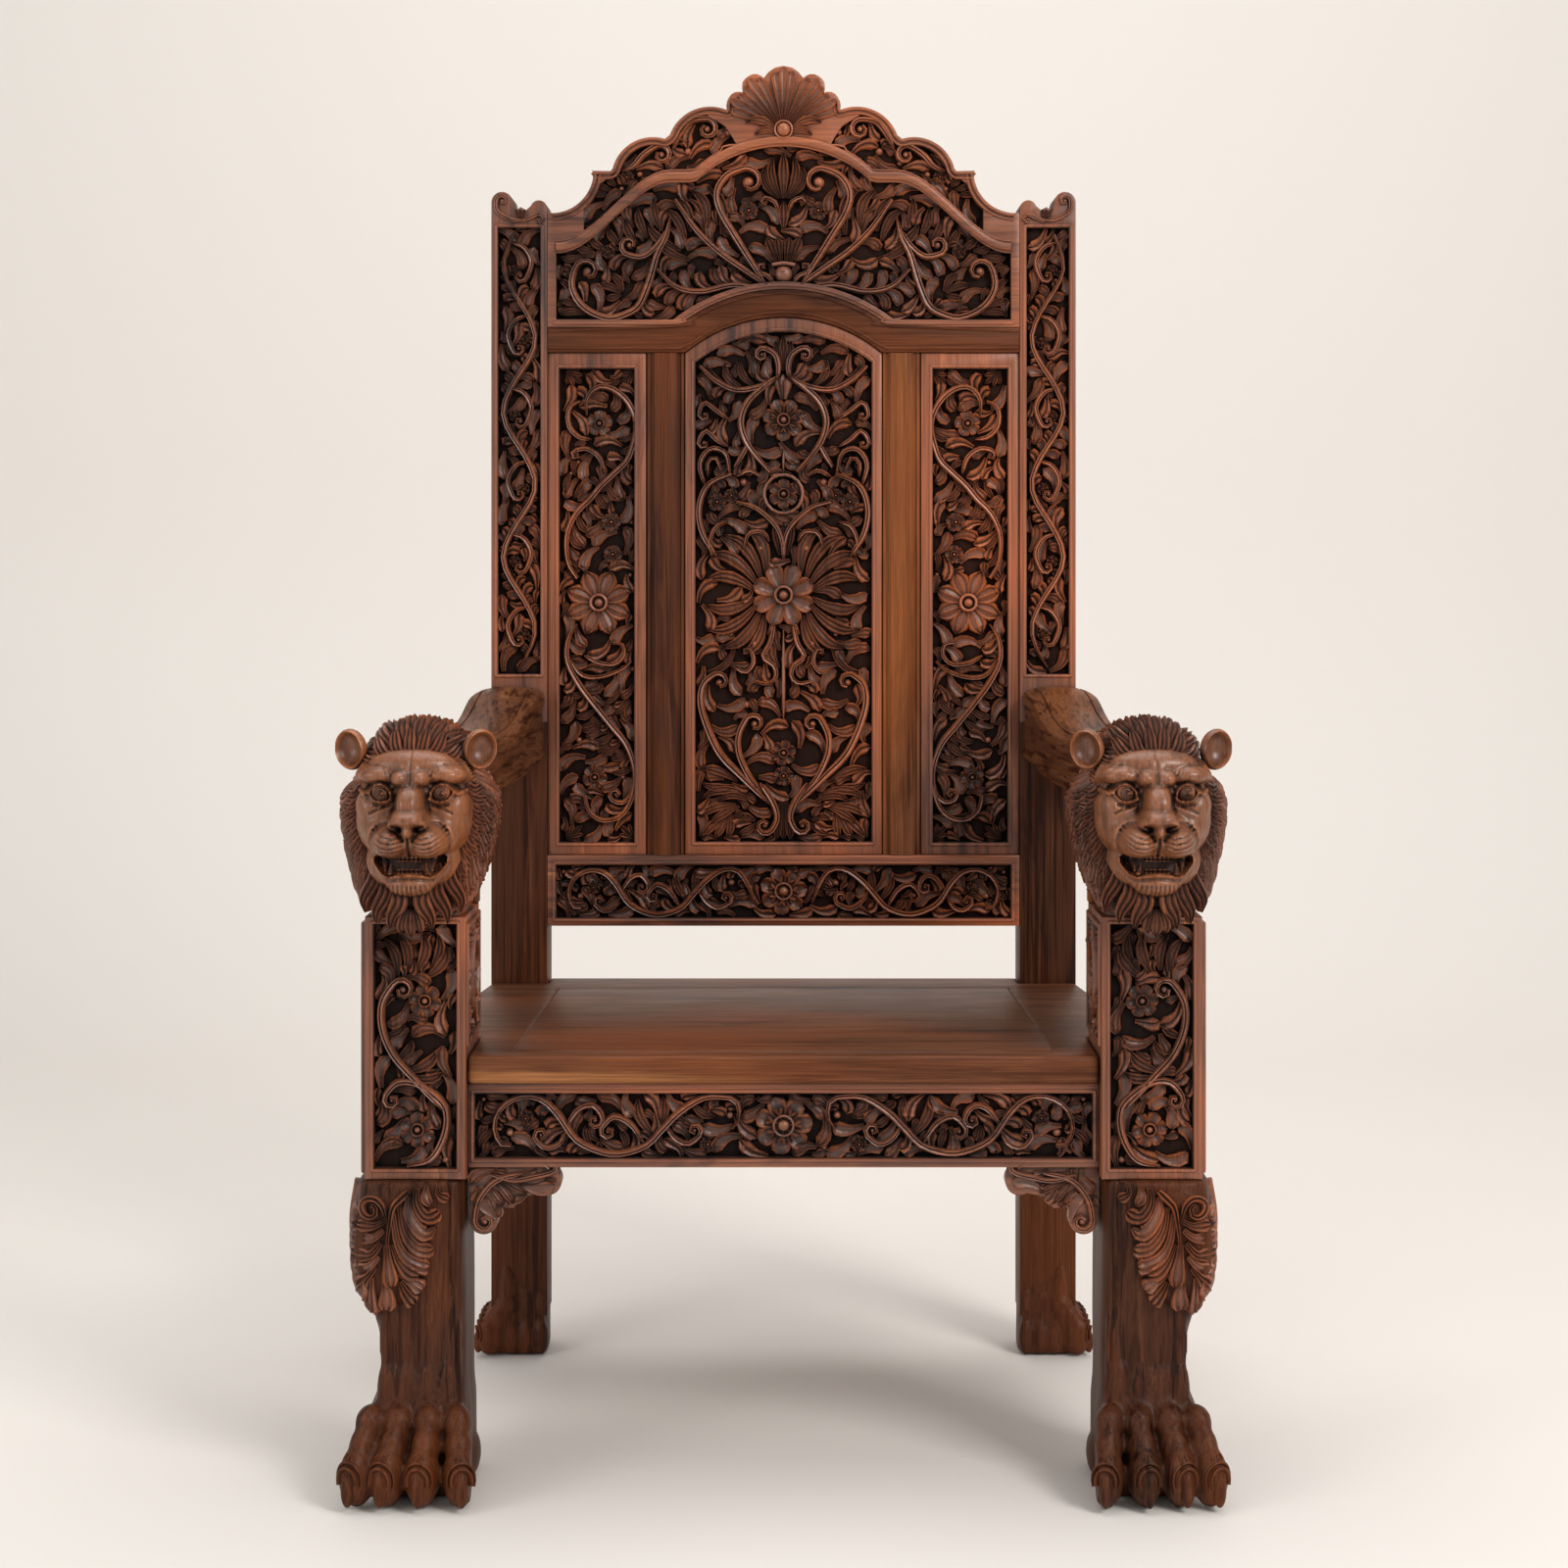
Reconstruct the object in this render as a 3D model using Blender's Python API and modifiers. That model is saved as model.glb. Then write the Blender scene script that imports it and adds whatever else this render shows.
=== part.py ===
"""A carved hardwood throne: lion-head arms, paw feet and a panelled back under a scalloped crest.

Metres, +Z up, the sitter faces -Y. The origin is on the floor under the middle of the throne.
"""
import math

import bmesh
import bpy
from mathutils import Matrix, Vector
from mathutils.geometry import delaunay_2d_cdt

GAP = 0.0003
SET_BACK = 0.0254

# Seat and under-frame
SEAT_TOP = 0.470
SEAT_THICK = 0.030
SEAT_FRONT_Y = -0.270
SEAT_BACK_Y = 0.272
SEAT_FRONT_HALF = 0.3420
SEAT_WIDE_HALF = 0.4130
PANEL_SINK = 0.012
APRON_BOTTOM = 0.348
APRON_THICK = 0.030
APRON_FRONT_Y = -0.262
APRON_FIELD = (0.3580, 0.4280)
APRON_FIELD_HALF = 0.3350

# Back uprights, each one piece from the floor to its ear
STILE_INNER = 0.2985
STILE_OUTER = 0.3690
STILE_FRONT_Y = 0.230
STILE_DEPTH = 0.068
STILE_TOP = 1.432

# Back frame, from the bottom rail up
RAIL_LOW_BOTTOM = 0.542
RAIL_LOW_TOP = 0.6313
MID_RAIL_BOTTOM = 1.2661
MID_RAIL_TOP = 1.2980
ARCH_HALF = 0.1355
ARCH_RISE = 0.0480
PANEL_ARCH_TOP = 1.3110
MUNTIN_OUTER = 0.1735
MUNTIN_INNER = 0.1245
FRAME_THICK = 0.034
FIELD_DEPTH = 0.011
WALL = 0.0014
PANEL_BACK = 0.004
PANEL_THICK = FRAME_THICK - 0.008
CENTRE_FIELD_HALF = 0.1115
CENTRE_FIELD = (0.6477, 1.2930)
CENTRE_SPRING = 1.2540
SIDE_FIELD_HALF = 0.0472
SIDE_FIELD = (0.6470, 1.2460)
RAIL_FIELD = (0.5518, 0.6186)
RAIL_FIELD_HALF = 0.2870
STRIP_X = (0.3069, 0.3607)
STRIP_Z = (0.860, 1.424)
STRIP_DEPTH = 0.009

# Crest board
CREST_THICK = 0.044
MOULD_LOW = 1.3994
MOULD_SHOULDER = 1.4890
MOULD_CROWN = 1.5344
SHELL_ROOT = 1.5500
SHELL_TOP = 1.6284
SHELL_REACH = 0.0790
CREST_FOOT = 1.4425
CREST_RIM = 0.011
HOLLOW = ((0.2930, 1.4955), 0.0530)
LOBE_LOW = ((0.1650, 1.4860), 0.0525)
LOBE_HIGH = ((0.0925, 1.5225), 0.0545)

# Front posts, legs and lion heads
POST_INNER = 0.3427
POST_OUTER = 0.4514
POST_FRONT_Y = -0.280
POST_BACK_Y = -0.150
POST_BOTTOM = 0.339
POST_TOP = 0.622
HEAD_BASE = POST_TOP + GAP
POST_X = (POST_INNER + POST_OUTER) / 2
HEAD_Y = -0.262
HEAD_Z = 0.735
PAW_X = 0.393
TOES = ((0.054, 12), (0.022, 5), (-0.012, -1), (-0.045, -7))

# Arms
ARM_WIDTH = 0.086
ARM_REAR_X = 0.345
ARM_FRONT_X = 0.382
ARM_REAR_Y = STILE_FRONT_Y - GAP
ARM_FRONT_Y = -0.166
ARM_TOP = 0.845

WORDS = {-1: "left", 1: "right"}

WOODS = {
    "rosewood": (0.17, 0.072, 0.036),
    "seat_wood": (0.22, 0.105, 0.052),
}


def wood(name):
    """The named wood as a Principled material, made once."""
    made = bpy.data.materials.get(name)
    if made is None:
        made = bpy.data.materials.new(name)
        made.use_nodes = True
        shader = made.node_tree.nodes["Principled BSDF"]
        shader.inputs["Base Color"].default_value = (*WOODS[name], 1.0)
        shader.inputs["Roughness"].default_value = 0.42
        shader.inputs["Metallic"].default_value = 0.0
    return made


def clear_scene():
    """Empties the file before the throne is built."""
    for old in list(bpy.data.objects):
        bpy.data.objects.remove(old)


def collection(name):
    """A new collection in the scene."""
    made = bpy.data.collections.new(name)
    bpy.context.scene.collection.children.link(made)
    return made


def add_object(name, bm, place=None, material="rosewood", group=None):
    """Turns a bmesh into a named object, with its normals facing out."""
    bmesh.ops.recalc_face_normals(bm, faces=bm.faces)
    mesh = bpy.data.meshes.new(name)
    bm.to_mesh(mesh)
    bm.free()
    mesh.materials.append(wood(material))
    made = bpy.data.objects.new(name, mesh)
    made.matrix_world = place or Matrix.Identity(4)
    (group or THRONE).objects.link(made)
    return made


def facing(normal, origin):
    """A frame whose local X runs across a face, Y up it and Z out of it."""
    out = Vector(normal).normalized()
    up = Vector((0, 0, 1))
    across = up.cross(out)
    turn = Matrix((across, up, out)).transposed().to_4x4()
    return Matrix.Translation(origin) @ turn


def box(name, low, high, bevel=0.0, material="rosewood", group=None):
    """A box between two corners, with its long edges eased."""
    bm = bmesh.new()
    bmesh.ops.create_cube(bm, size=1.0)
    size = [h - l for l, h in zip(low, high)]
    bmesh.ops.scale(bm, vec=size, verts=bm.verts)
    made = add_object(name, bm, material=material, group=group)
    made.location = [(l + h) / 2 for l, h in zip(low, high)]
    if bevel:
        ease = made.modifiers.new("eased_edges", "BEVEL")
        ease.width = bevel
        ease.segments = 1
        ease.limit_method = "ANGLE"
    return made


# Curves in the plane of a board

def mix(a, b, t):
    return a + (b - a) * t


def smooth_path(points, count):
    """Points at even steps along a Catmull-Rom curve through the given ones."""
    ends = [points[0], *points, points[-1]]
    spans = len(points) - 1
    path = []
    for step in range(count):
        at = step / (count - 1) * spans
        i = min(int(at), spans - 1)
        t = at - i
        p0, p1, p2, p3 = (Vector(p) for p in ends[i : i + 4])
        path.append(
            0.5 * (2 * p1 + (p2 - p0) * t + (2 * p0 - 5 * p1 + 4 * p2 - p3) * t * t
                   + (3 * p1 - p0 - 3 * p2 + p3) * t**3)
        )
    return path


def arc(centre, radius, start, end, count):
    """Points on a circle, angles in degrees."""
    angles = (math.radians(mix(start, end, i / (count - 1))) for i in range(count))
    return [(centre[0] + radius * math.cos(a), centre[1] + radius * math.sin(a)) for a in angles]


def curled(points, radius, side, turns=0.85, steps=3):
    """The path with a volute at its end, turning left for side 1 and right for -1."""
    head = Vector(points[-1]) - Vector(points[-2])
    start = math.atan2(head.y, head.x) - side * math.pi / 2
    centre = Vector(points[-1]) - radius * Vector((math.cos(start), math.sin(start)))
    spiral = []
    for i in range(1, steps + 1):
        t = i / steps
        angle = start + side * turns * 2 * math.pi * t
        reach = radius * (1 - 0.62 * t)
        spiral.append(centre + reach * Vector((math.cos(angle), math.sin(angle))))
    return [Vector(p) for p in points] + spiral


def mirrored(strokes):
    """The strokes with their reflections in the board's centre line."""
    return strokes + [
        {**s, "path": [Vector((-p[0], p[1])) for p in s["path"]]} for s in strokes
    ]


# Strokes: one ridge of carving each, with its half widths and its crown

def stem(points, width, count=9, crown=0.009):
    return {"path": smooth_path(points, count), "half": [0.0, width, width * 0.7], "crown": crown}


def leaf(root, tip, width, bend=0.0, crown=0.008):
    """A pointed leaf from root to tip, bowed to the left by bend times its length."""
    root, tip = Vector(root), Vector(tip)
    along = tip - root
    belly = root + along * 0.55 + Vector((-along.y, along.x)) * bend
    return {"path": [root, belly, tip], "half": [0.0, width, 0.0], "crown": crown}


def rosette(centre, radius, petals, crown=0.011, turn=0.0):
    """Petals round a raised button."""
    centre = Vector(centre)
    made = []
    for i in range(petals):
        angle = turn + 2 * math.pi * i / petals
        ray = Vector((math.cos(angle), math.sin(angle)))
        reach = math.pi * radius / petals * 0.82
        made.append({
            "path": [centre + ray * radius * 0.12, centre + ray * radius * 0.62, centre + ray * radius],
            "half": [0.0, reach, 0.0], "crown": crown,
        })
    return made


def frond(points, width, leaves, reach, count=4, sides=(1, -1)):
    """A stem with pairs of leaves that sweep towards its tip."""
    made = [stem(points, width, count)]
    spine = smooth_path(points, 2 * leaves + 3)
    for i in range(leaves):
        root = spine[2 * i + 1]
        ahead = (spine[2 * i + 2] - root).normalized()
        for side in sides:
            out = Vector((-ahead.y, ahead.x)) * side
            size = reach * (1 - 0.35 * i / leaves)
            made.append(leaf(root, root + (ahead * 0.8 + out * 0.75) * size, size * 0.26, -0.15 * side))
    return made


def running_scroll(length, width, units, flip=1):
    """A wave of acanthus stem that fills a strip, with a volute curling into each bend."""
    pitch = length / units
    made = []
    wave = []
    for k in range(units):
        side = flip * (-1) ** k
        middle = (k + 0.5) * pitch
        wave += [(k * pitch + 0.06 * pitch, 0.0), (middle, side * 0.36 * width)]
        root = (middle + 0.30 * pitch, side * 0.22 * width)
        hook = [root, (middle + 0.10 * pitch, -side * 0.02 * width),
                (middle - 0.02 * pitch, -side * 0.20 * width)]
        made.append(stem(curled(hook, 0.13 * width, -side, 0.7), 0.05 * width, 4))
        made.append(leaf((k * pitch + 0.1 * pitch, 0), (k * pitch + 0.16 * pitch, -side * 0.42 * width),
                         0.09 * width, 0.12 * side))
    wave.append((length - 0.05 * pitch, 0.0))
    made.append(stem(wave, 0.06 * width, 3 * units + 1))
    return made


def turned_upright(strokes, at=(0, 0)):
    """Strokes laid out along X, stood up along Y from a point."""
    return [{**s, "path": [Vector((at[0] - p[1], at[1] + p[0])) for p in s["path"]]} for s in strokes]


def shifted(strokes, at, flip=1):
    """Strokes moved by a step, and mirrored first where flip is -1."""
    return [{**s, "path": [Vector((at[0] + flip * p[0], at[1] + p[1])) for p in s["path"]]} for s in strokes]


# Boards whose face is carved

def signed_area(loop):
    return sum(a[0] * b[1] - b[0] * a[1] for a, b in zip(loop, loop[1:] + loop[:1])) / 2


def inset(loop, by):
    """The closed loop moved inwards by a distance, corner by corner."""
    points = [Vector(p) for p in loop]
    if signed_area(loop) < 0:
        points.reverse()
    moved = []
    for i, p in enumerate(points):
        a = (p - points[i - 1]).normalized()
        b = (points[(i + 1) % len(points)] - p).normalized()
        normal_a, normal_b = Vector((-a.y, a.x)), Vector((-b.y, b.x))
        bisector = (normal_a + normal_b).normalized()
        moved.append(p + bisector * (by / max(0.4, bisector.dot(normal_a))))
    return moved


def edge_distance(p, a, b):
    """Distance from p to the edge a-b, and where along it the nearest point is."""
    ab = b - a
    t = max(0.0, min(1.0, (p - a).dot(ab) / max(ab.length_squared, 1e-12)))
    return (p - a - ab * t).length, t


def inside(p, loop):
    """Whether p is inside the loop, and its distance to the loop."""
    crossings, nearest = 0, 1e9
    for a, b in zip(loop, loop[1:] + loop[:1]):
        a, b = Vector(a), Vector(b)
        nearest = min(nearest, edge_distance(p, a, b)[0])
        if (a.y > p.y) != (b.y > p.y) and p.x < a.x + (p.y - a.y) / (b.y - a.y) * (b.x - a.x):
            crossings += 1
    return crossings % 2 == 1, nearest


def half_width(stroke, share):
    """A stroke's half width at a share of its length, read between three values."""
    at = share * 2
    i = min(int(at), 1)
    return mix(stroke["half"][i], stroke["half"][i + 1], at - i)


def ridge_height(p, stroke):
    """How high a stroke stands at p: its crown along the path, down to nothing at its edges."""
    path, spans = stroke["path"], len(stroke["path"]) - 1
    best = 0.0
    for i in range(spans):
        away, t = edge_distance(p, path[i], path[i + 1])
        half = half_width(stroke, (i + t) / spans)
        if half > 1e-6 and away < half:
            best = max(best, stroke["crown"] * (1 - away / half))
        elif away < 1e-6 and 0 < i + t < spans:
            best = max(best, stroke["crown"])
    return best


def carved_board(name, outline, fields, strokes, thickness, place, depth=FIELD_DEPTH, group=None):
    """A board with a flat back, whose face sinks to carved fields. Local Z is 0 at the face."""
    points, edges = [], []

    def add_path(path, closed):
        start = len(points)
        points.extend(Vector((p[0], p[1])) for p in path)
        edges.extend((start + i, start + i + 1) for i in range(len(path) - 1))
        if closed:
            edges.append((len(points) - 1, start))

    add_path(outline, True)
    for loop in fields:
        add_path(loop, True)
        add_path(inset(loop, WALL), True)
    for s in strokes:
        path, spans = s["path"], len(s["path"]) - 1
        left, right = [], []
        for i, p in enumerate(path):
            ahead = (path[min(i + 1, spans)] - path[max(i - 1, 0)]).normalized()
            out = Vector((-ahead.y, ahead.x)) * half_width(s, i / spans)
            left.append(p + out)
            right.append(p - out)
        first, last = s["half"][0], s["half"][-1]
        ends = [path[-1] + (path[-1] - path[-2]).normalized() * last] if last > 1e-6 else []
        starts = [path[0] - (path[1] - path[0]).normalized() * first] if first > 1e-6 else []
        body = slice(0 if starts else 1, None if ends else -1)
        tip = ends or [path[-1]]
        tail = starts or [path[0]]
        add_path(tail + left[body] + tip + right[body][::-1], True)
        add_path(path, False)

    found, _, faces, *_ = delaunay_2d_cdt(points, edges, [], 1, 2e-4)
    heights = []
    proud = [s for s in strokes if s.get("proud")]
    for p in found:
        height = max((ridge_height(p, s) for s in proud), default=0.0)
        for loop in fields:
            within, away = inside(p, loop)
            if within and away > 0.6 * WALL:
                height = -depth + max((ridge_height(p, s) for s in strokes), default=0.0)
        heights.append(height)

    bm = bmesh.new()
    verts = [bm.verts.new((p.x, p.y, h)) for p, h in zip(found, heights)]
    for face in faces:
        middle = sum((found[i] for i in face), Vector((0, 0))) / len(face)
        if inside(middle, outline)[0]:
            bm.faces.new([verts[i] for i in face])
    bmesh.ops.delete(bm, geom=[v for v in bm.verts if not v.link_faces], context="VERTS")
    rim = [e for e in bm.edges if len(e.link_faces) == 1]
    skirt = bmesh.ops.extrude_edge_only(bm, edges=rim)["geom"]
    for v in skirt:
        if isinstance(v, bmesh.types.BMVert):
            v.co.z = -thickness
    back = [e for e in skirt if isinstance(e, bmesh.types.BMEdge) and len(e.link_faces) == 1]
    bmesh.ops.contextual_create(bm, geom=back)
    bmesh.ops.dissolve_degenerate(bm, dist=1e-5, edges=bm.edges)
    return add_object(name, bm, place, group=group)


def rectangle(x0, x1, y0, y1):
    return [(x0, y0), (x1, y0), (x1, y1), (x0, y1)]


# The back

def arch_points(half, bottom, rise, count):
    """A shallow arch from left to right."""
    radius = (half * half + rise * rise) / (2 * rise)
    centre = (0.0, bottom + rise - radius)
    spread = math.degrees(math.asin(half / radius))
    return arc(centre, radius, 90 + spread, 90 - spread, count)


def moulding_line(x):
    """Height of the round moulding under the crest's border, at a distance from the middle."""
    shoulder, foot = 0.1125, 0.2850
    if x < shoulder:
        rise = MOULD_CROWN - MOULD_SHOULDER
        radius = (shoulder**2 + rise**2) / (2 * rise)
        return MOULD_CROWN - radius + math.sqrt(radius**2 - x * x)
    t = max(0.0, min(1.0, (foot - x) / (foot - shoulder - 0.03)))
    return mix(MOULD_LOW, MOULD_SHOULDER, t * t * (3 - 2 * t))


def crest_silhouette():
    """The right half of the crest's top edge, from the stile to the middle."""
    sweep = arc(*HOLLOW, 268, 185, 6)
    step = [(0.2420, 1.4960), (0.2185, 1.4955)]
    lobe_low = arc(*LOBE_LOW, 14, 107, 7)
    lobe_high = [*arc(*LOBE_HIGH, 20, 106, 6), (0.0715, 1.5728)]
    shell = []
    for lean, turns in ((62, ((-7, 0.98), (2, 1.0), (9, 0.96))), (35, ((-13, 0.88), (-5, 1.0), (6, 1.0)))):
        for turn, share in turns:
            a = math.radians(90 - lean + turn)
            reach = SHELL_REACH * share
            shell.append((reach * math.cos(a), SHELL_ROOT + reach * math.sin(a)))
    crown = [(0.0240, 1.6150), (0.0120, 1.6250)]
    return sweep + step + lobe_low + lobe_high + shell + crown


def shell_flute(lean, length):
    """One flute of the shell, leaning from upright by an angle in degrees, proud of the board."""
    ray = Vector((math.sin(math.radians(lean)), math.cos(math.radians(lean))))
    root = Vector((0.0, SHELL_ROOT)) + ray * 0.008
    path = [root, root + ray * length * 0.62, root + ray * length * 0.9]
    return {"path": path, "half": [0.0, 0.0125, 0.006], "crown": 0.007, "proud": True}


def crest_strokes():
    """The main forms of the crest: border scrolls, shell, palmette and the two great fronds."""
    half = []
    border_xs = (0.2830, 0.2420, 0.2050, 0.1700, 0.1400, 0.1125, 0.0700, 0.0250)
    border = [Vector((x, moulding_line(x) + 0.001)) for x in border_xs]
    half.append({"path": border, "half": [0.0052] * 3, "crown": 0.012})
    half.append(stem(curled([(0.1980, 1.4950), (0.1870, 1.5180), (0.1620, 1.5230)], 0.0150, -1), 0.0034, 6))
    half.append(stem(curled([(0.1290, 1.5300), (0.1220, 1.5520), (0.0980, 1.5630)], 0.0160, -1), 0.0034, 6))
    half.append(leaf((0.2250, 1.4620), (0.2330, 1.4860), 0.007))
    for angle, length in ((64, 0.068), (33, 0.070)):
        half.append(shell_flute(angle, length))
    half += frond([(0.028, 1.366), (0.066, 1.402), (0.105, 1.435), (0.150, 1.452)], 0.004, 3, 0.040)
    hook = [(0.030, 1.392), (0.066, 1.440), (0.052, 1.482), (0.030, 1.487)]
    half.append(stem(curled(hook, 0.015, -1), 0.004, 6))
    sweep = [(0.030, 1.345), (0.085, 1.352), (0.140, 1.318), (0.190, 1.318), (0.252, 1.330), (0.262, 1.366),
             (0.240, 1.390), (0.222, 1.382)]
    half.append(stem(curled(sweep, 0.013, 1, 0.6), 0.0045, 9))
    half += frond([(0.150, 1.325), (0.168, 1.365), (0.178, 1.400), (0.180, 1.440)], 0.0035, 3, 0.034, 4)
    half.append(leaf((0.195, 1.350), (0.235, 1.356), 0.009, 0.2))
    half.append(leaf((0.262, 1.318), (0.282, 1.350), 0.006))
    palmette = {"path": upright(1.462, 1.498, 1.526), "half": [0.004, 0.014, 0.0], "crown": 0.010}
    vase = {"path": upright(1.360, 1.388, 1.404), "half": [0.010, 0.024, 0.004], "crown": 0.012}
    return mirrored(half) + [palmette, shell_flute(0, 0.073), vase]


def upright(*heights):
    """Points up the crest's middle line."""
    return [Vector((0.0, z)) for z in heights]


def make_crest():
    right = crest_silhouette()
    left = [(-x, y) for x, y in reversed(right)]
    arch = arch_points(ARCH_HALF, MID_RAIL_TOP + GAP, ARCH_RISE, 7)
    edge = STILE_INNER - GAP
    bottom = [(-edge, MID_RAIL_TOP + GAP), *arch, (edge, MID_RAIL_TOP + GAP)]
    outline = [*bottom, (edge, CREST_FOOT), *right, (0.0, SHELL_TOP), *left, (-edge, CREST_FOOT)]
    xs = [RAIL_FIELD_HALF, 0.2500, 0.2150, 0.1800, 0.1450, 0.1125, 0.0750, 0.0350]
    under = [(x, moulding_line(x) - 0.0055) for x in xs]
    over = [(x, moulding_line(x) + 0.0065) for x in xs[1:]]
    floor_arch = arch_points(ARCH_HALF + 0.004, MID_RAIL_TOP + CREST_RIM, ARCH_RISE, 5)
    foot = MID_RAIL_TOP + CREST_RIM
    field = [(-RAIL_FIELD_HALF, foot), *floor_arch, (RAIL_FIELD_HALF, foot), *under,
             (0.0, MOULD_CROWN - 0.0055), *[(-x, y) for x, y in reversed(under)]]
    lobe_low = arc(LOBE_LOW[0], LOBE_LOW[1] - CREST_RIM, 25, 100, 5)
    lobe_high = arc(LOBE_HIGH[0], LOBE_HIGH[1] - CREST_RIM, 25, 80, 4)
    border = [*over[:-1], (0.0720, 1.5360), *lobe_high[::-1], (0.1430, 1.5280), *lobe_low[::-1],
              (0.2240, 1.4850)]
    mirror_border = [(-x, y) for x, y in reversed(border)]
    fields = [field, border, mirror_border]
    return carved_board("crest_rail", outline, fields, crest_strokes(), CREST_THICK, back_frame())


def back_frame(sink=0.0):
    """The plane of the back's front face, or a plane sunk behind it."""
    return facing((0, -1, 0), (0, STILE_FRONT_Y + sink, 0))


def make_mid_rail():
    upper = arch_points(ARCH_HALF, MID_RAIL_TOP, ARCH_RISE, 7)
    lower = arch_points(MUNTIN_INNER, MID_RAIL_BOTTOM, PANEL_ARCH_TOP + GAP - MID_RAIL_BOTTOM, 7)
    edge = STILE_INNER - GAP
    outline = [(-edge, MID_RAIL_BOTTOM), *lower, (edge, MID_RAIL_BOTTOM),
               (edge, MID_RAIL_TOP), *upper[::-1], (-edge, MID_RAIL_TOP)]
    return carved_board("arched_mid_rail", outline, [], [], FRAME_THICK, back_frame())


def make_muntin(side):
    edges = sorted((side * MUNTIN_INNER, side * MUNTIN_OUTER))
    low = (edges[0], STILE_FRONT_Y, RAIL_LOW_TOP + GAP)
    high = (edges[1], STILE_FRONT_Y + FRAME_THICK, MID_RAIL_BOTTOM - GAP)
    return box(f"{WORDS[side]}_muntin", low, high, bevel=0.007)


def centre_strokes(low, high):
    """The centre panel's forms, on both sides of its middle line."""
    tall = high - low

    def at(x, share):
        return (x, low + share * tall)

    half = []
    half.append(stem(curled([at(0.018, 0.075), at(0.020, 0.115), at(0.058, 0.190), at(0.052, 0.275),
                             at(0.034, 0.290)], 0.011, 1, 0.7), 0.0036, 7))
    half.append(stem(curled([at(0.022, 0.110), at(0.070, 0.205), at(0.098, 0.290), at(0.094, 0.355),
                             at(0.072, 0.368)], 0.010, 1, 0.7), 0.0036, 6))
    hook = [at(0.006, 0.115), at(0.012, 0.060), at(0.022, 0.048)]
    half.append(stem(curled(hook, 0.009, 1, 0.6), 0.0032, 4))
    for share, length in ((0.150, 0.066), (0.125, 0.060), (0.070, 0.072)):
        half.append(leaf(at(0.030, share - 0.035), at(0.030 + length, share), 0.008, 0.15))
    half.append(leaf(at(0.070, 0.060), at(0.100, 0.020), 0.009, -0.1))
    half.append(leaf(at(0.070, 0.055), at(0.068, 0.018), 0.008))
    for share, length in ((0.455, 0.052), (0.420, 0.056), (0.385, 0.052)):
        half.append(leaf(at(0.046, 0.420), at(0.046 + length, share), 0.009, 0.1))
    bud = [at(0.002, 0.470), at(0.014, 0.520), at(0.040, 0.560), at(0.055, 0.572)]
    half.append(stem(curled(bud, 0.011, -1, 0.7), 0.0030, 5))
    half.append(stem([at(0.082, 0.480), at(0.102, 0.530), at(0.092, 0.600), at(0.060, 0.620),
                      at(0.030, 0.640), at(0.052, 0.700), at(0.050, 0.760), at(0.020, 0.830)], 0.0036, 8))
    hook = [at(0.020, 0.830), at(0.010, 0.865), at(0.016, 0.895)]
    half.append(stem(curled(hook, 0.010, -1, 0.6), 0.0030, 4))
    half += frond([at(0.022, 0.828), at(0.060, 0.815), at(0.098, 0.850)], 0.0030, 2, 0.030)
    hook = [at(0.060, 0.690), at(0.090, 0.660), at(0.103, 0.700), at(0.090, 0.722)]
    half.append(stem(curled(hook, 0.009, 1, 0.6), 0.0030, 4))
    hook = [at(0.062, 0.760), at(0.098, 0.740), at(0.104, 0.775)]
    half.append(stem(curled(hook, 0.008, 1, 0.6), 0.0030, 4))
    middle = rosette(at(0.0, 0.425), 0.038, 8, 0.012, math.pi / 8)
    middle += rosette(at(0.0, 0.180), 0.022, 5)
    middle += rosette(at(0.0, 0.595), 0.023, 5)
    middle += rosette(at(0.0, 0.745), 0.030, 5)
    middle.append(leaf(at(0, 0.075), at(0, 0.012), 0.010))
    middle.append(leaf(at(0, 0.850), at(0, 0.965), 0.010))
    middle.append(stem([at(0, 0.26), at(0, 0.31), at(0, 0.36)], 0.0030, 3))
    return mirrored(half) + middle


def make_centre_panel():
    low = RAIL_LOW_TOP + GAP
    half = MUNTIN_INNER - GAP
    arch = arch_points(half, MID_RAIL_BOTTOM - GAP, PANEL_ARCH_TOP - MID_RAIL_BOTTOM, 7)
    outline = [(-half, low), (half, low), *arch[::-1]]
    foot, crown = CENTRE_FIELD
    field = [(-CENTRE_FIELD_HALF, foot), (CENTRE_FIELD_HALF, foot)]
    field += arch_points(CENTRE_FIELD_HALF, CENTRE_SPRING, crown - CENTRE_SPRING, 7)[::-1]
    return carved_board("centre_panel", outline, [field], centre_strokes(foot, crown), PANEL_THICK,
                        back_frame(PANEL_BACK))


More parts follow.
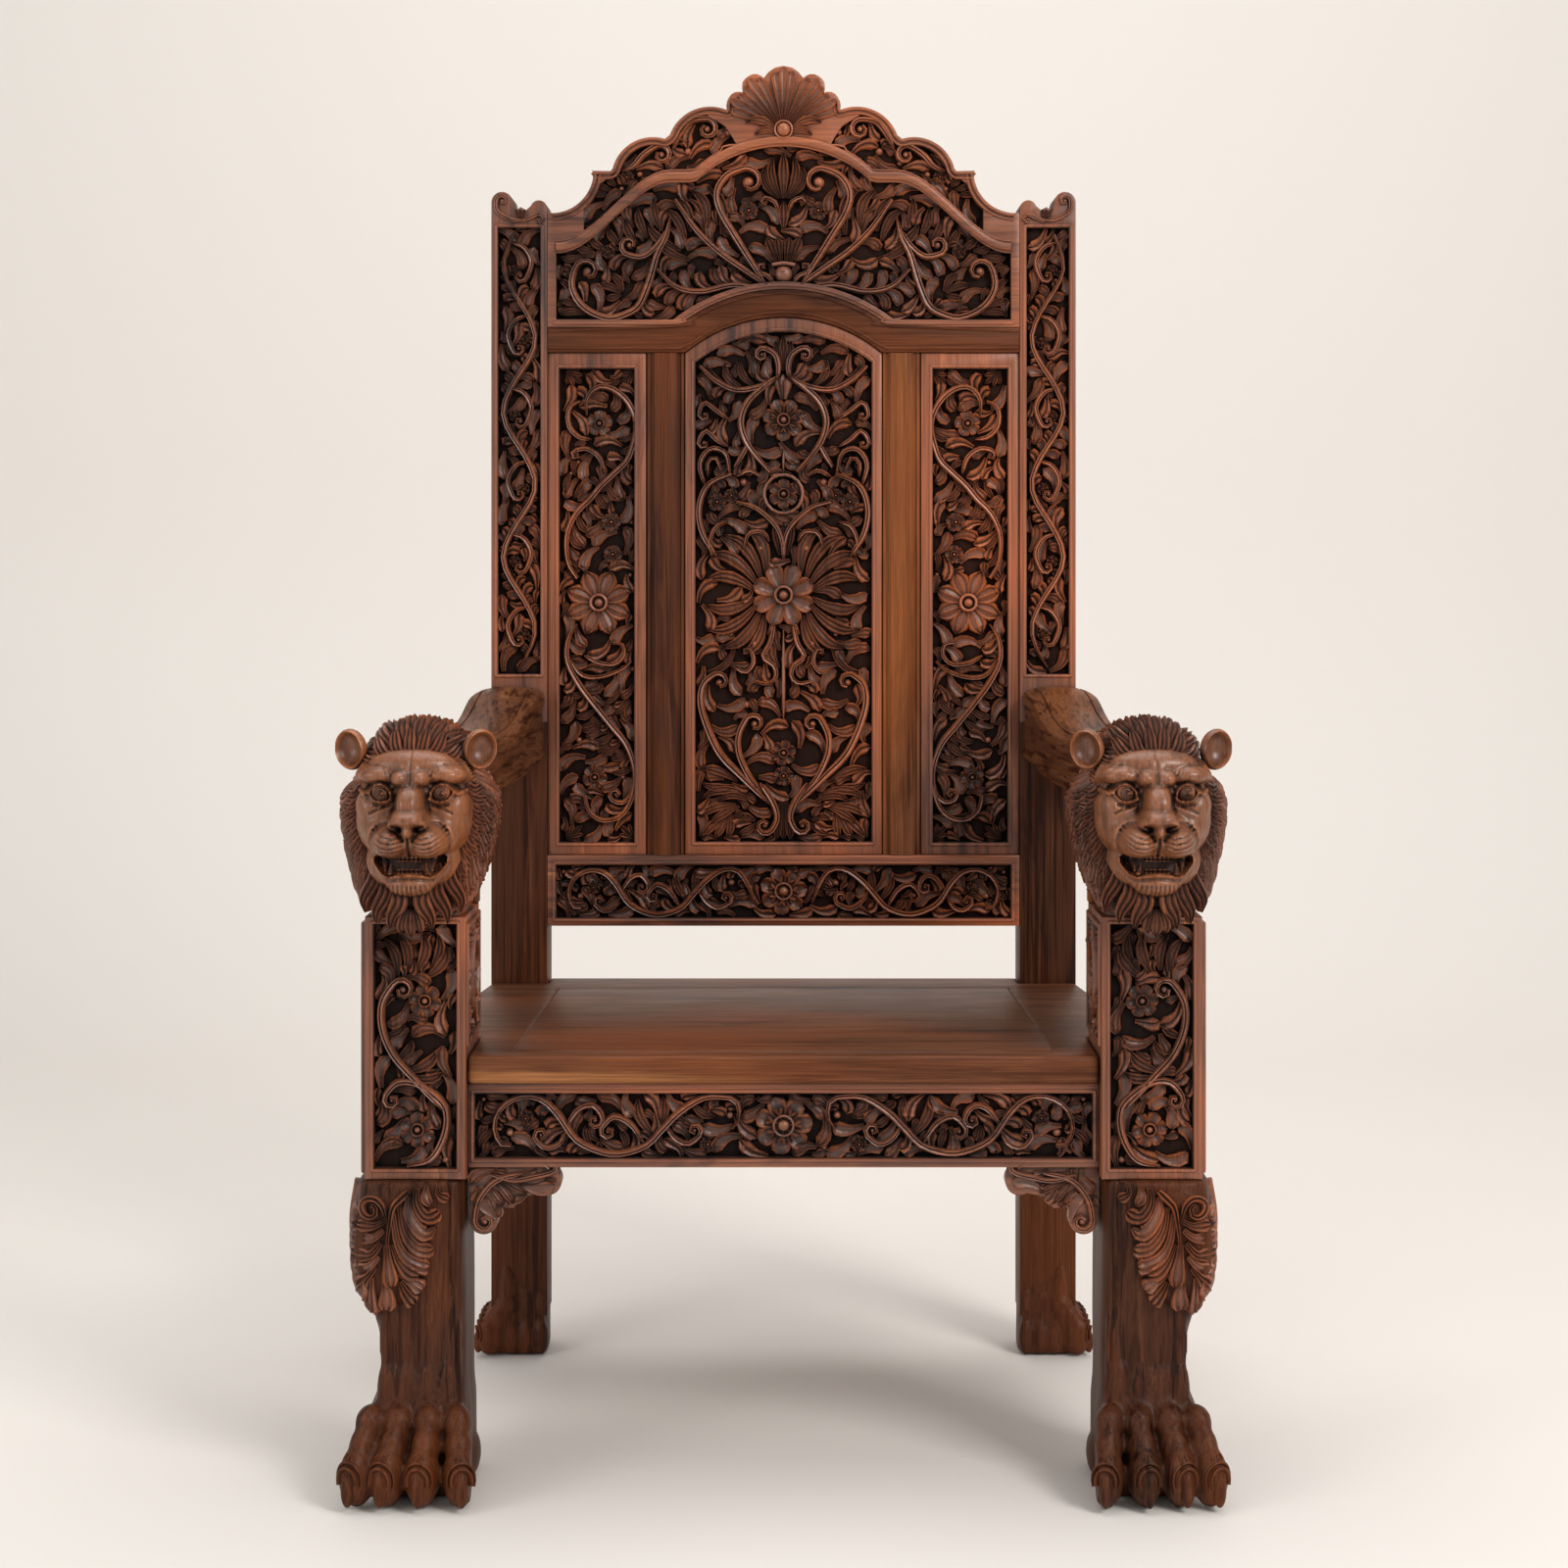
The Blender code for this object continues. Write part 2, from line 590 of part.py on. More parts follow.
def side_panel_strokes(width, tall):
    """One great scroll above a rosette and its turn below, in a tall field centred on the origin."""
    w, h = width / 2, tall / 2
    upper = [(-0.70 * w, 0.03 * h), (-0.86 * w, 0.16 * h), (-0.60 * w, 0.34 * h), (0.10 * w, 0.47 * h),
             (0.72 * w, 0.60 * h), (0.84 * w, 0.76 * h), (0.30 * w, 0.88 * h), (-0.40 * w, 0.84 * h)]
    made = [stem(curled(upper, 0.20 * w, 1, 0.5), 0.0038, 11)]
    for x, y, dx, dy, bend in ((-0.45, 0.38, -0.35, 0.12, 0.2), (-0.10, 0.44, -0.45, 0.16, -0.2),
                               (0.20, 0.50, -0.15, 0.16, -0.2), (0.10, 0.46, 0.70, -0.01, -0.1),
                               (-0.30, 0.38, 0.75, 0.02, -0.1), (-0.74, 0.24, 0.60, 0.02, -0.1)):
        made.append(leaf((x * w, y * h), ((x + dx) * w, (y + dy) * h), 0.0075, bend))
    hook = [(-0.60 * w, 0.90 * h), (-0.84 * w, 0.78 * h), (-0.50 * w, 0.68 * h)]
    made.append(stem(curled(hook, 0.009, 1, 0.6), 0.003, 4))
    for x, y, dx in ((0.55, 0.90, 0.30), (-0.86, 0.97, 0.25), (0.05, 0.91, -0.10)):
        made.append(leaf((x * w, y * h), ((x + dx) * w, 0.97 * h), 0.007))
    made += rosette((0, 0.70 * h), 0.016, 4)
    lower = [{**s, "path": [Vector((p[0], -p[1])) for p in s["path"]]} for s in made]
    return made + lower + rosette((0, 0), 0.88 * w, 8, 0.012)


def make_side_panel(side):
    inner, outer = MUNTIN_OUTER + GAP, STILE_INNER - GAP
    middle = (inner + outer) / 2
    low, high = RAIL_LOW_TOP + GAP, MID_RAIL_BOTTOM - GAP
    half = (outer - inner) / 2
    outline = rectangle(-half, half, low, high)
    foot, crown = SIDE_FIELD
    field = rectangle(-SIDE_FIELD_HALF, SIDE_FIELD_HALF, foot, crown)
    strokes = side_panel_strokes(2 * SIDE_FIELD_HALF, crown - foot)
    strokes = shifted(strokes, (0, (foot + crown) / 2), -side)
    return carved_board(f"{WORDS[side]}_panel", outline, [field], strokes, PANEL_THICK,
                        facing((0, -1, 0), (side * middle, STILE_FRONT_Y + PANEL_BACK, 0)))


def frieze(half_length, width, units, radius):
    """Scrolls that run out to both ends from a rosette."""
    run = shifted(running_scroll(half_length - 1.25 * radius, width, units), (1.15 * radius, 0))
    return mirrored(run) + rosette((0, 0), radius, 6, 0.011, math.pi / 6)


def make_bottom_rail():
    edge = STILE_INNER - GAP
    outline = rectangle(-edge, edge, RAIL_LOW_BOTTOM, RAIL_LOW_TOP)
    foot, crown = RAIL_FIELD
    field = rectangle(-RAIL_FIELD_HALF, RAIL_FIELD_HALF, foot, crown)
    strokes = shifted(frieze(0.285, crown - foot, 3, 0.028), (0, (foot + crown) / 2))
    return carved_board("bottom_rail", outline, [field], strokes, FRAME_THICK, back_frame())


def ear_outline():
    """The top of a stile: a volute, a leaf dip and a volute. X runs inwards from its outer edge."""
    outer = arc((0.0135, 1.4555), 0.0135, 180, 10, 7)
    inner = arc((0.0600, 1.4480), 0.0105, 160, 0, 5)
    return [*outer, (0.0290, 1.4440), (0.0370, 1.4500), (0.0440, 1.4460), *inner]


def make_stile(side):
    """Stile, rear leg and rear paw in one piece, with the carved strip above the arm."""
    ear = [(side * (STILE_OUTER - x), y) for x, y in ear_outline()]
    ear[-1] = (side * STILE_INNER, 1.4400)
    foot = 0.060
    outline = [(side * STILE_INNER, foot), (side * STILE_OUTER, foot), (side * STILE_OUTER, STILE_TOP), *ear]
    if side < 0:
        outline.reverse()
    xs = sorted(side * x for x in STRIP_X)
    field = rectangle(*xs, *STRIP_Z)
    strip = running_scroll(0.540, 0.0500, 5, -side)
    strokes = turned_upright(strip, (sum(xs) / 2, 0.872))
    made = carved_board(f"{WORDS[side]}_stile_and_rear_leg", outline, [field], strokes, STILE_DEPTH,
                        back_frame(), depth=STRIP_DEPTH)
    paw = rear_paw(side)
    join = made.modifiers.new("paw", "BOOLEAN")
    join.operation = "UNION"
    join.object = paw
    return made


# Soft carved forms, built up from blobs and skinned

def blob(bm, centre, radii, turn=(0, 0, 0), detail=2):
    """An egg shape with its own radii and turn, in degrees."""
    spin = Matrix.Rotation(math.radians(turn[2]), 4, "Z") @ Matrix.Rotation(math.radians(turn[1]), 4, "Y")
    spin = spin @ Matrix.Rotation(math.radians(turn[0]), 4, "X")
    place = Matrix.Translation(centre) @ spin @ Matrix.Diagonal((*radii, 1))
    bmesh.ops.create_icosphere(bm, subdivisions=detail, radius=1.0, matrix=place)


def loft(bm, sections, corners=16, squareness=3.2):
    """A closed skin through rounded rectangles. Each section is (x0, x1, y0, y1, z)."""
    rings = []
    for x0, x1, y0, y1, z in sections:
        ring = []
        for i in range(corners):
            a = 2 * math.pi * i / corners
            c, s = math.cos(a), math.sin(a)
            reach = (abs(c) ** squareness + abs(s) ** squareness) ** (-1 / squareness)
            across, along = 0.5 + 0.5 * c * reach, 0.5 + 0.5 * s * reach
            ring.append(bm.verts.new((mix(x0, x1, across), mix(y0, y1, along), z)))
        rings.append(ring)
    for low, high in zip(rings, rings[1:]):
        edges = [bm.edges.get((r[i - 1], r[i])) or bm.edges.new((r[i - 1], r[i]))
                 for r in (low, high) for i in range(corners)]
        bmesh.ops.bridge_loops(bm, edges=edges)
    for ring in (rings[0], rings[-1]):
        bmesh.ops.contextual_create(bm, geom=ring)


def skinned(name, bm, voxel, keep, group=None, flat_base=False):
    """One closed skin over everything in the bmesh, thinned to a share of its faces."""
    made = add_object(name, bm, group=group)
    skin = made.modifiers.new("skin", "REMESH")
    skin.mode = "VOXEL"
    skin.voxel_size = voxel
    thin = made.modifiers.new("thin", "DECIMATE")
    thin.ratio = keep
    graph = bpy.context.evaluated_depsgraph_get()
    mesh = bpy.data.meshes.new_from_object(made.evaluated_get(graph))
    made.modifiers.clear()
    made.data = mesh
    if flat_base:
        work = bmesh.new()
        work.from_mesh(mesh)
        cut = bmesh.ops.bisect_plane(work, geom=[*work.verts, *work.edges, *work.faces], plane_co=(0, 0, 0),
                                     plane_no=(0, 0, -1), clear_outer=True)
        rim = [e for e in cut["geom_cut"] if isinstance(e, bmesh.types.BMEdge)]
        bmesh.ops.edgeloop_fill(work, edges=rim)
        work.to_mesh(mesh)
        work.free()
    return made


def toe(bm, root, heading, spread, size=1.0):
    """One toe from its knuckle down to its claw, along a heading in degrees in plan."""
    a = math.radians(heading + spread)
    ahead = Vector((math.cos(a), math.sin(a), 0))
    root = Vector(root)
    chain = ((0.000, 0.082, 0.0200, 0.022), (0.024, 0.064, 0.0190, 0.021), (0.044, 0.040, 0.0180, 0.022),
             (0.055, 0.020, 0.0185, 0.020))
    for reach, height, wide, high in chain:
        centre = root + ahead * reach * size
        blob(bm, (centre.x, centre.y, height * size), (wide * size, wide * size * 1.1, high * size),
             (0, 0, heading + spread))
    tip = root + ahead * 0.071 * size
    blob(bm, (tip.x, tip.y, 0.016 * size), (0.008 * size, 0.0065 * size, 0.019 * size), detail=1)


def front_leg(side):
    """The cabriole leg below the post: acanthus knee, shank and four-toed paw."""
    bm = bmesh.new()
    sections = [(0.345, 0.4560, -0.288, -0.148, POST_BOTTOM - GAP), (0.345, 0.4640, -0.292, -0.148, 0.300),
                (0.344, 0.4620, -0.290, -0.150, 0.260), (0.343, 0.4480, -0.284, -0.154, 0.210),
                (0.344, 0.4320, -0.275, -0.160, 0.150), (0.346, 0.4310, -0.275, -0.165, 0.110),
                (0.345, 0.4380, -0.285, -0.165, 0.080), (0.340, 0.4420, -0.290, -0.160, -0.010)]
    loft(bm, [(s[0] if side > 0 else -s[1], s[1] if side > 0 else -s[0], *s[2:]) for s in sections[::-1]])
    blob(bm, (side * PAW_X, -0.232, 0.036), (0.056, 0.046, 0.046))
    for across, spread in TOES:
        root_y = -0.276 + 0.14 * abs(across)
        toe(bm, (side * (PAW_X + across), root_y, 0), -90, side * spread)
    blob(bm, (side * (PAW_X - 0.058), -0.215, 0.035), (0.014, 0.030, 0.034))
    for lean, reach, low in ((-58, 0.034, 0.268), (-30, 0.046, 0.238), (0, 0.052, 0.222), (28, 0.046, 0.238),
                             (58, 0.036, 0.268)):
        a = math.radians(lean)
        x = side * (0.4200 + 0.8 * reach * math.sin(a))
        blob(bm, (x, -0.283, low), (0.013, 0.012, 0.042), (0, side * -lean * 0.8, 0), detail=1)
        blob(bm, (side * 0.453, -0.222 + 0.9 * reach * math.sin(a), low), (0.011, 0.014, 0.040),
             (lean * 0.8, 0, 0), detail=1)
    blob(bm, (side * 0.4380, -0.282, 0.310), (0.020, 0.014, 0.020))
    made = skinned(f"{WORDS[side]}_front_leg", bm, 0.0050, 0.022, flat_base=True)
    return flattened_top(made, POST_BOTTOM - GAP)


def flattened_top(made, level):
    """Cuts a skinned piece off flat at a level, so that the next piece sits on it."""
    work = bmesh.new()
    work.from_mesh(made.data)
    cut = bmesh.ops.bisect_plane(work, geom=[*work.verts, *work.edges, *work.faces],
                                 plane_co=(0, 0, level - 0.003), plane_no=(0, 0, 1), clear_outer=True)
    rim = [e for e in cut["geom_cut"] if isinstance(e, bmesh.types.BMEdge)]
    fill = bmesh.ops.edgeloop_fill(work, edges=rim)["faces"]
    lift = bmesh.ops.extrude_face_region(work, geom=fill)["geom"]
    for v in lift:
        if isinstance(v, bmesh.types.BMVert):
            v.co.z = level
    bmesh.ops.delete(work, geom=fill, context="FACES_ONLY")
    bmesh.ops.recalc_face_normals(work, faces=work.faces)
    work.to_mesh(made.data)
    work.free()
    return made


def rear_paw(side):
    """The paw of a rear leg, its toes turned outwards."""
    bm = bmesh.new()
    x0, x1 = sorted((side * (STILE_INNER + 0.001), side * (STILE_OUTER - 0.001)))
    y0, y1 = STILE_FRONT_Y + 0.001, STILE_FRONT_Y + STILE_DEPTH - 0.001
    loft(bm, [(x0, x1, y0, y1, 0.100), (x0 - 0.002, x1 + 0.002, y0 - 0.004, y1 + 0.004, 0.070),
              (x0 - 0.003, x1 + 0.003, y0 - 0.006, y1 + 0.006, -0.010)][::-1], squareness=6)
    middle = STILE_FRONT_Y + STILE_DEPTH / 2
    blob(bm, (side * 0.362, middle, 0.030), (0.036, 0.044, 0.040))
    for i in range(4):
        across = -0.036 + 0.024 * i
        toe(bm, (side * 0.360, middle + across, 0), 0 if side > 0 else 180, side * 5 * (i - 1.5), 0.80)
    made = skinned(f"{WORDS[side]}_rear_paw_shape", bm, 0.0045, 0.022, CUTTERS, True)
    return hidden(made)


def hidden(tool):
    """A shape that only cuts or joins others: kept out of the render and drawn as wire."""
    tool.hide_render = True
    tool.display_type = "WIRE"
    return tool


def lion_head(side):
    """A lion's head in the round at the front of an arm: mane, ears, muzzle and open jaw."""
    cx, cy, cz = side * POST_X, HEAD_Y, HEAD_Z
    bm = bmesh.new()

    def form(x, y, z, radii, turn=(0, 0, 0), detail=2, both=False):
        blob(bm, (cx + x, cy + y, cz + z), radii, turn, detail)
        if both:
            blob(bm, (cx - x, cy + y, cz + z), radii, (turn[0], -turn[1], -turn[2]), detail)

    half = (POST_OUTER - POST_INNER) / 2 - 0.003
    back = ARM_FRONT_Y - GAP
    loft(bm, [(cx - half, cx + half, POST_FRONT_Y + 0.002, back + 0.010, HEAD_BASE - 0.010),
              (cx - half, cx + half, POST_FRONT_Y - 0.002, back + 0.010, HEAD_BASE + 0.090)])
    form(0, 0.018, 0.004, (0.070, 0.085, 0.100))
    form(0, -0.025, 0.008, (0.060, 0.058, 0.078))
    form(0, -0.068, -0.020, (0.037, 0.036, 0.030))
    form(0.019, -0.088, -0.026, (0.022, 0.020, 0.018), both=True)
    form(0, -0.066, 0.020, (0.020, 0.030, 0.045), (-18, 0, 0))
    form(0, -0.103, -0.006, (0.018, 0.011, 0.010))
    form(0.029, -0.068, 0.046, (0.023, 0.015, 0.011), (0, 14, 0), both=True)
    form(0.042, -0.052, -0.004, (0.022, 0.026, 0.030), both=True)
    form(0, -0.068, -0.074, (0.027, 0.026, 0.014))
    form(0, -0.035, -0.055, (0.048, 0.042, 0.040))
    form(0.062, -0.008, 0.070, (0.017, 0.010, 0.020), (0, 20, 0), both=True)
    for reach, forward, locks in ((0.96, -0.030, 13), (1.05, 0.006, 15), (0.98, 0.042, 13)):
        for i in range(locks):
            around = math.radians(mix(-128, 128, i / (locks - 1)))
            x = 0.072 * reach * math.sin(around)
            z = 0.086 * reach * math.cos(around) - 0.004
            droop = math.degrees(math.atan2(x, z + 0.12)) * 0.8
            form(x, forward, z - 0.016, (0.012, 0.017, 0.031), (0, droop, 0), detail=1)
    for x in (-0.030, -0.010, 0.010, 0.030):
        form(x, -0.045, -0.096, (0.011, 0.016, 0.024), (0, x * -400, 0), detail=1)
    form(0, -0.040, -0.104, (0.012, 0.016, 0.020), detail=1)
    name = f"{WORDS[side]}_lion_head"
    made = skinned(name, bm, 0.0050, 0.032)
    cuts = (
        ("mouth", (cx - 0.024, cy - 0.130, cz - 0.058), (cx + 0.024, cy - 0.074, cz - 0.042)),
        ("post", (cx - 0.100, POST_FRONT_Y - GAP, 0.500), (cx + 0.100, 0.000, HEAD_BASE)),
        ("arm", (cx - 0.100, ARM_FRONT_Y - GAP, 0.500), (cx + 0.100, 0.000, 1.000)),
    )
    for label, low, high in cuts:
        cutter = hidden(box(f"{name}_{label}_cut", low, high, group=CUTTERS))
        carve = made.modifiers.new(label, "BOOLEAN")
        carve.operation = "DIFFERENCE"
        carve.object = cutter
    return made


# Front posts, arms, seat and aprons

def make_post(side):
    """The post between leg and lion head, carved on its front and outer faces."""
    name = f"{WORDS[side]}_front_post"
    half = (POST_OUTER - POST_INNER) / 2
    face = rectangle(-half, half, POST_BOTTOM, POST_TOP)
    field = rectangle(-half + 0.012, half - 0.012, POST_BOTTOM + 0.013, 0.612)
    strip = turned_upright(running_scroll(0.250, 0.078, 2, -side), (0, POST_BOTTOM + 0.020))
    strip += rosette((side * 0.006, 0.415), 0.018, 4) + rosette((-side * 0.008, 0.530), 0.018, 4)
    deep = POST_BACK_Y - POST_FRONT_Y
    front = carved_board(name, face, [field], strip, deep,
                         facing((0, -1, 0), (side * POST_X, POST_FRONT_Y, 0)), depth=0.009)
    outer_face = rectangle(-deep / 2 + 0.006, deep / 2 - 0.006, POST_BOTTOM + 0.006, 0.616)
    outer_field = rectangle(-deep / 2 + 0.012, deep / 2 - 0.012, POST_BOTTOM + 0.013, 0.610)
    outer_strip = turned_upright(running_scroll(0.250, 0.090, 2, side), (0, POST_BOTTOM + 0.020))
    beside = facing((side, 0, 0), (side * (POST_OUTER + 0.005), (POST_FRONT_Y + POST_BACK_Y) / 2, 0))
    outer = carved_board(name + "_outer_relief", outer_face, [outer_field], outer_strip, 0.014, beside,
                         depth=0.007, group=CUTTERS)
    join = front.modifiers.new("outer_relief", "BOOLEAN")
    join.operation = "UNION"
    join.object = hidden(outer)
    return front


def arm_profile():
    """The arm from the side, as (Y, Z). Its front end drops behind the head to stand on the post."""
    top = smooth_path([(ARM_REAR_Y, ARM_TOP), (0.180, 0.840), (0.115, 0.818), (0.040, 0.805),
                       (-0.040, 0.804), (-0.110, 0.812), (ARM_FRONT_Y, 0.818)], 8)
    under = smooth_path([(POST_BACK_Y, 0.745), (-0.060, 0.739), (0.030, 0.738), (0.110, 0.741),
                         (0.180, 0.750), (ARM_REAR_Y, 0.752)], 7)
    foot = [(ARM_FRONT_Y, HEAD_BASE), (POST_BACK_Y, HEAD_BASE)]
    return [*((p.x, p.y) for p in top), *foot, *((p.x, p.y) for p in under)]


def make_arm(side):
    """The arm: a thick cyma that leaves the stile and dips behind the lion's head."""
    bm = bmesh.new()
    rim = [bm.verts.new((-ARM_WIDTH / 2, y, z)) for y, z in arm_profile()]
    cheek = bm.faces.new(rim)
    grown = bmesh.ops.extrude_face_region(bm, geom=[cheek])["geom"]
    far = [v for v in grown if isinstance(v, bmesh.types.BMVert)]
    bmesh.ops.translate(bm, vec=(ARM_WIDTH, 0, 0), verts=far)
    slope = side * (ARM_FRONT_X - ARM_REAR_X) / (ARM_FRONT_Y - ARM_REAR_Y)
    splay = Matrix.Identity(4)
    splay[0][1] = slope
    bm.transform(Matrix.Translation((side * ARM_REAR_X - slope * ARM_REAR_Y, 0, 0)) @ splay)
    made = add_object(f"{WORDS[side]}_arm", bm)
    ease = made.modifiers.new("eased_edges", "BEVEL")
    ease.width = 0.009
    ease.segments = 1
    ease.limit_method = "ANGLE"
    ease.angle_limit = math.radians(50)
    return made


def seat_outline(y_front, shrink):
    """The seat's plan: narrow between the posts, wide behind them, tapering to the stiles."""
    half, wide = SEAT_FRONT_HALF - GAP - shrink, SEAT_WIDE_HALF - shrink
    rear, notch = STILE_OUTER - shrink, STILE_INNER - GAP
    right = [(half, y_front), (half, POST_BACK_Y + GAP), (wide, POST_BACK_Y + GAP),
             (rear, STILE_FRONT_Y - GAP), (notch, STILE_FRONT_Y - GAP), (notch, SEAT_BACK_Y)]
    return right + [(-x, y) for x, y in reversed(right)]


def make_seat():
    """The seat frame with a panel let into it, flush."""
    place = Matrix.Translation((0, 0, SEAT_TOP))
    pocket = [(-0.2950, -0.2330), (0.2950, -0.2330), (0.2800, 0.1900), (-0.2800, 0.1900)]
    frame = carved_board("seat_frame", seat_outline(SEAT_FRONT_Y, 0), [], [], SEAT_THICK, place)
    frame.data.materials[0] = wood("seat_wood")
    above = place @ Matrix.Translation((0, 0, PANEL_SINK))
    hole = carved_board("seat_pocket_cut", pocket, [], [], 2 * PANEL_SINK, above, group=CUTTERS)
    cut = frame.modifiers.new("pocket", "BOOLEAN")
    cut.operation = "DIFFERENCE"
    cut.object = hidden(hole)
    inlay = [(p.x, p.y) for p in inset(pocket, 0.0005)]
    panel = carved_board("seat_panel", inlay, [], [], PANEL_SINK - GAP, place)
    panel.data.materials[0] = wood("seat_wood")


def make_front_apron():
    half = POST_INNER - GAP
    top = SEAT_TOP - SEAT_THICK - GAP
    outline = rectangle(-half, half, APRON_BOTTOM, top)
    foot, crown = APRON_FIELD
    field = rectangle(-APRON_FIELD_HALF, APRON_FIELD_HALF, foot, crown)
    strokes = shifted(frieze(0.331, crown - foot, 3, 0.029), (0, (foot + crown) / 2))
    return carved_board("front_apron", outline, [field], strokes, APRON_THICK,
                        facing((0, -1, 0), (0, APRON_FRONT_Y, 0)))


def make_side_apron(side):
    """The apron under the seat's side, from the post back to the stile."""
    top = SEAT_TOP - SEAT_THICK - GAP
    start = Vector((side * 0.4080, POST_BACK_Y + 0.003, 0))
    end = Vector((side * 0.3650, STILE_FRONT_Y - 0.001, 0))
    along = end - start
    out = Vector((side * along.y, -side * along.x, 0))
    length = along.length - 0.003
    half = length / 2
    outline = rectangle(-half, half, APRON_BOTTOM, top)
    foot, crown = APRON_FIELD
    field = rectangle(-half + 0.012, half - 0.012, foot, crown)
    strokes = shifted(frieze(half - 0.014, crown - foot, 1, 0.026), (0, (foot + crown) / 2))
    return carved_board(f"{WORDS[side]}_apron", outline, [field], strokes, 0.026,
                        facing(out, (start + end) / 2))


def make_rear_apron():
    low = (-STILE_INNER + GAP, STILE_FRONT_Y + 0.012, APRON_BOTTOM)
    high = (STILE_INNER - GAP, STILE_FRONT_Y + 0.038, SEAT_TOP - SEAT_THICK - GAP)
    return box("rear_apron", low, high, bevel=0.003)


def make_bracket(side):
    """The carved corner bracket under the front apron, beside the leg."""
    low_volute = arc((0.016, -0.058), 0.0155, 200, 380, 7)
    tip_volute = arc((0.0860, -0.0165), 0.0145, 235, 400, 6)
    outline = [(0.0, 0.0), (0.0, -0.060), *low_volute, (0.0330, -0.0430), (0.0480, -0.0450),
               (0.0580, -0.0330), (0.0700, -0.0300), *tip_volute, (0.1000, 0.0)]
    edge, top = POST_INNER - 0.001, APRON_BOTTOM - GAP

    def at(x, y):
        return (side * (edge - x), top + y)

    points = [at(*p) for p in outline]
    if signed_area(points) < 0:
        points.reverse()
    field = [at(0.006, -0.006), at(0.006, -0.048), at(0.034, -0.038), at(0.060, -0.026),
             at(0.084, -0.012), at(0.090, -0.006)]
    strokes = [leaf(at(0.020, -0.018), at(0.052, -0.020), 0.006),
               leaf(at(0.014, -0.036), at(0.030, -0.022), 0.005),
               leaf(at(0.050, -0.018), at(0.076, -0.010), 0.004)]
    return carved_board(f"{WORDS[side]}_bracket", points, [field], strokes, 0.026,
                        facing((0, -1, 0), (0, APRON_FRONT_Y, 0)), depth=0.006)


def centre_over_origin():
    """Moves everything along Y so that the throne stands over the origin."""
    bpy.context.view_layer.update()
    for made in [*THRONE.objects, *CUTTERS.objects]:
        made.matrix_world = Matrix.Translation((0, SET_BACK, 0)) @ made.matrix_world


clear_scene()
THRONE = collection("throne")
CUTTERS = collection("cutters")

make_crest()
make_mid_rail()
make_centre_panel()
make_bottom_rail()
make_seat()
make_front_apron()
make_rear_apron()
for hand in (-1, 1):
    make_muntin(hand)
    make_side_panel(hand)
    make_stile(hand)
    front_leg(hand)
    make_post(hand)
    lion_head(hand)
    make_arm(hand)
    make_side_apron(hand)
    make_bracket(hand)
centre_over_origin()
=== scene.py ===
"""The looks of a carved hardwood throne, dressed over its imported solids.

Metres, +Z up, the sitter faces -Y. Every board is built with its carving in one mesh, in the place of its
solid.
"""
import math

import bmesh
import bpy
import numpy as np
from mathutils import Matrix, Vector
from mathutils.bvhtree import BVHTree


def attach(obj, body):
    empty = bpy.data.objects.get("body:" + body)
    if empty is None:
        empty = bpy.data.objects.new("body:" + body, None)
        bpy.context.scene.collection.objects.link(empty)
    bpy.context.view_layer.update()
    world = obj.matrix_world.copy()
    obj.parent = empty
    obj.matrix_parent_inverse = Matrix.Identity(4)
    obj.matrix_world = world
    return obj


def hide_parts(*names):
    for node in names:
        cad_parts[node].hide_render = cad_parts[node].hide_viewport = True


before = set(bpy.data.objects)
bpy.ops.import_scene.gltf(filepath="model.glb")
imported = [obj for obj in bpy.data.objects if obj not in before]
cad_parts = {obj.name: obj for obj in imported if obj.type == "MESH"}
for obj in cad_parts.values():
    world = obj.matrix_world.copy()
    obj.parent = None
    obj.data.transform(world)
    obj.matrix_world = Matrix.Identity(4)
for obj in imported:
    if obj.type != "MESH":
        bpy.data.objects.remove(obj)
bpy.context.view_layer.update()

bl_info = {
    "name": "Carved throne",
    "version": (1, 0, 0),
    "blender": (4, 5, 0),
    "location": "View3D > Sidebar > Throne",
    "description": "Carving, lion heads, paws and rosewood for the throne",
    "category": "Object",
}

FORWARD = Vector((0, -1, 0))

# Planes and heights that the solids set
SHIFT = 0.0254
STILE_FACE = 0.230 + SHIFT
PANEL_FACE = STILE_FACE + 0.004
STILE_INNER, STILE_OUTER, STILE_DEPTH = 0.2985, 0.3690, 0.068
FRAME_THICK = 0.034
GAP = 0.0003
# How far most fields sink, and how thick the panels are
SUNK, PANEL_THICK = 0.011, 0.026
RAIL_LOW = (0.542, 0.6313)
MID_RAIL = (1.2661, 1.2980)
MUNTIN = (0.1245, 0.1735)
APRON_FACE = -0.262 + SHIFT
APRON = (0.348, 0.4397)
SEAT_TOP = 0.470
# The carved strip of a stile: below this height, and behind this depth, a stile is plain polished wood
PLAIN_BELOW, PLAIN_BEHIND = 0.800, 0.0125
POST_FACE, POST_REAR = -0.280 + SHIFT, -0.150 + SHIFT
POST_IN, POST_OUT = 0.3427, 0.4514
POST_X = (POST_IN + POST_OUT) / 2
POST_LOW, POST_HIGH = 0.339, 0.622
LEG_TOP = POST_LOW - GAP
HEAD = Vector((POST_X, -0.262 + SHIFT, 0.735))
HEAD_BASE = POST_HIGH + GAP
ARM_FRONT, ARM_REAR = -0.166 + SHIFT, STILE_FACE - GAP


# Paths in the plane of a board

def mix(a, b, t):
    return a + (b - a) * t


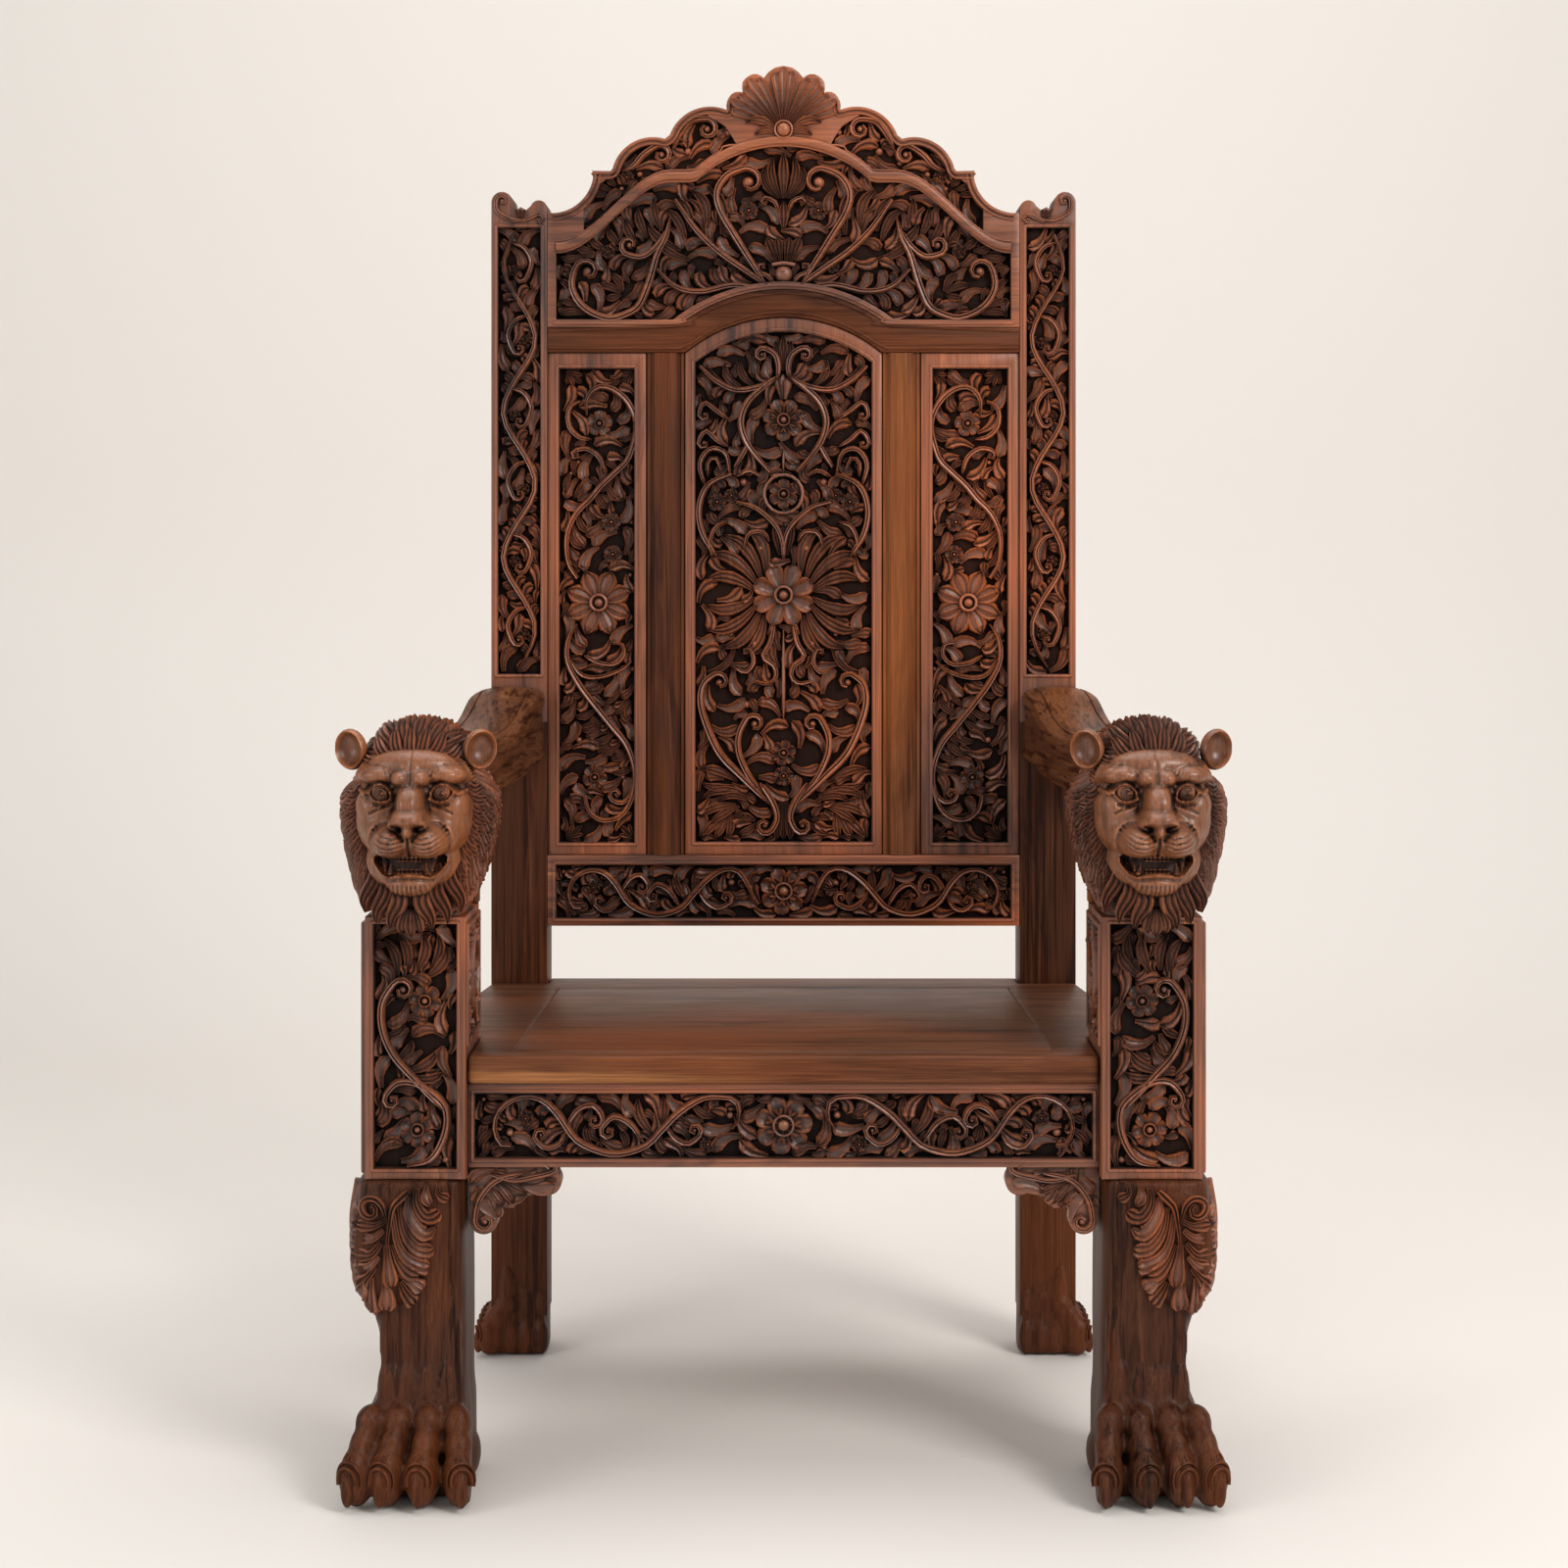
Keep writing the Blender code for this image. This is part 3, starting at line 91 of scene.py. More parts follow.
def smooth_path(points, count):
    """Rows of points at even steps along a Catmull-Rom curve through the given ones."""
    pts = np.asarray([tuple(p) for p in points], float)
    if len(pts) == 2:
        return pts[0] + (pts[1] - pts[0]) * np.linspace(0, 1, count)[:, None]
    ends = np.vstack((2 * pts[0] - pts[1], pts, 2 * pts[-1] - pts[-2]))
    spans = len(pts) - 1
    t = np.linspace(0, spans, spans * 10 + 1)
    i = np.minimum(t.astype(int), spans - 1)
    f = (t - i)[:, None]
    p0, p1, p2, p3 = ends[i], ends[i + 1], ends[i + 2], ends[i + 3]
    dense = 0.5 * (2 * p1 + (p2 - p0) * f + (2 * p0 - 5 * p1 + 4 * p2 - p3) * f * f
                   + (3 * p1 - p0 - 3 * p2 + p3) * f**3)
    run = np.concatenate(([0.0], np.cumsum(np.linalg.norm(np.diff(dense, axis=0), axis=1))))
    at = np.linspace(0, run[-1], count)
    return np.column_stack([np.interp(at, run, dense[:, k]) for k in range(dense.shape[1])])


def length_of(points):
    pts = np.asarray(points, float)
    return float(np.linalg.norm(np.diff(pts, axis=0), axis=1).sum())


def arc(centre, radius, start, end, count):
    """Points on a circle, angles in degrees."""
    a = np.radians(np.linspace(start, end, count))
    return [(centre[0] + radius * math.cos(t), centre[1] + radius * math.sin(t)) for t in a]


def arch(half, bottom, rise, count):
    """A shallow arch from left to right."""
    radius = (half * half + rise * rise) / (2 * rise)
    spread = math.degrees(math.asin(half / radius))
    return arc((0.0, bottom + rise - radius), radius, 90 + spread, 90 - spread, count)


def rectangle(x0, x1, y0, y1):
    return [(x0, y0), (x1, y0), (x1, y1), (x0, y1)]


def mirror_path(path):
    return [(-p[0], *p[1:]) for p in path]


def curled(points, radius, side, turns=0.9, steps=9):
    """The path with a volute at its end, turning left for side 1 and right for -1, and the volute's eye."""
    pts = [np.array(p[:2], float) for p in points]
    ahead = pts[-1] - pts[-2]
    start = math.atan2(ahead[1], ahead[0]) - side * math.pi / 2
    centre = pts[-1] - radius * np.array((math.cos(start), math.sin(start)))
    spiral = []
    for i in range(1, steps + 1):
        t = i / steps
        angle = start + side * turns * 2 * math.pi * t
        reach = radius * (1 - 0.60 * t)
        spiral.append(centre + reach * np.array((math.cos(angle), math.sin(angle))))
    return pts + spiral, centre


# Sections of a cut, from its left edge to its right: (share of half width, share of crown)

ROUND = ((1.0, 0.0), (0.92, 0.48), (0.55, 0.92), (0.0, 1.0), (-0.55, 0.92), (-0.92, 0.48), (-1.0, 0.0))
GROOVED = ((1.0, 0.0), (0.95, 0.60), (0.66, 1.0), (0.30, 0.80), (0.10, 0.40), (-0.20, 0.66), (-0.60, 1.0),
        (-0.94, 0.66), (-1.0, 0.0))
EDGED = ((1.0, 0.0), (0.96, 0.86), (0.78, 1.0), (0.58, 0.72), (0.20, 0.66), (-0.30, 0.60), (-0.74, 0.42),
        (-0.96, 0.24), (-1.0, 0.0))
LEAF = ((1.0, 0.0), (0.97, 0.62), (0.74, 1.0), (0.44, 0.56), (0.16, 0.66), (0.0, 0.86), (-0.16, 0.66),
        (-0.44, 0.56), (-0.74, 1.0), (-0.97, 0.62), (-1.0, 0.0))
RIPPLE = ((1.0, 0.0), (0.96, 0.66), (0.72, 1.0), (0.38, 0.58), (0.02, 1.0), (-0.36, 0.58), (-0.72, 0.96),
        (-0.96, 0.62), (-1.0, 0.0))
BAND = ((1.0, 0.0), (0.95, 0.62), (0.72, 0.96), (0.44, 0.90), (0.26, 0.62), (0.06, 0.92), (-0.42, 1.0),
        (-0.88, 0.66), (-1.0, 0.0))
CUPPED = ((1.0, 0.0), (0.98, 0.80), (0.84, 1.0), (0.50, 0.52), (0.0, 0.36), (-0.50, 0.52), (-0.84, 1.0),
        (-0.98, 0.80), (-1.0, 0.0))

# Outlines along a cut, from root to tip: (share of length, share of half width)

STEM = ((0.0, 0.25), (0.08, 0.8), (0.25, 1.0), (0.7, 0.95), (1.0, 0.55))
EVEN = ((0.0, 1.0), (1.0, 1.0))
POINTED = ((0.0, 0.30), (0.2, 0.62), (0.5, 1.0), (0.72, 0.86), (0.9, 0.42), (1.0, 0.04))
LOBE = ((0.0, 0.32), (0.25, 0.50), (0.6, 0.92), (0.8, 1.0), (0.93, 0.72), (1.0, 0.22))
PETAL = ((0.0, 0.34), (0.3, 0.72), (0.65, 1.0), (0.88, 0.82), (1.0, 0.28))
LOCK = ((0.0, 0.75), (0.2, 1.0), (0.5, 1.0), (0.8, 0.62), (1.0, 0.05))

# Heights along a cut
LEVEL = ((0.0, 1.0), (1.0, 1.0))
RISING = ((0.0, 0.55), (0.35, 0.75), (0.75, 1.0), (1.0, 0.62))
FALLING = ((0.0, 1.0), (0.6, 0.9), (1.0, 0.45))
HUMPED = ((0.0, 0.6), (0.25, 1.0), (0.7, 0.9), (1.0, 0.35))
CURLED_UP = ((0.0, 0.62), (0.45, 0.66), (0.82, 1.08), (0.94, 1.0), (1.0, 0.6))

TEMPLATES = {}


def tube_template(rows, ring):
    """A closed tube made once: its mesh, and the row and place in the ring of each vertex."""
    key = (rows, ring)
    if key not in TEMPLATES:
        bm = bmesh.new()
        bmesh.ops.create_circle(bm, cap_ends=True, segments=ring, radius=1.0)
        tip = list(bm.faces)
        for _ in range(rows - 1):
            grown = bmesh.ops.extrude_face_region(bm, geom=tip)["geom"]
            tip = [f for f in grown if isinstance(f, bmesh.types.BMFace)]
            bmesh.ops.translate(bm, vec=(0, 0, 1),
                    verts=[v for v in grown if isinstance(v, bmesh.types.BMVert)])
        bmesh.ops.recalc_face_normals(bm, faces=bm.faces)
        for face in bm.faces:
            face.smooth = True
        mesh = bpy.data.meshes.new("tube_template")
        bm.to_mesh(mesh)
        bm.free()
        co = np.empty(len(mesh.vertices) * 3)
        mesh.vertices.foreach_get("co", co)
        co = co.reshape(-1, 3)
        turn = np.arctan2(co[:, 1], co[:, 0])
        place = np.round(turn / (2 * math.pi) * ring).astype(int) % ring
        TEMPLATES[key] = (mesh, np.round(co[:, 2]).astype(int), place)
    return TEMPLATES[key]


def stamp(bm, mesh, points):
    """Adds a copy of a template with its vertices moved to the given points."""
    mesh.vertices.foreach_set("co", np.ascontiguousarray(points, dtype=np.float32).ravel())
    bm.from_mesh(mesh)


def tube(bm, grid):
    """A closed skin over rows of rings, given as rows x ring x 3."""
    rows, ring = grid.shape[:2]
    mesh, row, place = tube_template(rows, ring)
    stamp(bm, mesh, grid[row, place])


def profile(table, t):
    """A table's value at each share of a cut's length."""
    xs, ys = zip(*table)
    return np.interp(t, xs, ys)


DOMES = {}


def dome(bm, surface, u, v, radius, height, base):
    """A button of wood that stands up from a surface."""
    key = "button"
    if key not in DOMES:
        made = bmesh.new()
        bmesh.ops.create_uvsphere(made, u_segments=10, v_segments=10, radius=1.0)
        low = [w for w in made.verts if w.co.z < -0.35]
        bmesh.ops.delete(made, geom=low, context="VERTS")
        rim = [e for e in made.edges if len(e.link_faces) == 1]
        bmesh.ops.edgeloop_fill(made, edges=rim)
        bmesh.ops.recalc_face_normals(made, faces=made.faces)
        for face in made.faces:
            face.smooth = True
        mesh = bpy.data.meshes.new("dome_template")
        made.to_mesh(mesh)
        made.free()
        co = np.empty(len(mesh.vertices) * 3)
        mesh.vertices.foreach_get("co", co)
        DOMES[key] = (mesh, co.reshape(-1, 3))
    mesh, co = DOMES[key]
    uvh = np.column_stack((u + co[:, 0] * radius, v + co[:, 1] * radius, base + co[:, 2] * height))
    stamp(bm, mesh, surface(uvh))


def flat_surface(normal, origin, flip=1):
    """A board's face as a mapping from (across, up, out) to the throne's frame."""
    out = Vector(normal).normalized()
    across = Vector((0, 0, 1)).cross(out)
    turn = np.array((tuple(across), (0, 0, 1), tuple(out)))
    start = np.array(tuple(origin))

    def surface(uvh):
        return start + np.asarray(uvh) @ turn
    return surface


# A field of carving and the ground that it has left

class Relief:
    """Cuts laid over one field. It keeps a grid of the ground that is still free."""

    def __init__(self, bm, surface, field, floor=-SUNK, cell=0.001, seed=1):
        self.bm, self.surface, self.floor, self.cell = bm, surface, floor, cell
        self.rng = np.random.default_rng(seed)
        loop = np.asarray(field, float)
        self.low = loop.min(axis=0)
        size = np.ceil((loop.max(axis=0) - self.low) / cell).astype(int) + 1
        u = self.low[0] + np.arange(size[0]) * cell
        v = self.low[1] + np.arange(size[1]) * cell
        self.u, self.v = np.meshgrid(u, v)
        crossings = np.zeros(self.u.shape, int)
        for a, b in zip(loop, np.roll(loop, -1, axis=0)):
            if a[1] == b[1]:
                continue
            spans = (a[1] > self.v) != (b[1] > self.v)
            crossings += spans & (self.u < a[0] + (self.v - a[1]) / (b[1] - a[1]) * (b[0] - a[0]))
        self.free = crossings % 2 == 1
        self.free[[0, -1], :] = False
        self.free[:, [0, -1]] = False

    def cells(self, points):
        at = np.round((np.asarray(points)[:, :2] - self.low) / self.cell).astype(int)
        return (np.clip(at[:, 1], 0, self.free.shape[0] - 1), np.clip(at[:, 0], 0, self.free.shape[1] - 1))

    def cover(self, points, halves):
        """Marks the ground under a cut as taken."""
        for (x, y), half in zip(np.asarray(points)[:, :2], halves):
            r = max(half, self.cell) / self.cell
            ci, cj = (y - self.low[1]) / self.cell, (x - self.low[0]) / self.cell
            i0, i1 = max(0, int(ci - r)), min(self.free.shape[0], int(ci + r) + 2)
            j0, j1 = max(0, int(cj - r)), min(self.free.shape[1], int(cj + r) + 2)
            if i0 >= i1 or j0 >= j1:
                continue
            ii, jj = np.ogrid[i0:i1, j0:j1]
            self.free[i0:i1, j0:j1] &= (ii - ci)**2 + (jj - cj)**2 > r * r

    def cut(self, path, half, crown, outline=STEM, section=ROUND, heights=LEVEL, rows=None, base=None,
            cover=True):
        """One cut of carving along a path."""
        base = self.floor if base is None else base
        long = length_of(path)
        rows = rows or int(min(40, max(6, long / 0.0059)))
        spine = smooth_path(path, rows)
        ahead = np.gradient(spine, axis=0)
        ahead /= np.maximum(np.linalg.norm(ahead, axis=1), 1e-9)[:, None]
        left = np.column_stack((-ahead[:, 1], ahead[:, 0]))
        t = np.linspace(0, 1, rows)
        halves = half * profile(outline, t)
        tops = crown * profile(heights, t)
        shape = np.array((*section, (-1.0, None), (1.0, None)), dtype=float)
        low = np.isnan(shape[:, 1])
        rise = np.where(low[None, :], -0.0015, tops[:, None] * np.nan_to_num(shape[:, 1])[None, :])
        uv = spine[:, None, :] + left[:, None, :] * (halves[:, None, None] * shape[None, :, :1])
        grid = np.dstack((uv[:, :, 0], uv[:, :, 1], base + rise))
        tube(self.bm, self.surface(grid.reshape(-1, 3)).reshape(grid.shape))
        if cover:
            self.cover(spine, halves)
        return spine, halves

    def stem(self, path, half=0.0036, crown=0.009):
        return self.cut(path, half * 1.22, crown * 1.10, section=BAND)

    def volute(self, path, radius, side, half=0.0036, crown=0.010, turns=0.95):
        """A stem that winds into an eye with a bead in it."""
        wound, eye = curled(path, radius, side, turns)
        spine, _ = self.stem(wound, half, crown)
        self.ball(eye, radius * 0.42, crown * 0.95)
        self.cover([eye], [radius])
        return spine

    def ball(self, at, radius, height=None):
        dome(self.bm, self.surface, at[0], at[1], radius, height or radius * 1.5, self.floor)
        self.cover([at], [radius])

    def leaf(self, root, tip, half, bend=0.0, crown=0.008, outline=POINTED, section=LEAF):
        """A leaf from root to tip, bowed to the left by bend times its length."""
        root, tip = np.array(root, float), np.array(tip, float)
        along = tip - root
        side = np.array((-along[1], along[0])) * bend
        path = [root, root + along * 0.35 + side * 0.8, root + along * 0.70 + side * 0.9, tip]
        return self.cut(path, half, crown, outline, section, RISING)

    def palm(self, root, heading, reach, leaves=5, spread=110, half=None, crown=0.008, bend=0.12):
        """Lobes fanned from one root."""
        for i in range(leaves):
            share = i / (leaves - 1) - 0.5
            a = math.radians(heading + share * spread)
            long = reach * (1 - 0.55 * abs(share) * 1.2)
            tip = (root[0] + long * math.cos(a), root[1] + long * math.sin(a))
            self.leaf(root, tip, half or reach * 0.13, -bend * 2 * share, crown * (1.0 - 0.25 * abs(share)),
                      outline=LOBE, section=GROOVED if i % 2 else LEAF)

    def blossom(self, at, radius, petals=5, turn=None, crown=0.009, layers=1, button=0.30, pointed=False):
        """Cupped petals round a ringed button."""
        turn = self.rng.uniform(0, 2) if turn is None else turn
        for layer in range(layers):
            reach = radius * (1.0 - 0.34 * layer)
            for i in range(petals):
                a = turn + 2 * math.pi * (i + 0.5 * layer) / petals
                ray = np.array((math.cos(a), math.sin(a)))
                root, tip = np.array(at) + ray * reach * 0.16, np.array(at) + ray * reach
                half = math.pi * reach / petals * 0.80
                self.cut([root, (root + tip) / 2, tip], half, crown * (1.0 + 0.15 * layer),
                        POINTED if pointed else PETAL, LEAF if pointed else CUPPED, RISING, rows=8,
                        cover=False)
        self.ball(at, radius * button * 0.85, crown * 0.98)
        self.ring(at, radius * button * 1.15, radius * 0.06, crown * 0.94)
        self.cover([at], [radius * 0.96])

    def ring(self, at, radius, half, crown):
        self.cut(arc(at, radius, 0, 360, 17), half, crown, EVEN, rows=18, cover=False)

    def fits(self, path, half):
        spine = smooth_path(path, 9)[2:]
        ahead = np.gradient(spine, axis=0)
        ahead /= np.maximum(np.linalg.norm(ahead, axis=1), 1e-9)[:, None]
        left = np.column_stack((-ahead[:, 1], ahead[:, 0]))
        share = np.linspace(0.5, 0.9, len(spine))[:, None] * half
        probes = np.vstack((spine, spine + left * share, spine - left * share))
        inside = np.all((probes > self.low) & (probes < self.low + np.array(self.free.shape[::-1])
                * self.cell))
        return bool(inside) and bool(self.free[self.cells(probes)].mean() > 0.86)

    def sprout(self, spine, reach, half=0.0058, pitch=0.0125, sides=(1, -1), start=0.04, end=0.97,
            crown=0.0096):
        """Lobes that curl away from a stem on both sides, each as long as the free ground lets it be."""
        count = max(2, int(length_of(spine) / pitch / 1.12))
        for i in range(count):
            t = mix(start, end, (i + 0.5) / count)
            at = spine[int(t * (len(spine) - 1))]
            after = spine[min(len(spine) - 1, int(t * (len(spine) - 1)) + 1)]
            heading = math.atan2(*(after - at)[::-1])
            for side in sides:
                self.sprout_one(at, heading, side, reach, half, crown)

    def sprout_one(self, at, heading, side, reach, half, crown):
        for share in (1.0, 0.85, 0.70, 0.56, 0.44, 0.34):
            for more in (0, 16, -12):
                path = [np.array(at, float)]
                for turn, part in ((14, 0.30), (38, 0.30), (72, 0.26), (112, 0.16)):
                    a = heading + side * math.radians(turn + more)
                    path.append(path[-1] + reach * share * part * np.array((math.cos(a), math.sin(a))))
                wide = min(half * 1.3, reach * share * 0.36)
                if self.fits(path, wide):
                    section = (LEAF, GROOVED, CUPPED)[int(self.rng.integers(3))]
                    self.cut(path, wide, crown * self.rng.uniform(0.86, 1.06), LOBE, section, CURLED_UP,
                            rows=8)
                    return True
        return False

    def room(self, most=16):
        """How far, in cells, each free cell is from taken ground."""
        left, room = self.free.copy(), np.zeros(self.free.shape)
        for step in range(most):
            room += left
            grown = left.copy()
            grown[1:, :] &= left[:-1, :]
            grown[:-1, :] &= left[1:, :]
            grown[:, 1:] &= left[:, :-1]
            grown[:, :-1] &= left[:, 1:]
            if step % 2:
                grown[1:, 1:] &= left[:-1, :-1]
                grown[:-1, :-1] &= left[1:, 1:]
                grown[1:, :-1] &= left[:-1, 1:]
                grown[:-1, 1:] &= left[1:, :-1]
            left = grown
            if not left.any():
                break
        return room

    def fill(self, least=0.0031, most=90, crown=0.0080):
        """Leaves on the ground that is still free, the widest place first."""
        room = self.room()
        for _ in range(most):
            i, j = np.unravel_index(int(np.argmax(room)), room.shape)
            r = room[i, j] * self.cell
            if r < least:
                return
            at = (self.u[i, j], self.v[i, j])
            self.gap_leaf(at, r, crown)
            reach = int(r / self.cell) + 26
            self.cover([at], [r])
            room[max(0, i - reach):i + reach, max(0, j - reach):j + reach] = self.patch(i, j, reach)

    def gap_leaf(self, at, r, crown):
        """A leaf that lies along the longest free run through a place."""
        steps = np.arange(1, 16) * 0.0012
        best = (0.0, 0.0, 0.0)
        for a in np.radians(np.arange(0, 180, 15)):
            ray = np.array((math.cos(a), math.sin(a)))
            runs = []
            for way in (1, -1):
                open_ = self.free[self.cells(np.array(at) + way * steps[:, None] * ray)]
                runs.append(steps[-1] if open_.all() else steps[int(np.argmin(open_))])
            if sum(runs) > best[0] + best[1]:
                best = (*runs, a)
        ahead, behind, a = best
        if self.rng.random() < 0.5:
            ahead, behind, a = behind, ahead, a + math.pi
        ray = np.array((math.cos(a), math.sin(a)))
        away = np.array((-ray[1], ray[0])) * r * self.rng.choice((-0.5, 0.5))
        reach = min(ahead, r * 2.6)
        path = [np.array(at) - ray * min(behind, r * 2.6), np.array(at) - ray * r * 0.4 + away,
                np.array(at) + ray * r * 0.6 + away, np.array(at) + ray * reach * 0.96]
        section = (CUPPED, LEAF, GROOVED)[int(self.rng.integers(3))]
        self.cut(path, min(r * 1.25, 0.0080), crown * self.rng.uniform(0.84, 1.06), LOBE, section,
                CURLED_UP, rows=7)

    def patch(self, i, j, reach):
        """The room map again, worked out only near a new cut."""
        i0, j0 = max(0, i - reach), max(0, j - reach)
        wide = Relief.__new__(Relief)
        pad = 17
        a0, b0 = max(0, i0 - pad), max(0, j0 - pad)
        wide.free = self.free[a0:i + reach + pad, b0:j + reach + pad]
        room = wide.room()
        tall = min(i + reach, self.free.shape[0]) - i0
        broad = min(j + reach, self.free.shape[1]) - j0
        return room[i0 - a0:i0 - a0 + tall, j0 - b0:j0 - b0 + broad]


class Sketch:
    """Draws on a relief in millimetres from a place on its board, turned over for the left side."""

    def __init__(self, relief, side=1, across=0.0, up=0.0, share=1.0, rise=0.001):
        self.relief, self.side, self.across, self.up = relief, side, across, up
        self.share, self.rise = share, rise

    def at(self, points):
        return [(self.side * (self.across + u * 0.001 * self.share), self.up + v * self.rise) for u,
                v in points]

    def stem(self, points, half=0.0034, crown=0.0098):
        return self.relief.stem(self.at(points), half, crown)[0]

    def volute(self, points, radius, turn, half, crown, turns=0.95):
        return self.relief.volute(self.at(points), radius, turn * self.side, half, crown, turns)

    def blossom(self, place, radius, petals=5, **how):
        self.relief.blossom(self.at([place])[0], radius, petals, **how)

    def balls(self, *rows):
        """Balls, each with its radius in millimetres."""
        for u, v, radius in rows:
            self.relief.ball(self.at([(u, v)])[0], radius * 0.001)

    def leaves(self, rows, crown=0.008):
        """Leaves from root to tip, each with its half width in millimetres and its bow."""
        for root, tip, wide, bend in rows:
            self.relief.leaf(self.at([root])[0], self.at([tip])[0], wide * 0.001, bend * self.side, crown)


def sunk_board(bm, outline, fields, back, depth, place, ease=0.0014):
    """A board with a flat back whose face sinks to square-sided fields. Local Z is 0 at its face."""
    made = bmesh.new()
    loops = []
    for loop in (outline, *fields):
        verts = [made.verts.new((p[0], p[1], 0.0)) for p in loop]
        loops.append([made.edges.new((verts[i - 1], verts[i])) for i in range(len(verts))])
    bmesh.ops.triangle_fill(made, use_beauty=True, edges=[e for loop in loops for e in loop],
            normal=(0, 0, 1))
    for k, edges in enumerate(loops):
        grown = bmesh.ops.extrude_edge_only(made, edges=edges)["geom"]
        drop = -back if k == 0 else -depth
        for item in grown:
            if isinstance(item, bmesh.types.BMVert):
                item.co.z = drop
        rim = [e for e in grown if isinstance(e, bmesh.types.BMEdge) and len(e.link_faces) == 1]
        # Each field's floor is marked for the second material, the darker sunk wood that paints shade into
        # the recess.
        for face in bmesh.ops.contextual_create(made, geom=rim)["faces"]:
            face.material_index = min(k, 1)
    bmesh.ops.recalc_face_normals(made, faces=made.faces)
    lips = [e for loop in loops for e in loop if e.is_valid]
    if ease:
        bmesh.ops.bevel(made, geom=lips, offset=ease, segments=2, profile=0.5, affect="EDGES", material=-1,
                        clamp_overlap=True)
    join_into(bm, made, place)


def join_into(bm, made, place=None):
    """Moves a finished bmesh to its place and adds it to another."""
    if place is not None:
        made.transform(place)
        if place.determinant() < 0:
            bmesh.ops.reverse_faces(made, faces=made.faces)
    mesh = bpy.data.meshes.new("joined")
    made.to_mesh(mesh)
    made.free()
    bm.from_mesh(mesh)
    bpy.data.meshes.remove(mesh)


def facing(normal, origin):
    """A frame whose local X runs across a face, Y up it and Z out of it."""
    out = Vector(normal).normalized()
    up = Vector((0, 0, 1))
    across = up.cross(out)
    return Matrix.Translation(origin) @ Matrix((across, up, out)).transposed().to_4x4()


def finish_piece(name, bm, material, slot, nodes, sharp=42, second=None):
    """Turns a bmesh into a piece that stands for its solids. Its marked faces take the second material, by
    default the darker sunk wood: painted shade in recessed fields.
    """
    if second is None and any(face.material_index for face in bm.faces):
        second = wood(material.name.replace("carved", "sunk"))
    mesh = bpy.data.meshes.new(name)
    bm.to_mesh(mesh)
    bm.free()
    mesh.materials.append(material)
    if second:
        mesh.materials.append(second)
    mesh.polygons.foreach_set("use_smooth", [True] * len(mesh.polygons))
    mesh.set_sharp_from_angle(angle=math.radians(sharp))
    piece = bpy.data.objects.new(name, mesh)
    bpy.context.scene.collection.objects.link(piece)
    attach(piece, "root")
    if nodes:
        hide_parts(*nodes)
    return piece


def plain_faces(piece, material, is_plain):
    """Gives a second material to the faces of a carved board that were left plain."""
    index = len(piece.data.materials)
    piece.data.materials.append(material)
    for face in piece.data.polygons:
        if is_plain(face):
            face.material_index = index


def mark_from(bm, count):
    """Marks the faces made after the first few for a piece's second material."""
    bm.faces.ensure_lookup_table()
    for face in bm.faces[count:]:
        face.material_index = 1


def plain_back(face):
    return face.normal.y > 0.5


def eased_copy(bm, node, width):
    """A solid's own mesh, merged, with its edges eased."""
    made = bmesh.new()
    made.from_mesh(bpy.data.objects[node].data)
    bmesh.ops.remove_doubles(made, verts=made.verts, dist=1e-5)
    bmesh.ops.dissolve_limit(made, angle_limit=math.radians(2), verts=made.verts, edges=made.edges)
    edges = [e for e in made.edges if len(e.link_faces) == 2 and e.calc_face_angle() > math.radians(35)]
    bmesh.ops.bevel(made, geom=edges, offset=width, segments=3, profile=0.5, affect="EDGES", material=-1,
                    clamp_overlap=True)
    bmesh.ops.recalc_face_normals(made, faces=made.faces)
    join_into(bm, made)


def bead(relief, path, half, crown, rows=None):
    """A small round moulding along a path on a board's face."""
    rows = rows or max(2, int(length_of(path) / 0.012))
    relief.cut(path, half, crown, EVEN, rows=rows, base=0.0, cover=False)


# The back

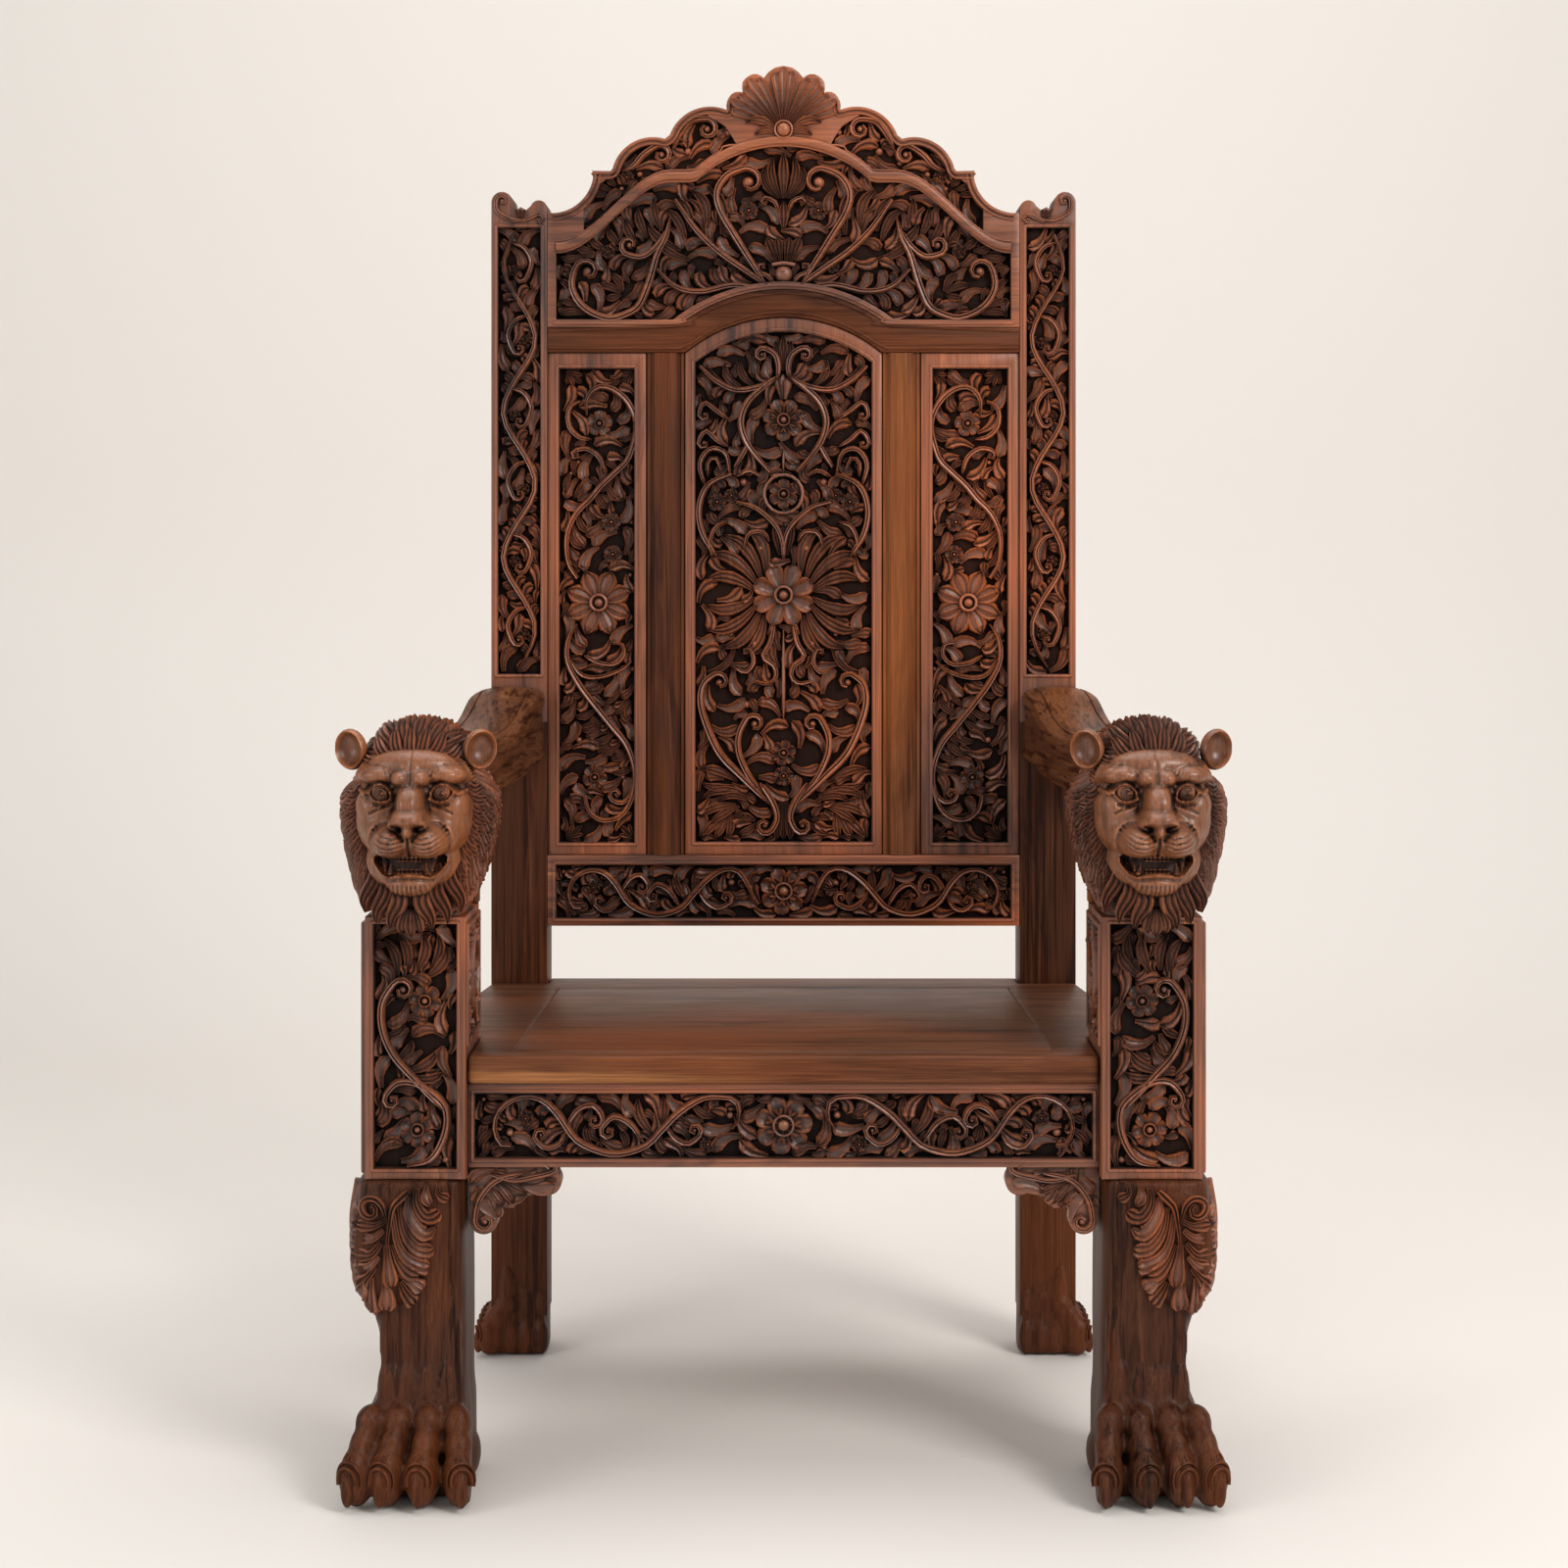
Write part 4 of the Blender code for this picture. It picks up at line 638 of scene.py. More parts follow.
def side_panel(side):
    """A tall side panel: a great scroll over a rosette and its turn below."""
    bm = bmesh.new()
    inner, outer = MUNTIN[1] + GAP, STILE_INNER - GAP
    low, high = RAIL_LOW[1] + GAP, MID_RAIL[0] - GAP
    outline = rectangle(min(side * inner, side * outer), max(side * inner, side * outer), low, high)
    x0, x1 = sorted((side * 0.1889, side * 0.2833))
    place = facing(FORWARD, (0, PANEL_FACE, 0))
    sunk_board(bm, outline, [rectangle(x0, x1, 0.647, 1.246)], PANEL_THICK, SUNK, place)

    surface = flat_surface(FORWARD, (0, PANEL_FACE, 0))
    field = rectangle(x0 + 0.0008, x1 - 0.0008, 0.6478, 1.2452)
    relief = Relief(bm, surface, field, seed=11 if side < 0 else 12)
    frame_beads(relief, x0, x1, 0.647, 1.246)
    sketch = Sketch(relief, side, 0.2311, 0.647)
    # Rosette at mid height
    sketch.blossom((3, 303), 0.0435, 8, turn=math.pi / 8, crown=0.0105, button=0.20, pointed=True)
    # The two great stems
    upper = sketch.stem([(18, 540), (18, 560), (6, 575), (-11, 575), (-27, 565), (-39, 549), (-45, 528),
            (-41, 504), (-33, 483), (-17, 467), (0, 451), (14, 434), (30, 418), (41, 397), (44, 377),
            (41, 352), (30, 334)], 0.0036, 0.0098)
    lower = sketch.stem([(30, 276), (41, 258), (43, 231), (30, 203), (12, 178), (-13, 147), (-31, 125),
            (-41, 100), (-43, 78), (-37, 51), (-23, 32), (0, 28), (16, 41), (20, 59)], 0.0036, 0.0098)
    sketch.stem([(12, 510), (26, 512), (39, 524), (42, 541), (37, 553), (26, 558)], 0.0028, 0.009)
    sketch.volute([(-5, 467), (2, 487), (18, 498), (32, 496)], 0.0062, -1, 0.0028, 0.009)
    sketch.blossom((2, 530), 0.0165, 5, crown=0.0098)
    sketch.stem([(39, 231), (24, 211), (0, 209), (-27, 219), (-38, 229)], 0.0026, 0.0088)
    sketch.stem([(21, 236), (4, 227), (-17, 225), (-29, 236), (-27, 250), (-15, 252)], 0.0026, 0.0088)
    sketch.volute([(-41, 78), (-38, 60), (-27, 50), (-17, 52)], 0.0085, 1, 0.0028, 0.009)
    sketch.blossom((8, 82), 0.0155, 5, crown=0.0098)
    sketch.blossom((-15, 364), 0.0120, 5, crown=0.009)
    sketch.blossom((-13, 405), 0.0125, 5, crown=0.009)
    sketch.balls((29, 481, 3.4), (38, 467, 3), (-39, 405, 3.4), (-39, 393, 3), (-37, 338, 3),
            (-40, 219, 3.6), (28, 129, 4.2), (-27, 82, 3.2), (-43, 424, 3))
    sketch.leaves((((-14, 462), (4, 444), 5, -0.15), ((-20, 470), (-2, 480), 5, 0.2),
            ((4, 450), (16, 460), 4.5, 0.2), ((-8, 456), (-30, 434), 6, 0.25), ((6, 444), (-12, 424), 5.5,
            0.25), ((16, 434), (2, 408), 5.5, 0.2), ((30, 418), (12, 392), 5.5, 0.2), ((40, 395), (20, 372),
            5.5, 0.2), ((42, 375), (22, 348), 5, 0.2), ((-44, 520), (-20, 512), 5, -0.2),
            ((-42, 505), (-22, 494), 5, -0.2), ((-8, 575), (-24, 590), 4.5, 0.1), ((36, 470), (44, 440),
            4.5, 0.15), ((24, 458), (36, 434), 4.5, -0.1), ((-36, 112), (-10, 108), 5.5, -0.15),
            ((-42, 95), (-12, 90), 5, -0.15), ((-18, 142), (12, 128), 5.5, -0.2), ((-26, 132), (4, 112),
            5.5, -0.2), ((6, 170), (34, 160), 5.5, -0.2), ((-4, 158), (28, 143), 5.5, -0.2),
            ((20, 190), (40, 188), 5, -0.2), ((-24, 168), (-40, 152), 5.5, 0.1), ((-12, 160), (-34, 186),
            5.5, 0.15), ((-4, 172), (-24, 200), 5.5, 0.1)))
    for u, v, heading in ((-44, 597, -40), (44, 597, -140), (-44, 3, 42), (44, 3, 138)):
        turn = heading if side > 0 else 180 - heading
        relief.palm(sketch.at([(u, v)])[0], turn, 0.026, 5, 100)
    relief.sprout(upper, 0.030, pitch=0.013)
    relief.sprout(lower, 0.030, pitch=0.013)
    relief.fill()
    return bm


def frame_beads(relief, x0, x1, y0, y1, out=0.0030):
    """The fine round moulding that runs round a field."""
    a, b, c, d = x0 - out, x1 + out, y0 - out, y1 + out
    for path in ([(a, c), (a, d)], [(b, c), (b, d)], [(a, c), (b, c)], [(a, d), (b, d)]):
        bead(relief, path, 0.0019, 0.0014, rows=2)


def centre_panel():
    """The centre panel: scrolls, clusters and the great rosette, alike on both sides of its middle."""
    bm = bmesh.new()
    half = MUNTIN[0] - GAP
    low = RAIL_LOW[1] + GAP
    top = arch(half, MID_RAIL[0] - GAP, 1.3110 - MID_RAIL[0], 21)
    field_top = arch(0.1115, 1.2540, 0.0390, 21)
    field = [(-0.1115, 0.6477), (0.1115, 0.6477), *field_top[::-1]]
    place = facing(FORWARD, (0, PANEL_FACE, 0))
    sunk_board(bm, [(-half, low), (half, low), *top[::-1]], [field], PANEL_THICK, SUNK, place)
    relief = Relief(bm, flat_surface(FORWARD, (0, PANEL_FACE, 0)), [(x * 0.994, y) for x, y in field],
            seed=21)
    for x in (-0.1145, 0.1145):
        bead(relief, [(x, 0.6447), (x, 1.2560)], 0.0019, 0.0014, rows=2)
    bead(relief, [(-0.1145, 0.6447), (0.1145, 0.6447)], 0.0019, 0.0014, rows=2)
    bead(relief, arch(0.1145, 1.2560, 0.0400, 21), 0.0019, 0.0014)

    foot = 0.6477
    relief.blossom((0, foot + 0.312), 0.0400, 8, turn=math.pi / 8, crown=0.0115, button=0.23)
    relief.blossom((0, foot + 0.534), 0.0270, 7, turn=0.2, crown=0.0105, layers=2, button=0.24)
    relief.ring((0, foot + 0.440), 0.0245, 0.0026, 0.0095)
    relief.blossom((0, foot + 0.440), 0.0190, 6, turn=0.5, crown=0.0105, button=0.30)
    relief.blossom((0, foot + 0.112), 0.0160, 6, turn=0.3, crown=0.0100)
    relief.blossom((0, foot + 0.083), 0.0125, 5, turn=0.1, crown=0.0105)
    relief.leaf((0, foot + 0.268), (0, foot + 0.150), 0.0030, crown=0.0100, section=ROUND)
    relief.leaf((0, foot + 0.498), (0, foot + 0.466), 0.0022, crown=0.0100, section=ROUND)
    for lean, long in ((0, 0.044), (-0.010, 0.036), (0.010, 0.036)):
        relief.leaf((lean * 0.4, foot + 0.596), (lean, foot + 0.598 + long), 0.0068, crown=0.0105)
    for lean, tip in ((-0.007, 0.588), (0.007, 0.588), (0, 0.592)):
        relief.leaf((lean * 0.3, foot + 0.560), (lean, foot + tip), 0.0058, crown=0.0110, outline=LOBE,
                section=EDGED)
    for lean in (-0.007, 0.007, 0):
        relief.leaf((lean * 0.4, foot + 0.054), (lean * 1.3, foot + 0.003), 0.0062, crown=0.0110,
                outline=LOBE)
    for lean in (-0.012, 0.012, 0):
        relief.leaf((lean * 0.3, foot + 0.362), (lean, foot + 0.404), 0.0060, crown=0.0105, section=RIPPLE)
    for side in (-1, 1):
        sketch = Sketch(relief, side, 0.0, foot)
        stems = []
        sketch.volute([(8, 586), (6, 600), (10, 616), (22, 624)], 0.0095, -1, 0.0034, 0.0102)
        stems.append(sketch.stem([(8, 588), (31, 576), (60, 572), (86, 584), (106, 602)]))
        stems.append(sketch.stem([(6, 590), (28, 574), (46, 556), (54, 534), (50, 512), (38, 492),
                (17, 468)], 0.0038, 0.0105))
        stems.append(sketch.stem([(44, 505), (52, 490), (62, 474)], 0.0030))
        sketch.volute([(70, 535), (84, 545), (100, 556), (107, 545)], 0.0085, -1, 0.0028, 0.009, turns=0.7)
        sketch.volute([(70, 500), (84, 508), (98, 520), (107, 510)], 0.0085, -1, 0.0028, 0.009, turns=0.7)
        stems.append(sketch.stem([(100, 452), (106, 478), (93, 497), (74, 492), (68, 468)], 0.0030))
        stems.append(sketch.stem([(96, 462), (96, 480), (86, 486), (79, 470)], 0.0026))
        stems.append(sketch.stem([(85, 361), (103, 392), (107, 424), (95, 452), (66, 466)], 0.0036, 0.0102))
        sketch.blossom((84, 430), 0.0120, 5)
        sketch.blossom((66, 438), 0.0095, 5)
        sketch.balls((51, 455, 5.2), (29, 371, 5.0))
        stems.append(sketch.stem([(60, 462), (44, 470), (30, 463)], 0.0026))
        stems.append(sketch.stem([(0, 357), (0, 374), (9, 399), (34, 422), (60, 430)], 0.0030))
        stems.append(sketch.stem([(18, 380), (26, 392), (44, 390), (50, 372)], 0.0026))
        stems.append(sketch.stem([(70, 405), (86, 398), (94, 378), (90, 362)], 0.0026))
        # The leaf fans each side of the rosette
        for k, (a, long) in enumerate(((66, 74), (48, 84), (30, 88), (12, 76), (-8, 84), (-26, 86),
                (-44, 78), (-60, 66))):
            turn = math.radians(a)
            root = (36 * math.cos(turn * 0.8), 312 + 34 * math.sin(turn * 0.8))
            reach = min(long, (107 - root[0]) / max(0.2, math.cos(turn)))
            tip = (root[0] + reach * 0.88 * math.cos(turn), root[1] + reach * 0.88 * math.sin(turn))
            tip = (min(tip[0], 106), tip[1])
            relief.leaf(*sketch.at([root, tip]), 0.0085, side * (0.16 if a > 0 else -0.16), 0.0095,
                        section=(LEAF, RIPPLE)[k % 2])
        stems.append(sketch.stem([(20, 262), (13, 276), (17, 252), (26, 234), (12, 222), (10, 208),
                (20, 200), (36, 203)], 0.0030))
        sketch.volute([(64, 222), (48, 214), (38, 226), (40, 240)], 0.0070, -1, 0.0026, 0.009, turns=0.6)
        sketch.volute([(17, 48), (52, 82), (82, 114), (103, 165), (103, 196), (90, 210)], 0.0125, 1, 0.0042,
                      0.0105, turns=0.62)
        sketch.volute([(26, 62), (42, 80), (56, 110), (57, 134), (48, 154)], 0.0125, 1, 0.0036, 0.0102,
                      turns=0.75)
        sketch.volute([(30, 74), (14, 50), (8, 30), (14, 16)], 0.0110, 1, 0.0036, 0.0105, turns=0.85)
        sketch.balls((47, 173, 5.0), (50, 258, 3.4), (66, 262, 3.0), (36, 250, 5.2), (72, 246, 3.2))
        outer = smooth_path(sketch.at([(52, 82), (82, 114), (103, 165), (103, 196)]), 20)
        relief.sprout(outer, 0.032, 0.0060, 0.012, sides=(side,), start=0.15)
        sketch.leaves((((58, 76), (106, 92), 6.5, 0.10), ((60, 70), (104, 74), 6.0, -0.10),
                ((44, 58), (104, 54), 6.5, 0.16), ((40, 50), (84, 50), 5.5, 0.2), ((60, 46), (106, 30), 6.5,
                0.12), ((56, 44), (94, 22), 6.0, 0.05), ((72, 34), (104, 4), 7.0, 0.05),
                ((70, 34), (88, 3), 6.5, -0.02), ((68, 36), (72, 4), 6.0, -0.1), ((56, 30), (44, 34), 5.0,
                0.2), ((36, 26), (60, 26), 5.5, 0.25), ((34, 22), (58, 10), 5.5, -0.1),
                ((22, 240), (46, 232), 4.5, 0.2), ((60, 250), (100, 214), 5.0, -0.2),
                ((84, 588), (108, 588), 5.0, 0.2), ((70, 578), (96, 604), 6.0, -0.2), ((50, 572), (74, 606),
                6.0, -0.2), ((36, 576), (54, 610), 5.5, -0.2), ((30, 604), (46, 624), 5.0, 0.2)))
        for spine in stems:
            relief.sprout(spine, 0.024, pitch=0.013)
    relief.fill(most=160)
    return bm


def muntin(side):
    """A plain upright between two panels, with a bead and a groove down each edge."""
    bm = bmesh.new()
    low, high = RAIL_LOW[1] + GAP, MID_RAIL[0] - GAP
    half = (MUNTIN[1] - MUNTIN[0]) / 2
    shape = [(-half, 0.0), (-half, -0.0265), (-half + 0.0016, -0.0292), (-half + 0.0048, -0.0300),
            (-half + 0.0064, -0.0284), (-half + 0.0080, -0.0290), (-half + 0.0105, -0.0326),
            (-half + 0.0130, -0.0338)]
    shape += [(-x, y) for x, y in reversed(shape)]
    made = bmesh.new()
    ring = [made.verts.new((side * (MUNTIN[0] + MUNTIN[1]) / 2 + x, STILE_FACE + FRAME_THICK + y, low))
            for x, y in shape]
    foot = made.faces.new(ring)
    grown = bmesh.ops.extrude_face_region(made, geom=[foot])["geom"]
    bmesh.ops.translate(made, vec=(0, 0, high - low),
            verts=[v for v in grown if isinstance(v, bmesh.types.BMVert)])
    bmesh.ops.recalc_face_normals(made, faces=made.faces)
    join_into(bm, made)
    return bm


def running_scroll(relief, at, length, width, units, flip=1, lush=0.024):
    """A wave of stem down a strip, with a volute and lobes in each bend."""
    pitch = length / units
    wave = [(0.02 * pitch, 0.0)]
    for k in range(units):
        s = flip * (-1) ** k
        middle = (k + 0.5) * pitch
        wave += [(middle - 0.18 * pitch, s * 0.30 * width), (middle + 0.10 * pitch, s * 0.40 * width),
                 (middle + 0.42 * pitch, s * 0.16 * width)]
    wave[-1] = (length - 0.03 * pitch, wave[-1][1])
    main = relief.stem([at(*p) for p in wave], 0.0032, 0.0092)[0]
    for k in range(units):
        s = flip * (-1) ** k
        middle = (k + 0.5) * pitch
        hook = [(middle + 0.36 * pitch, s * 0.22 * width), (middle + 0.30 * pitch, -s * 0.10 * width),
                (middle + 0.10 * pitch, -s * 0.30 * width), (middle - 0.12 * pitch, -s * 0.18 * width)]
        pts = [at(*p) for p in hook]
        a, b, c = (np.array(p) for p in pts[-3:])
        turn = np.cross(b - a, c - b)
        relief.volute(pts, 0.17 * width, 1 if turn > 0 else -1, 0.0028, 0.0092, turns=0.8)
        flower = at(middle - 0.02 * pitch, s * 0.12 * width)
        relief.blossom(flower, 0.15 * width, 5, crown=0.0088)
    relief.sprout(main, lush, 0.0054, 0.012)
    relief.fill()


def ear_outline():
    """The top of a stile from its outer edge inwards: a volute, a dip and a second volute."""
    outer = arc((0.0135, 1.4555), 0.0135, 180, 10, 16)
    inner = arc((0.0600, 1.4480), 0.0105, 160, 0, 11)
    return [*outer, (0.0290, 1.4440), (0.0370, 1.4500), (0.0440, 1.4460), *inner]


def stile(side):
    """Stile with its carved strip and ear. Its rear leg and paw join it below."""
    bm = bmesh.new()
    ear = [(side * (STILE_OUTER - x), y) for x, y in ear_outline()]
    ear[-1] = (side * STILE_INNER, 1.4400)
    outline = [(side * STILE_INNER, 0.050), (side * STILE_OUTER, 0.050), (side * STILE_OUTER, 1.432), *ear]
    xs = sorted((side * 0.3069, side * 0.3607))
    field = rectangle(*xs, 0.860, 1.424)
    sunk_board(bm, outline, [field], STILE_DEPTH, 0.010, facing(FORWARD, (0, STILE_FACE, 0)))
    surface = flat_surface(FORWARD, (0, STILE_FACE, 0))
    relief = Relief(bm, surface, rectangle(xs[0] + 0.0006, xs[1] - 0.0006, 0.8608, 1.4232), floor=-0.010,
                    seed=31 if side < 0 else 32)
    frame_beads(relief, *xs, 0.860, 1.424, 0.0026)
    middle = side * 0.3338
    running_scroll(relief, lambda a, b: (middle + b, 0.866 + a), 0.552, 0.0500, 6, -side)
    ear_field = [(side * (STILE_OUTER - x), y) for x, y in
                 ((0.002, 1.4300), (0.003, 1.4560), (0.0130, 1.4660), (0.0240, 1.4540), (0.0370, 1.4470),
                  (0.0520, 1.4500), (0.0610, 1.4560), (0.0680, 1.4450), (0.0680, 1.4300))]
    top = Relief(bm, surface, ear_field, floor=-0.0005, seed=5)
    at = [(side * (STILE_OUTER - x), y) for x, y in ((0.040, 1.4330), (0.026, 1.4340), (0.008, 1.4440),
            (0.0060, 1.4560))]
    top.volute(at, 0.0080, side, 0.0026, 0.0042, turns=0.9)
    at = [(side * (STILE_OUTER - x), y) for x, y in ((0.034, 1.4320), (0.046, 1.4340), (0.058, 1.4400))]
    top.volute(at, 0.0066, side, 0.0024, 0.0040, turns=0.9)
    for tip in (0.031, 0.037, 0.043):
        top.leaf((side * (STILE_OUTER - 0.037), 1.4310), (side * (STILE_OUTER - tip), 1.4470), 0.0028,
                crown=0.0040)
    return bm


def mid_rail():
    """The arched rail over the panels, with a bead along its arch."""
    bm = bmesh.new()
    upper = arch(0.1355, MID_RAIL[1], 0.0480, 25)
    lower = arch(MUNTIN[0], MID_RAIL[0], 1.3110 + GAP - MID_RAIL[0], 25)
    edge = STILE_INNER - GAP
    outline = [(-edge, MID_RAIL[0]), *lower, (edge, MID_RAIL[0]), (edge, MID_RAIL[1]), *upper[::-1],
            (-edge, MID_RAIL[1])]
    sunk_board(bm, outline, [], FRAME_THICK, 0, facing(FORWARD, (0, STILE_FACE, 0)), ease=0.0022)
    relief = Relief(bm, flat_surface(FORWARD, (0, STILE_FACE, 0)), rectangle(-0.1, 0.1, 1.27, 1.29), seed=3)
    drop = [(x, y + 0.0056) for x, y in lower]
    for path in ([(-edge + 0.002, MID_RAIL[0] + 0.0056), (-MUNTIN[0] - 0.006, MID_RAIL[0] + 0.0056)],
                 [(MUNTIN[0] + 0.006, MID_RAIL[0] + 0.0056), (edge - 0.002, MID_RAIL[0] + 0.0056)]):
        bead(relief, path, 0.0022, 0.0018, rows=2)
    bead(relief, [(-MUNTIN[0] - 0.006, MID_RAIL[0] + 0.0056), *drop[1:-1],
            (MUNTIN[0] + 0.006, MID_RAIL[0] + 0.0056)], 0.0022, 0.0018, rows=60)
    rise = [(x, y - 0.0050) for x, y in upper]
    bead(relief, [(-edge + 0.002, MID_RAIL[1] - 0.0050), *rise[1:-1], (edge - 0.002, MID_RAIL[1] - 0.0050)],
            0.0018, 0.0014, rows=90)
    return bm


def frieze(relief, height):
    """Scrolls and balls that run out to both ends from a rosette."""
    relief.blossom((0, height + 0.034), 0.0315, 7, turn=0.1, crown=0.0100, layers=2)
    for side in (-1, 1):
        sketch = Sketch(relief, side, 0.0, height)
        spine = sketch.stem([(55, 31), (48, 44), (52, 62), (71, 66), (89, 64), (113, 49), (131, 31),
                (149, 13), (176, 4), (198, 6), (225, 19), (243, 44), (261, 62), (283, 66), (305, 55),
                (314, 35), (308, 15), (296, 13)], 0.0034, 0.0098)
        sketch.volute([(236, 34), (222, 52), (207, 56), (198, 46)], 0.0090, 1, 0.0028, 0.0092)
        sketch.volute([(152, 16), (166, 36), (184, 44), (196, 34)], 0.0085, -1, 0.0028, 0.0092)
        sketch.volute([(128, 34), (118, 20), (104, 14), (92, 22)], 0.0085, -1, 0.0028, 0.0092)
        sketch.volute([(236, 28), (244, 14), (258, 10), (268, 18)], 0.0078, 1, 0.0026, 0.0090)
        sketch.balls((58, 45, 4.6), (297, 26, 4.8), (272, 40, 3.0), (326, 62, 3.0), (44, 10, 3.6))
        sketch.blossom((82, 14), 0.0095, 5)
        sketch.blossom((280, 42), 0.0090, 5)
        sketch.leaves((((100, 58), (74, 44), 5.5, 0.15), ((116, 46), (96, 34), 5.0, 0.15),
                ((140, 22), (158, 64), 6.5, -0.15), ((132, 34), (132, 66), 6.0, 0.1),
                ((170, 8), (178, 30), 5.0, 0.1), ((210, 12), (214, 34), 5.0, -0.1), ((312, 30), (330, 10),
                5.5, 0.15), ((312, 46), (330, 40), 5.0, -0.15)))
        relief.sprout(spine, 0.024, 0.0054, 0.012)
    relief.fill(most=120)


def bottom_rail():
    """The carved rail under the panels."""
    bm = bmesh.new()
    edge = STILE_INNER - GAP
    sunk_board(bm, rectangle(-edge, edge, *RAIL_LOW), [rectangle(-0.287, 0.287, 0.5518, 0.6186)],
            FRAME_THICK, SUNK, facing(FORWARD, (0, STILE_FACE, 0)))
    relief = Relief(bm, flat_surface(FORWARD, (0, STILE_FACE, 0)), rectangle(-0.2862, 0.2862, 0.5526,
            0.6178), seed=41)
    frame_beads(relief, -0.287, 0.287, 0.5518, 0.6186, 0.0028)
    shrink_frieze(relief, 0.5522, 0.87)
    return bm


def shrink_frieze(relief, height, share):
    """A frieze whose lengths are a share of the apron's."""
    relief.blossom((0, height + 0.033), 0.0300, 7, turn=0.1, crown=0.0100, layers=2)
    for side in (-1, 1):
        sketch = Sketch(relief, side, 0.0, height, share, 0.00095)
        spine = sketch.stem([(42, 20), (52, 44), (66, 62), (88, 64), (113, 49), (131, 31), (149, 13),
                (176, 4), (198, 6), (225, 19), (243, 44), (261, 60), (283, 63), (303, 53), (312, 35),
                (306, 15), (294, 13)], 0.0034, 0.0098)
        sketch.volute([(236, 34), (222, 52), (207, 56), (198, 46)], 0.0085, 1, 0.0028, 0.0092)
        sketch.volute([(152, 16), (166, 36), (184, 44), (196, 34)], 0.0080, -1, 0.0028, 0.0092)
        sketch.volute([(124, 36), (112, 20), (96, 12), (80, 18)], 0.0085, -1, 0.0028, 0.0092)
        sketch.volute([(238, 26), (248, 12), (262, 9), (272, 16)], 0.0070, 1, 0.0026, 0.0090)
        sketch.balls((76, 46, 4.6), (295, 28, 4.4), (320, 60, 3.0))
        sketch.blossom((276, 40), 0.0085, 5)
        sketch.leaves((((140, 22), (156, 60), 6.0, -0.15), ((132, 34), (130, 62), 6.0, 0.1),
                                      ((100, 56), (92, 34), 5.0, 0.15), ((310, 40), (326, 24), 5.0, -0.15)))
        relief.sprout(spine, 0.024, 0.0054, 0.012)
    relief.fill(most=120)


def front_apron():
    """The carved apron under the seat's front."""
    bm = bmesh.new()
    half = POST_IN - GAP
    sunk_board(bm, rectangle(-half, half, *APRON), [rectangle(-0.335, 0.335, 0.3580, 0.4280)], 0.030, SUNK,
               facing(FORWARD, (0, APRON_FACE, 0)))
    relief = Relief(bm, flat_surface(FORWARD, (0, APRON_FACE, 0)), rectangle(-0.3342, 0.3342, 0.3588,
            0.4272), seed=51)
    frame_beads(relief, -0.335, 0.335, 0.3580, 0.4280, 0.0028)
    frieze(relief, 0.3585)
    return bm


def side_apron(side):
    """A side apron, a little turned, with one scroll each side of its rosette."""
    bm = bmesh.new()
    start = Vector((side * 0.4080, POST_REAR + 0.003, 0))
    end = Vector((side * 0.3650, STILE_FACE - 0.001, 0))
    along = end - start
    out = Vector((side * along.y, -side * along.x, 0))
    half = (along.length - 0.003) / 2
    place = facing(out, (start + end) / 2)
    sunk_board(bm, rectangle(-half, half, *APRON), [rectangle(-half + 0.012, half - 0.012, 0.3580, 0.4280)],
            0.026, 0.010, place)
    relief = Relief(bm, flat_surface(out, (start + end) / 2), rectangle(-half + 0.0128, half - 0.0128,
            0.3588, 0.4272), floor=-0.010, seed=61)
    frame_beads(relief, -half + 0.012, half - 0.012, 0.3580, 0.4280, 0.0028)
    relief.blossom((0, 0.393), 0.0300, 7, turn=0.2, crown=0.0100, layers=2)
    for way in (-1, 1):
        running_scroll(relief, lambda a, b, w=way: (w * (0.036 + a), 0.393 + b), half - 0.052, 0.066, 1,
                way)
    return bm


def bracket(side):
    """The carved corner under the apron: a scroll at its foot and another at its tip."""
    bm = bmesh.new()
    edge, top = POST_IN - 0.001, APRON[0] - GAP
    low_volute = arc((0.016, -0.058), 0.0155, 200, 380, 14)
    tip_volute = arc((0.0860, -0.0165), 0.0145, 235, 400, 12)
    outline = [(0.0, 0.0), (0.0, -0.060), *low_volute, (0.0330, -0.0430), (0.0480, -0.0450),
            (0.0580, -0.0330), (0.0700, -0.0300), *tip_volute, (0.1000, 0.0)]

    def at(points):
        return [(side * (edge - x), top + y) for x, y in points]

    sunk_board(bm, at(outline), [], 0.026, 0, facing(FORWARD, (0, APRON_FACE + 0.005, 0)))
    relief = Relief(bm, flat_surface(FORWARD, (0, APRON_FACE + 0.005, 0)),
                    at([(0.002, -0.002), (0.002, -0.062), (0.030, -0.062), (0.036, -0.044), (0.056, -0.036),
                        (0.070, -0.028), (0.092, -0.026), (0.096, -0.002)]), floor=-0.0006, seed=71)
    relief.volute(at([(0.060, -0.006), (0.030, -0.014), (0.012, -0.034), (0.007, -0.056)]), 0.0110, -side,
            0.0030, 0.0056)
    relief.volute(at([(0.024, -0.008), (0.050, -0.014), (0.074, -0.010), (0.090, -0.006)]), 0.0090, -side,
            0.0028, 0.0056)
    for root, tip in (((0.030, -0.016), (0.050, -0.040)), ((0.036, -0.014), (0.064, -0.028)),
                      ((0.024, -0.024), (0.038, -0.042))):
        relief.leaf(at([root])[0], at([tip])[0], 0.0052, crown=0.0052)
    relief.fill(least=0.003, most=10, crown=0.0048)
    return bm


# The crest

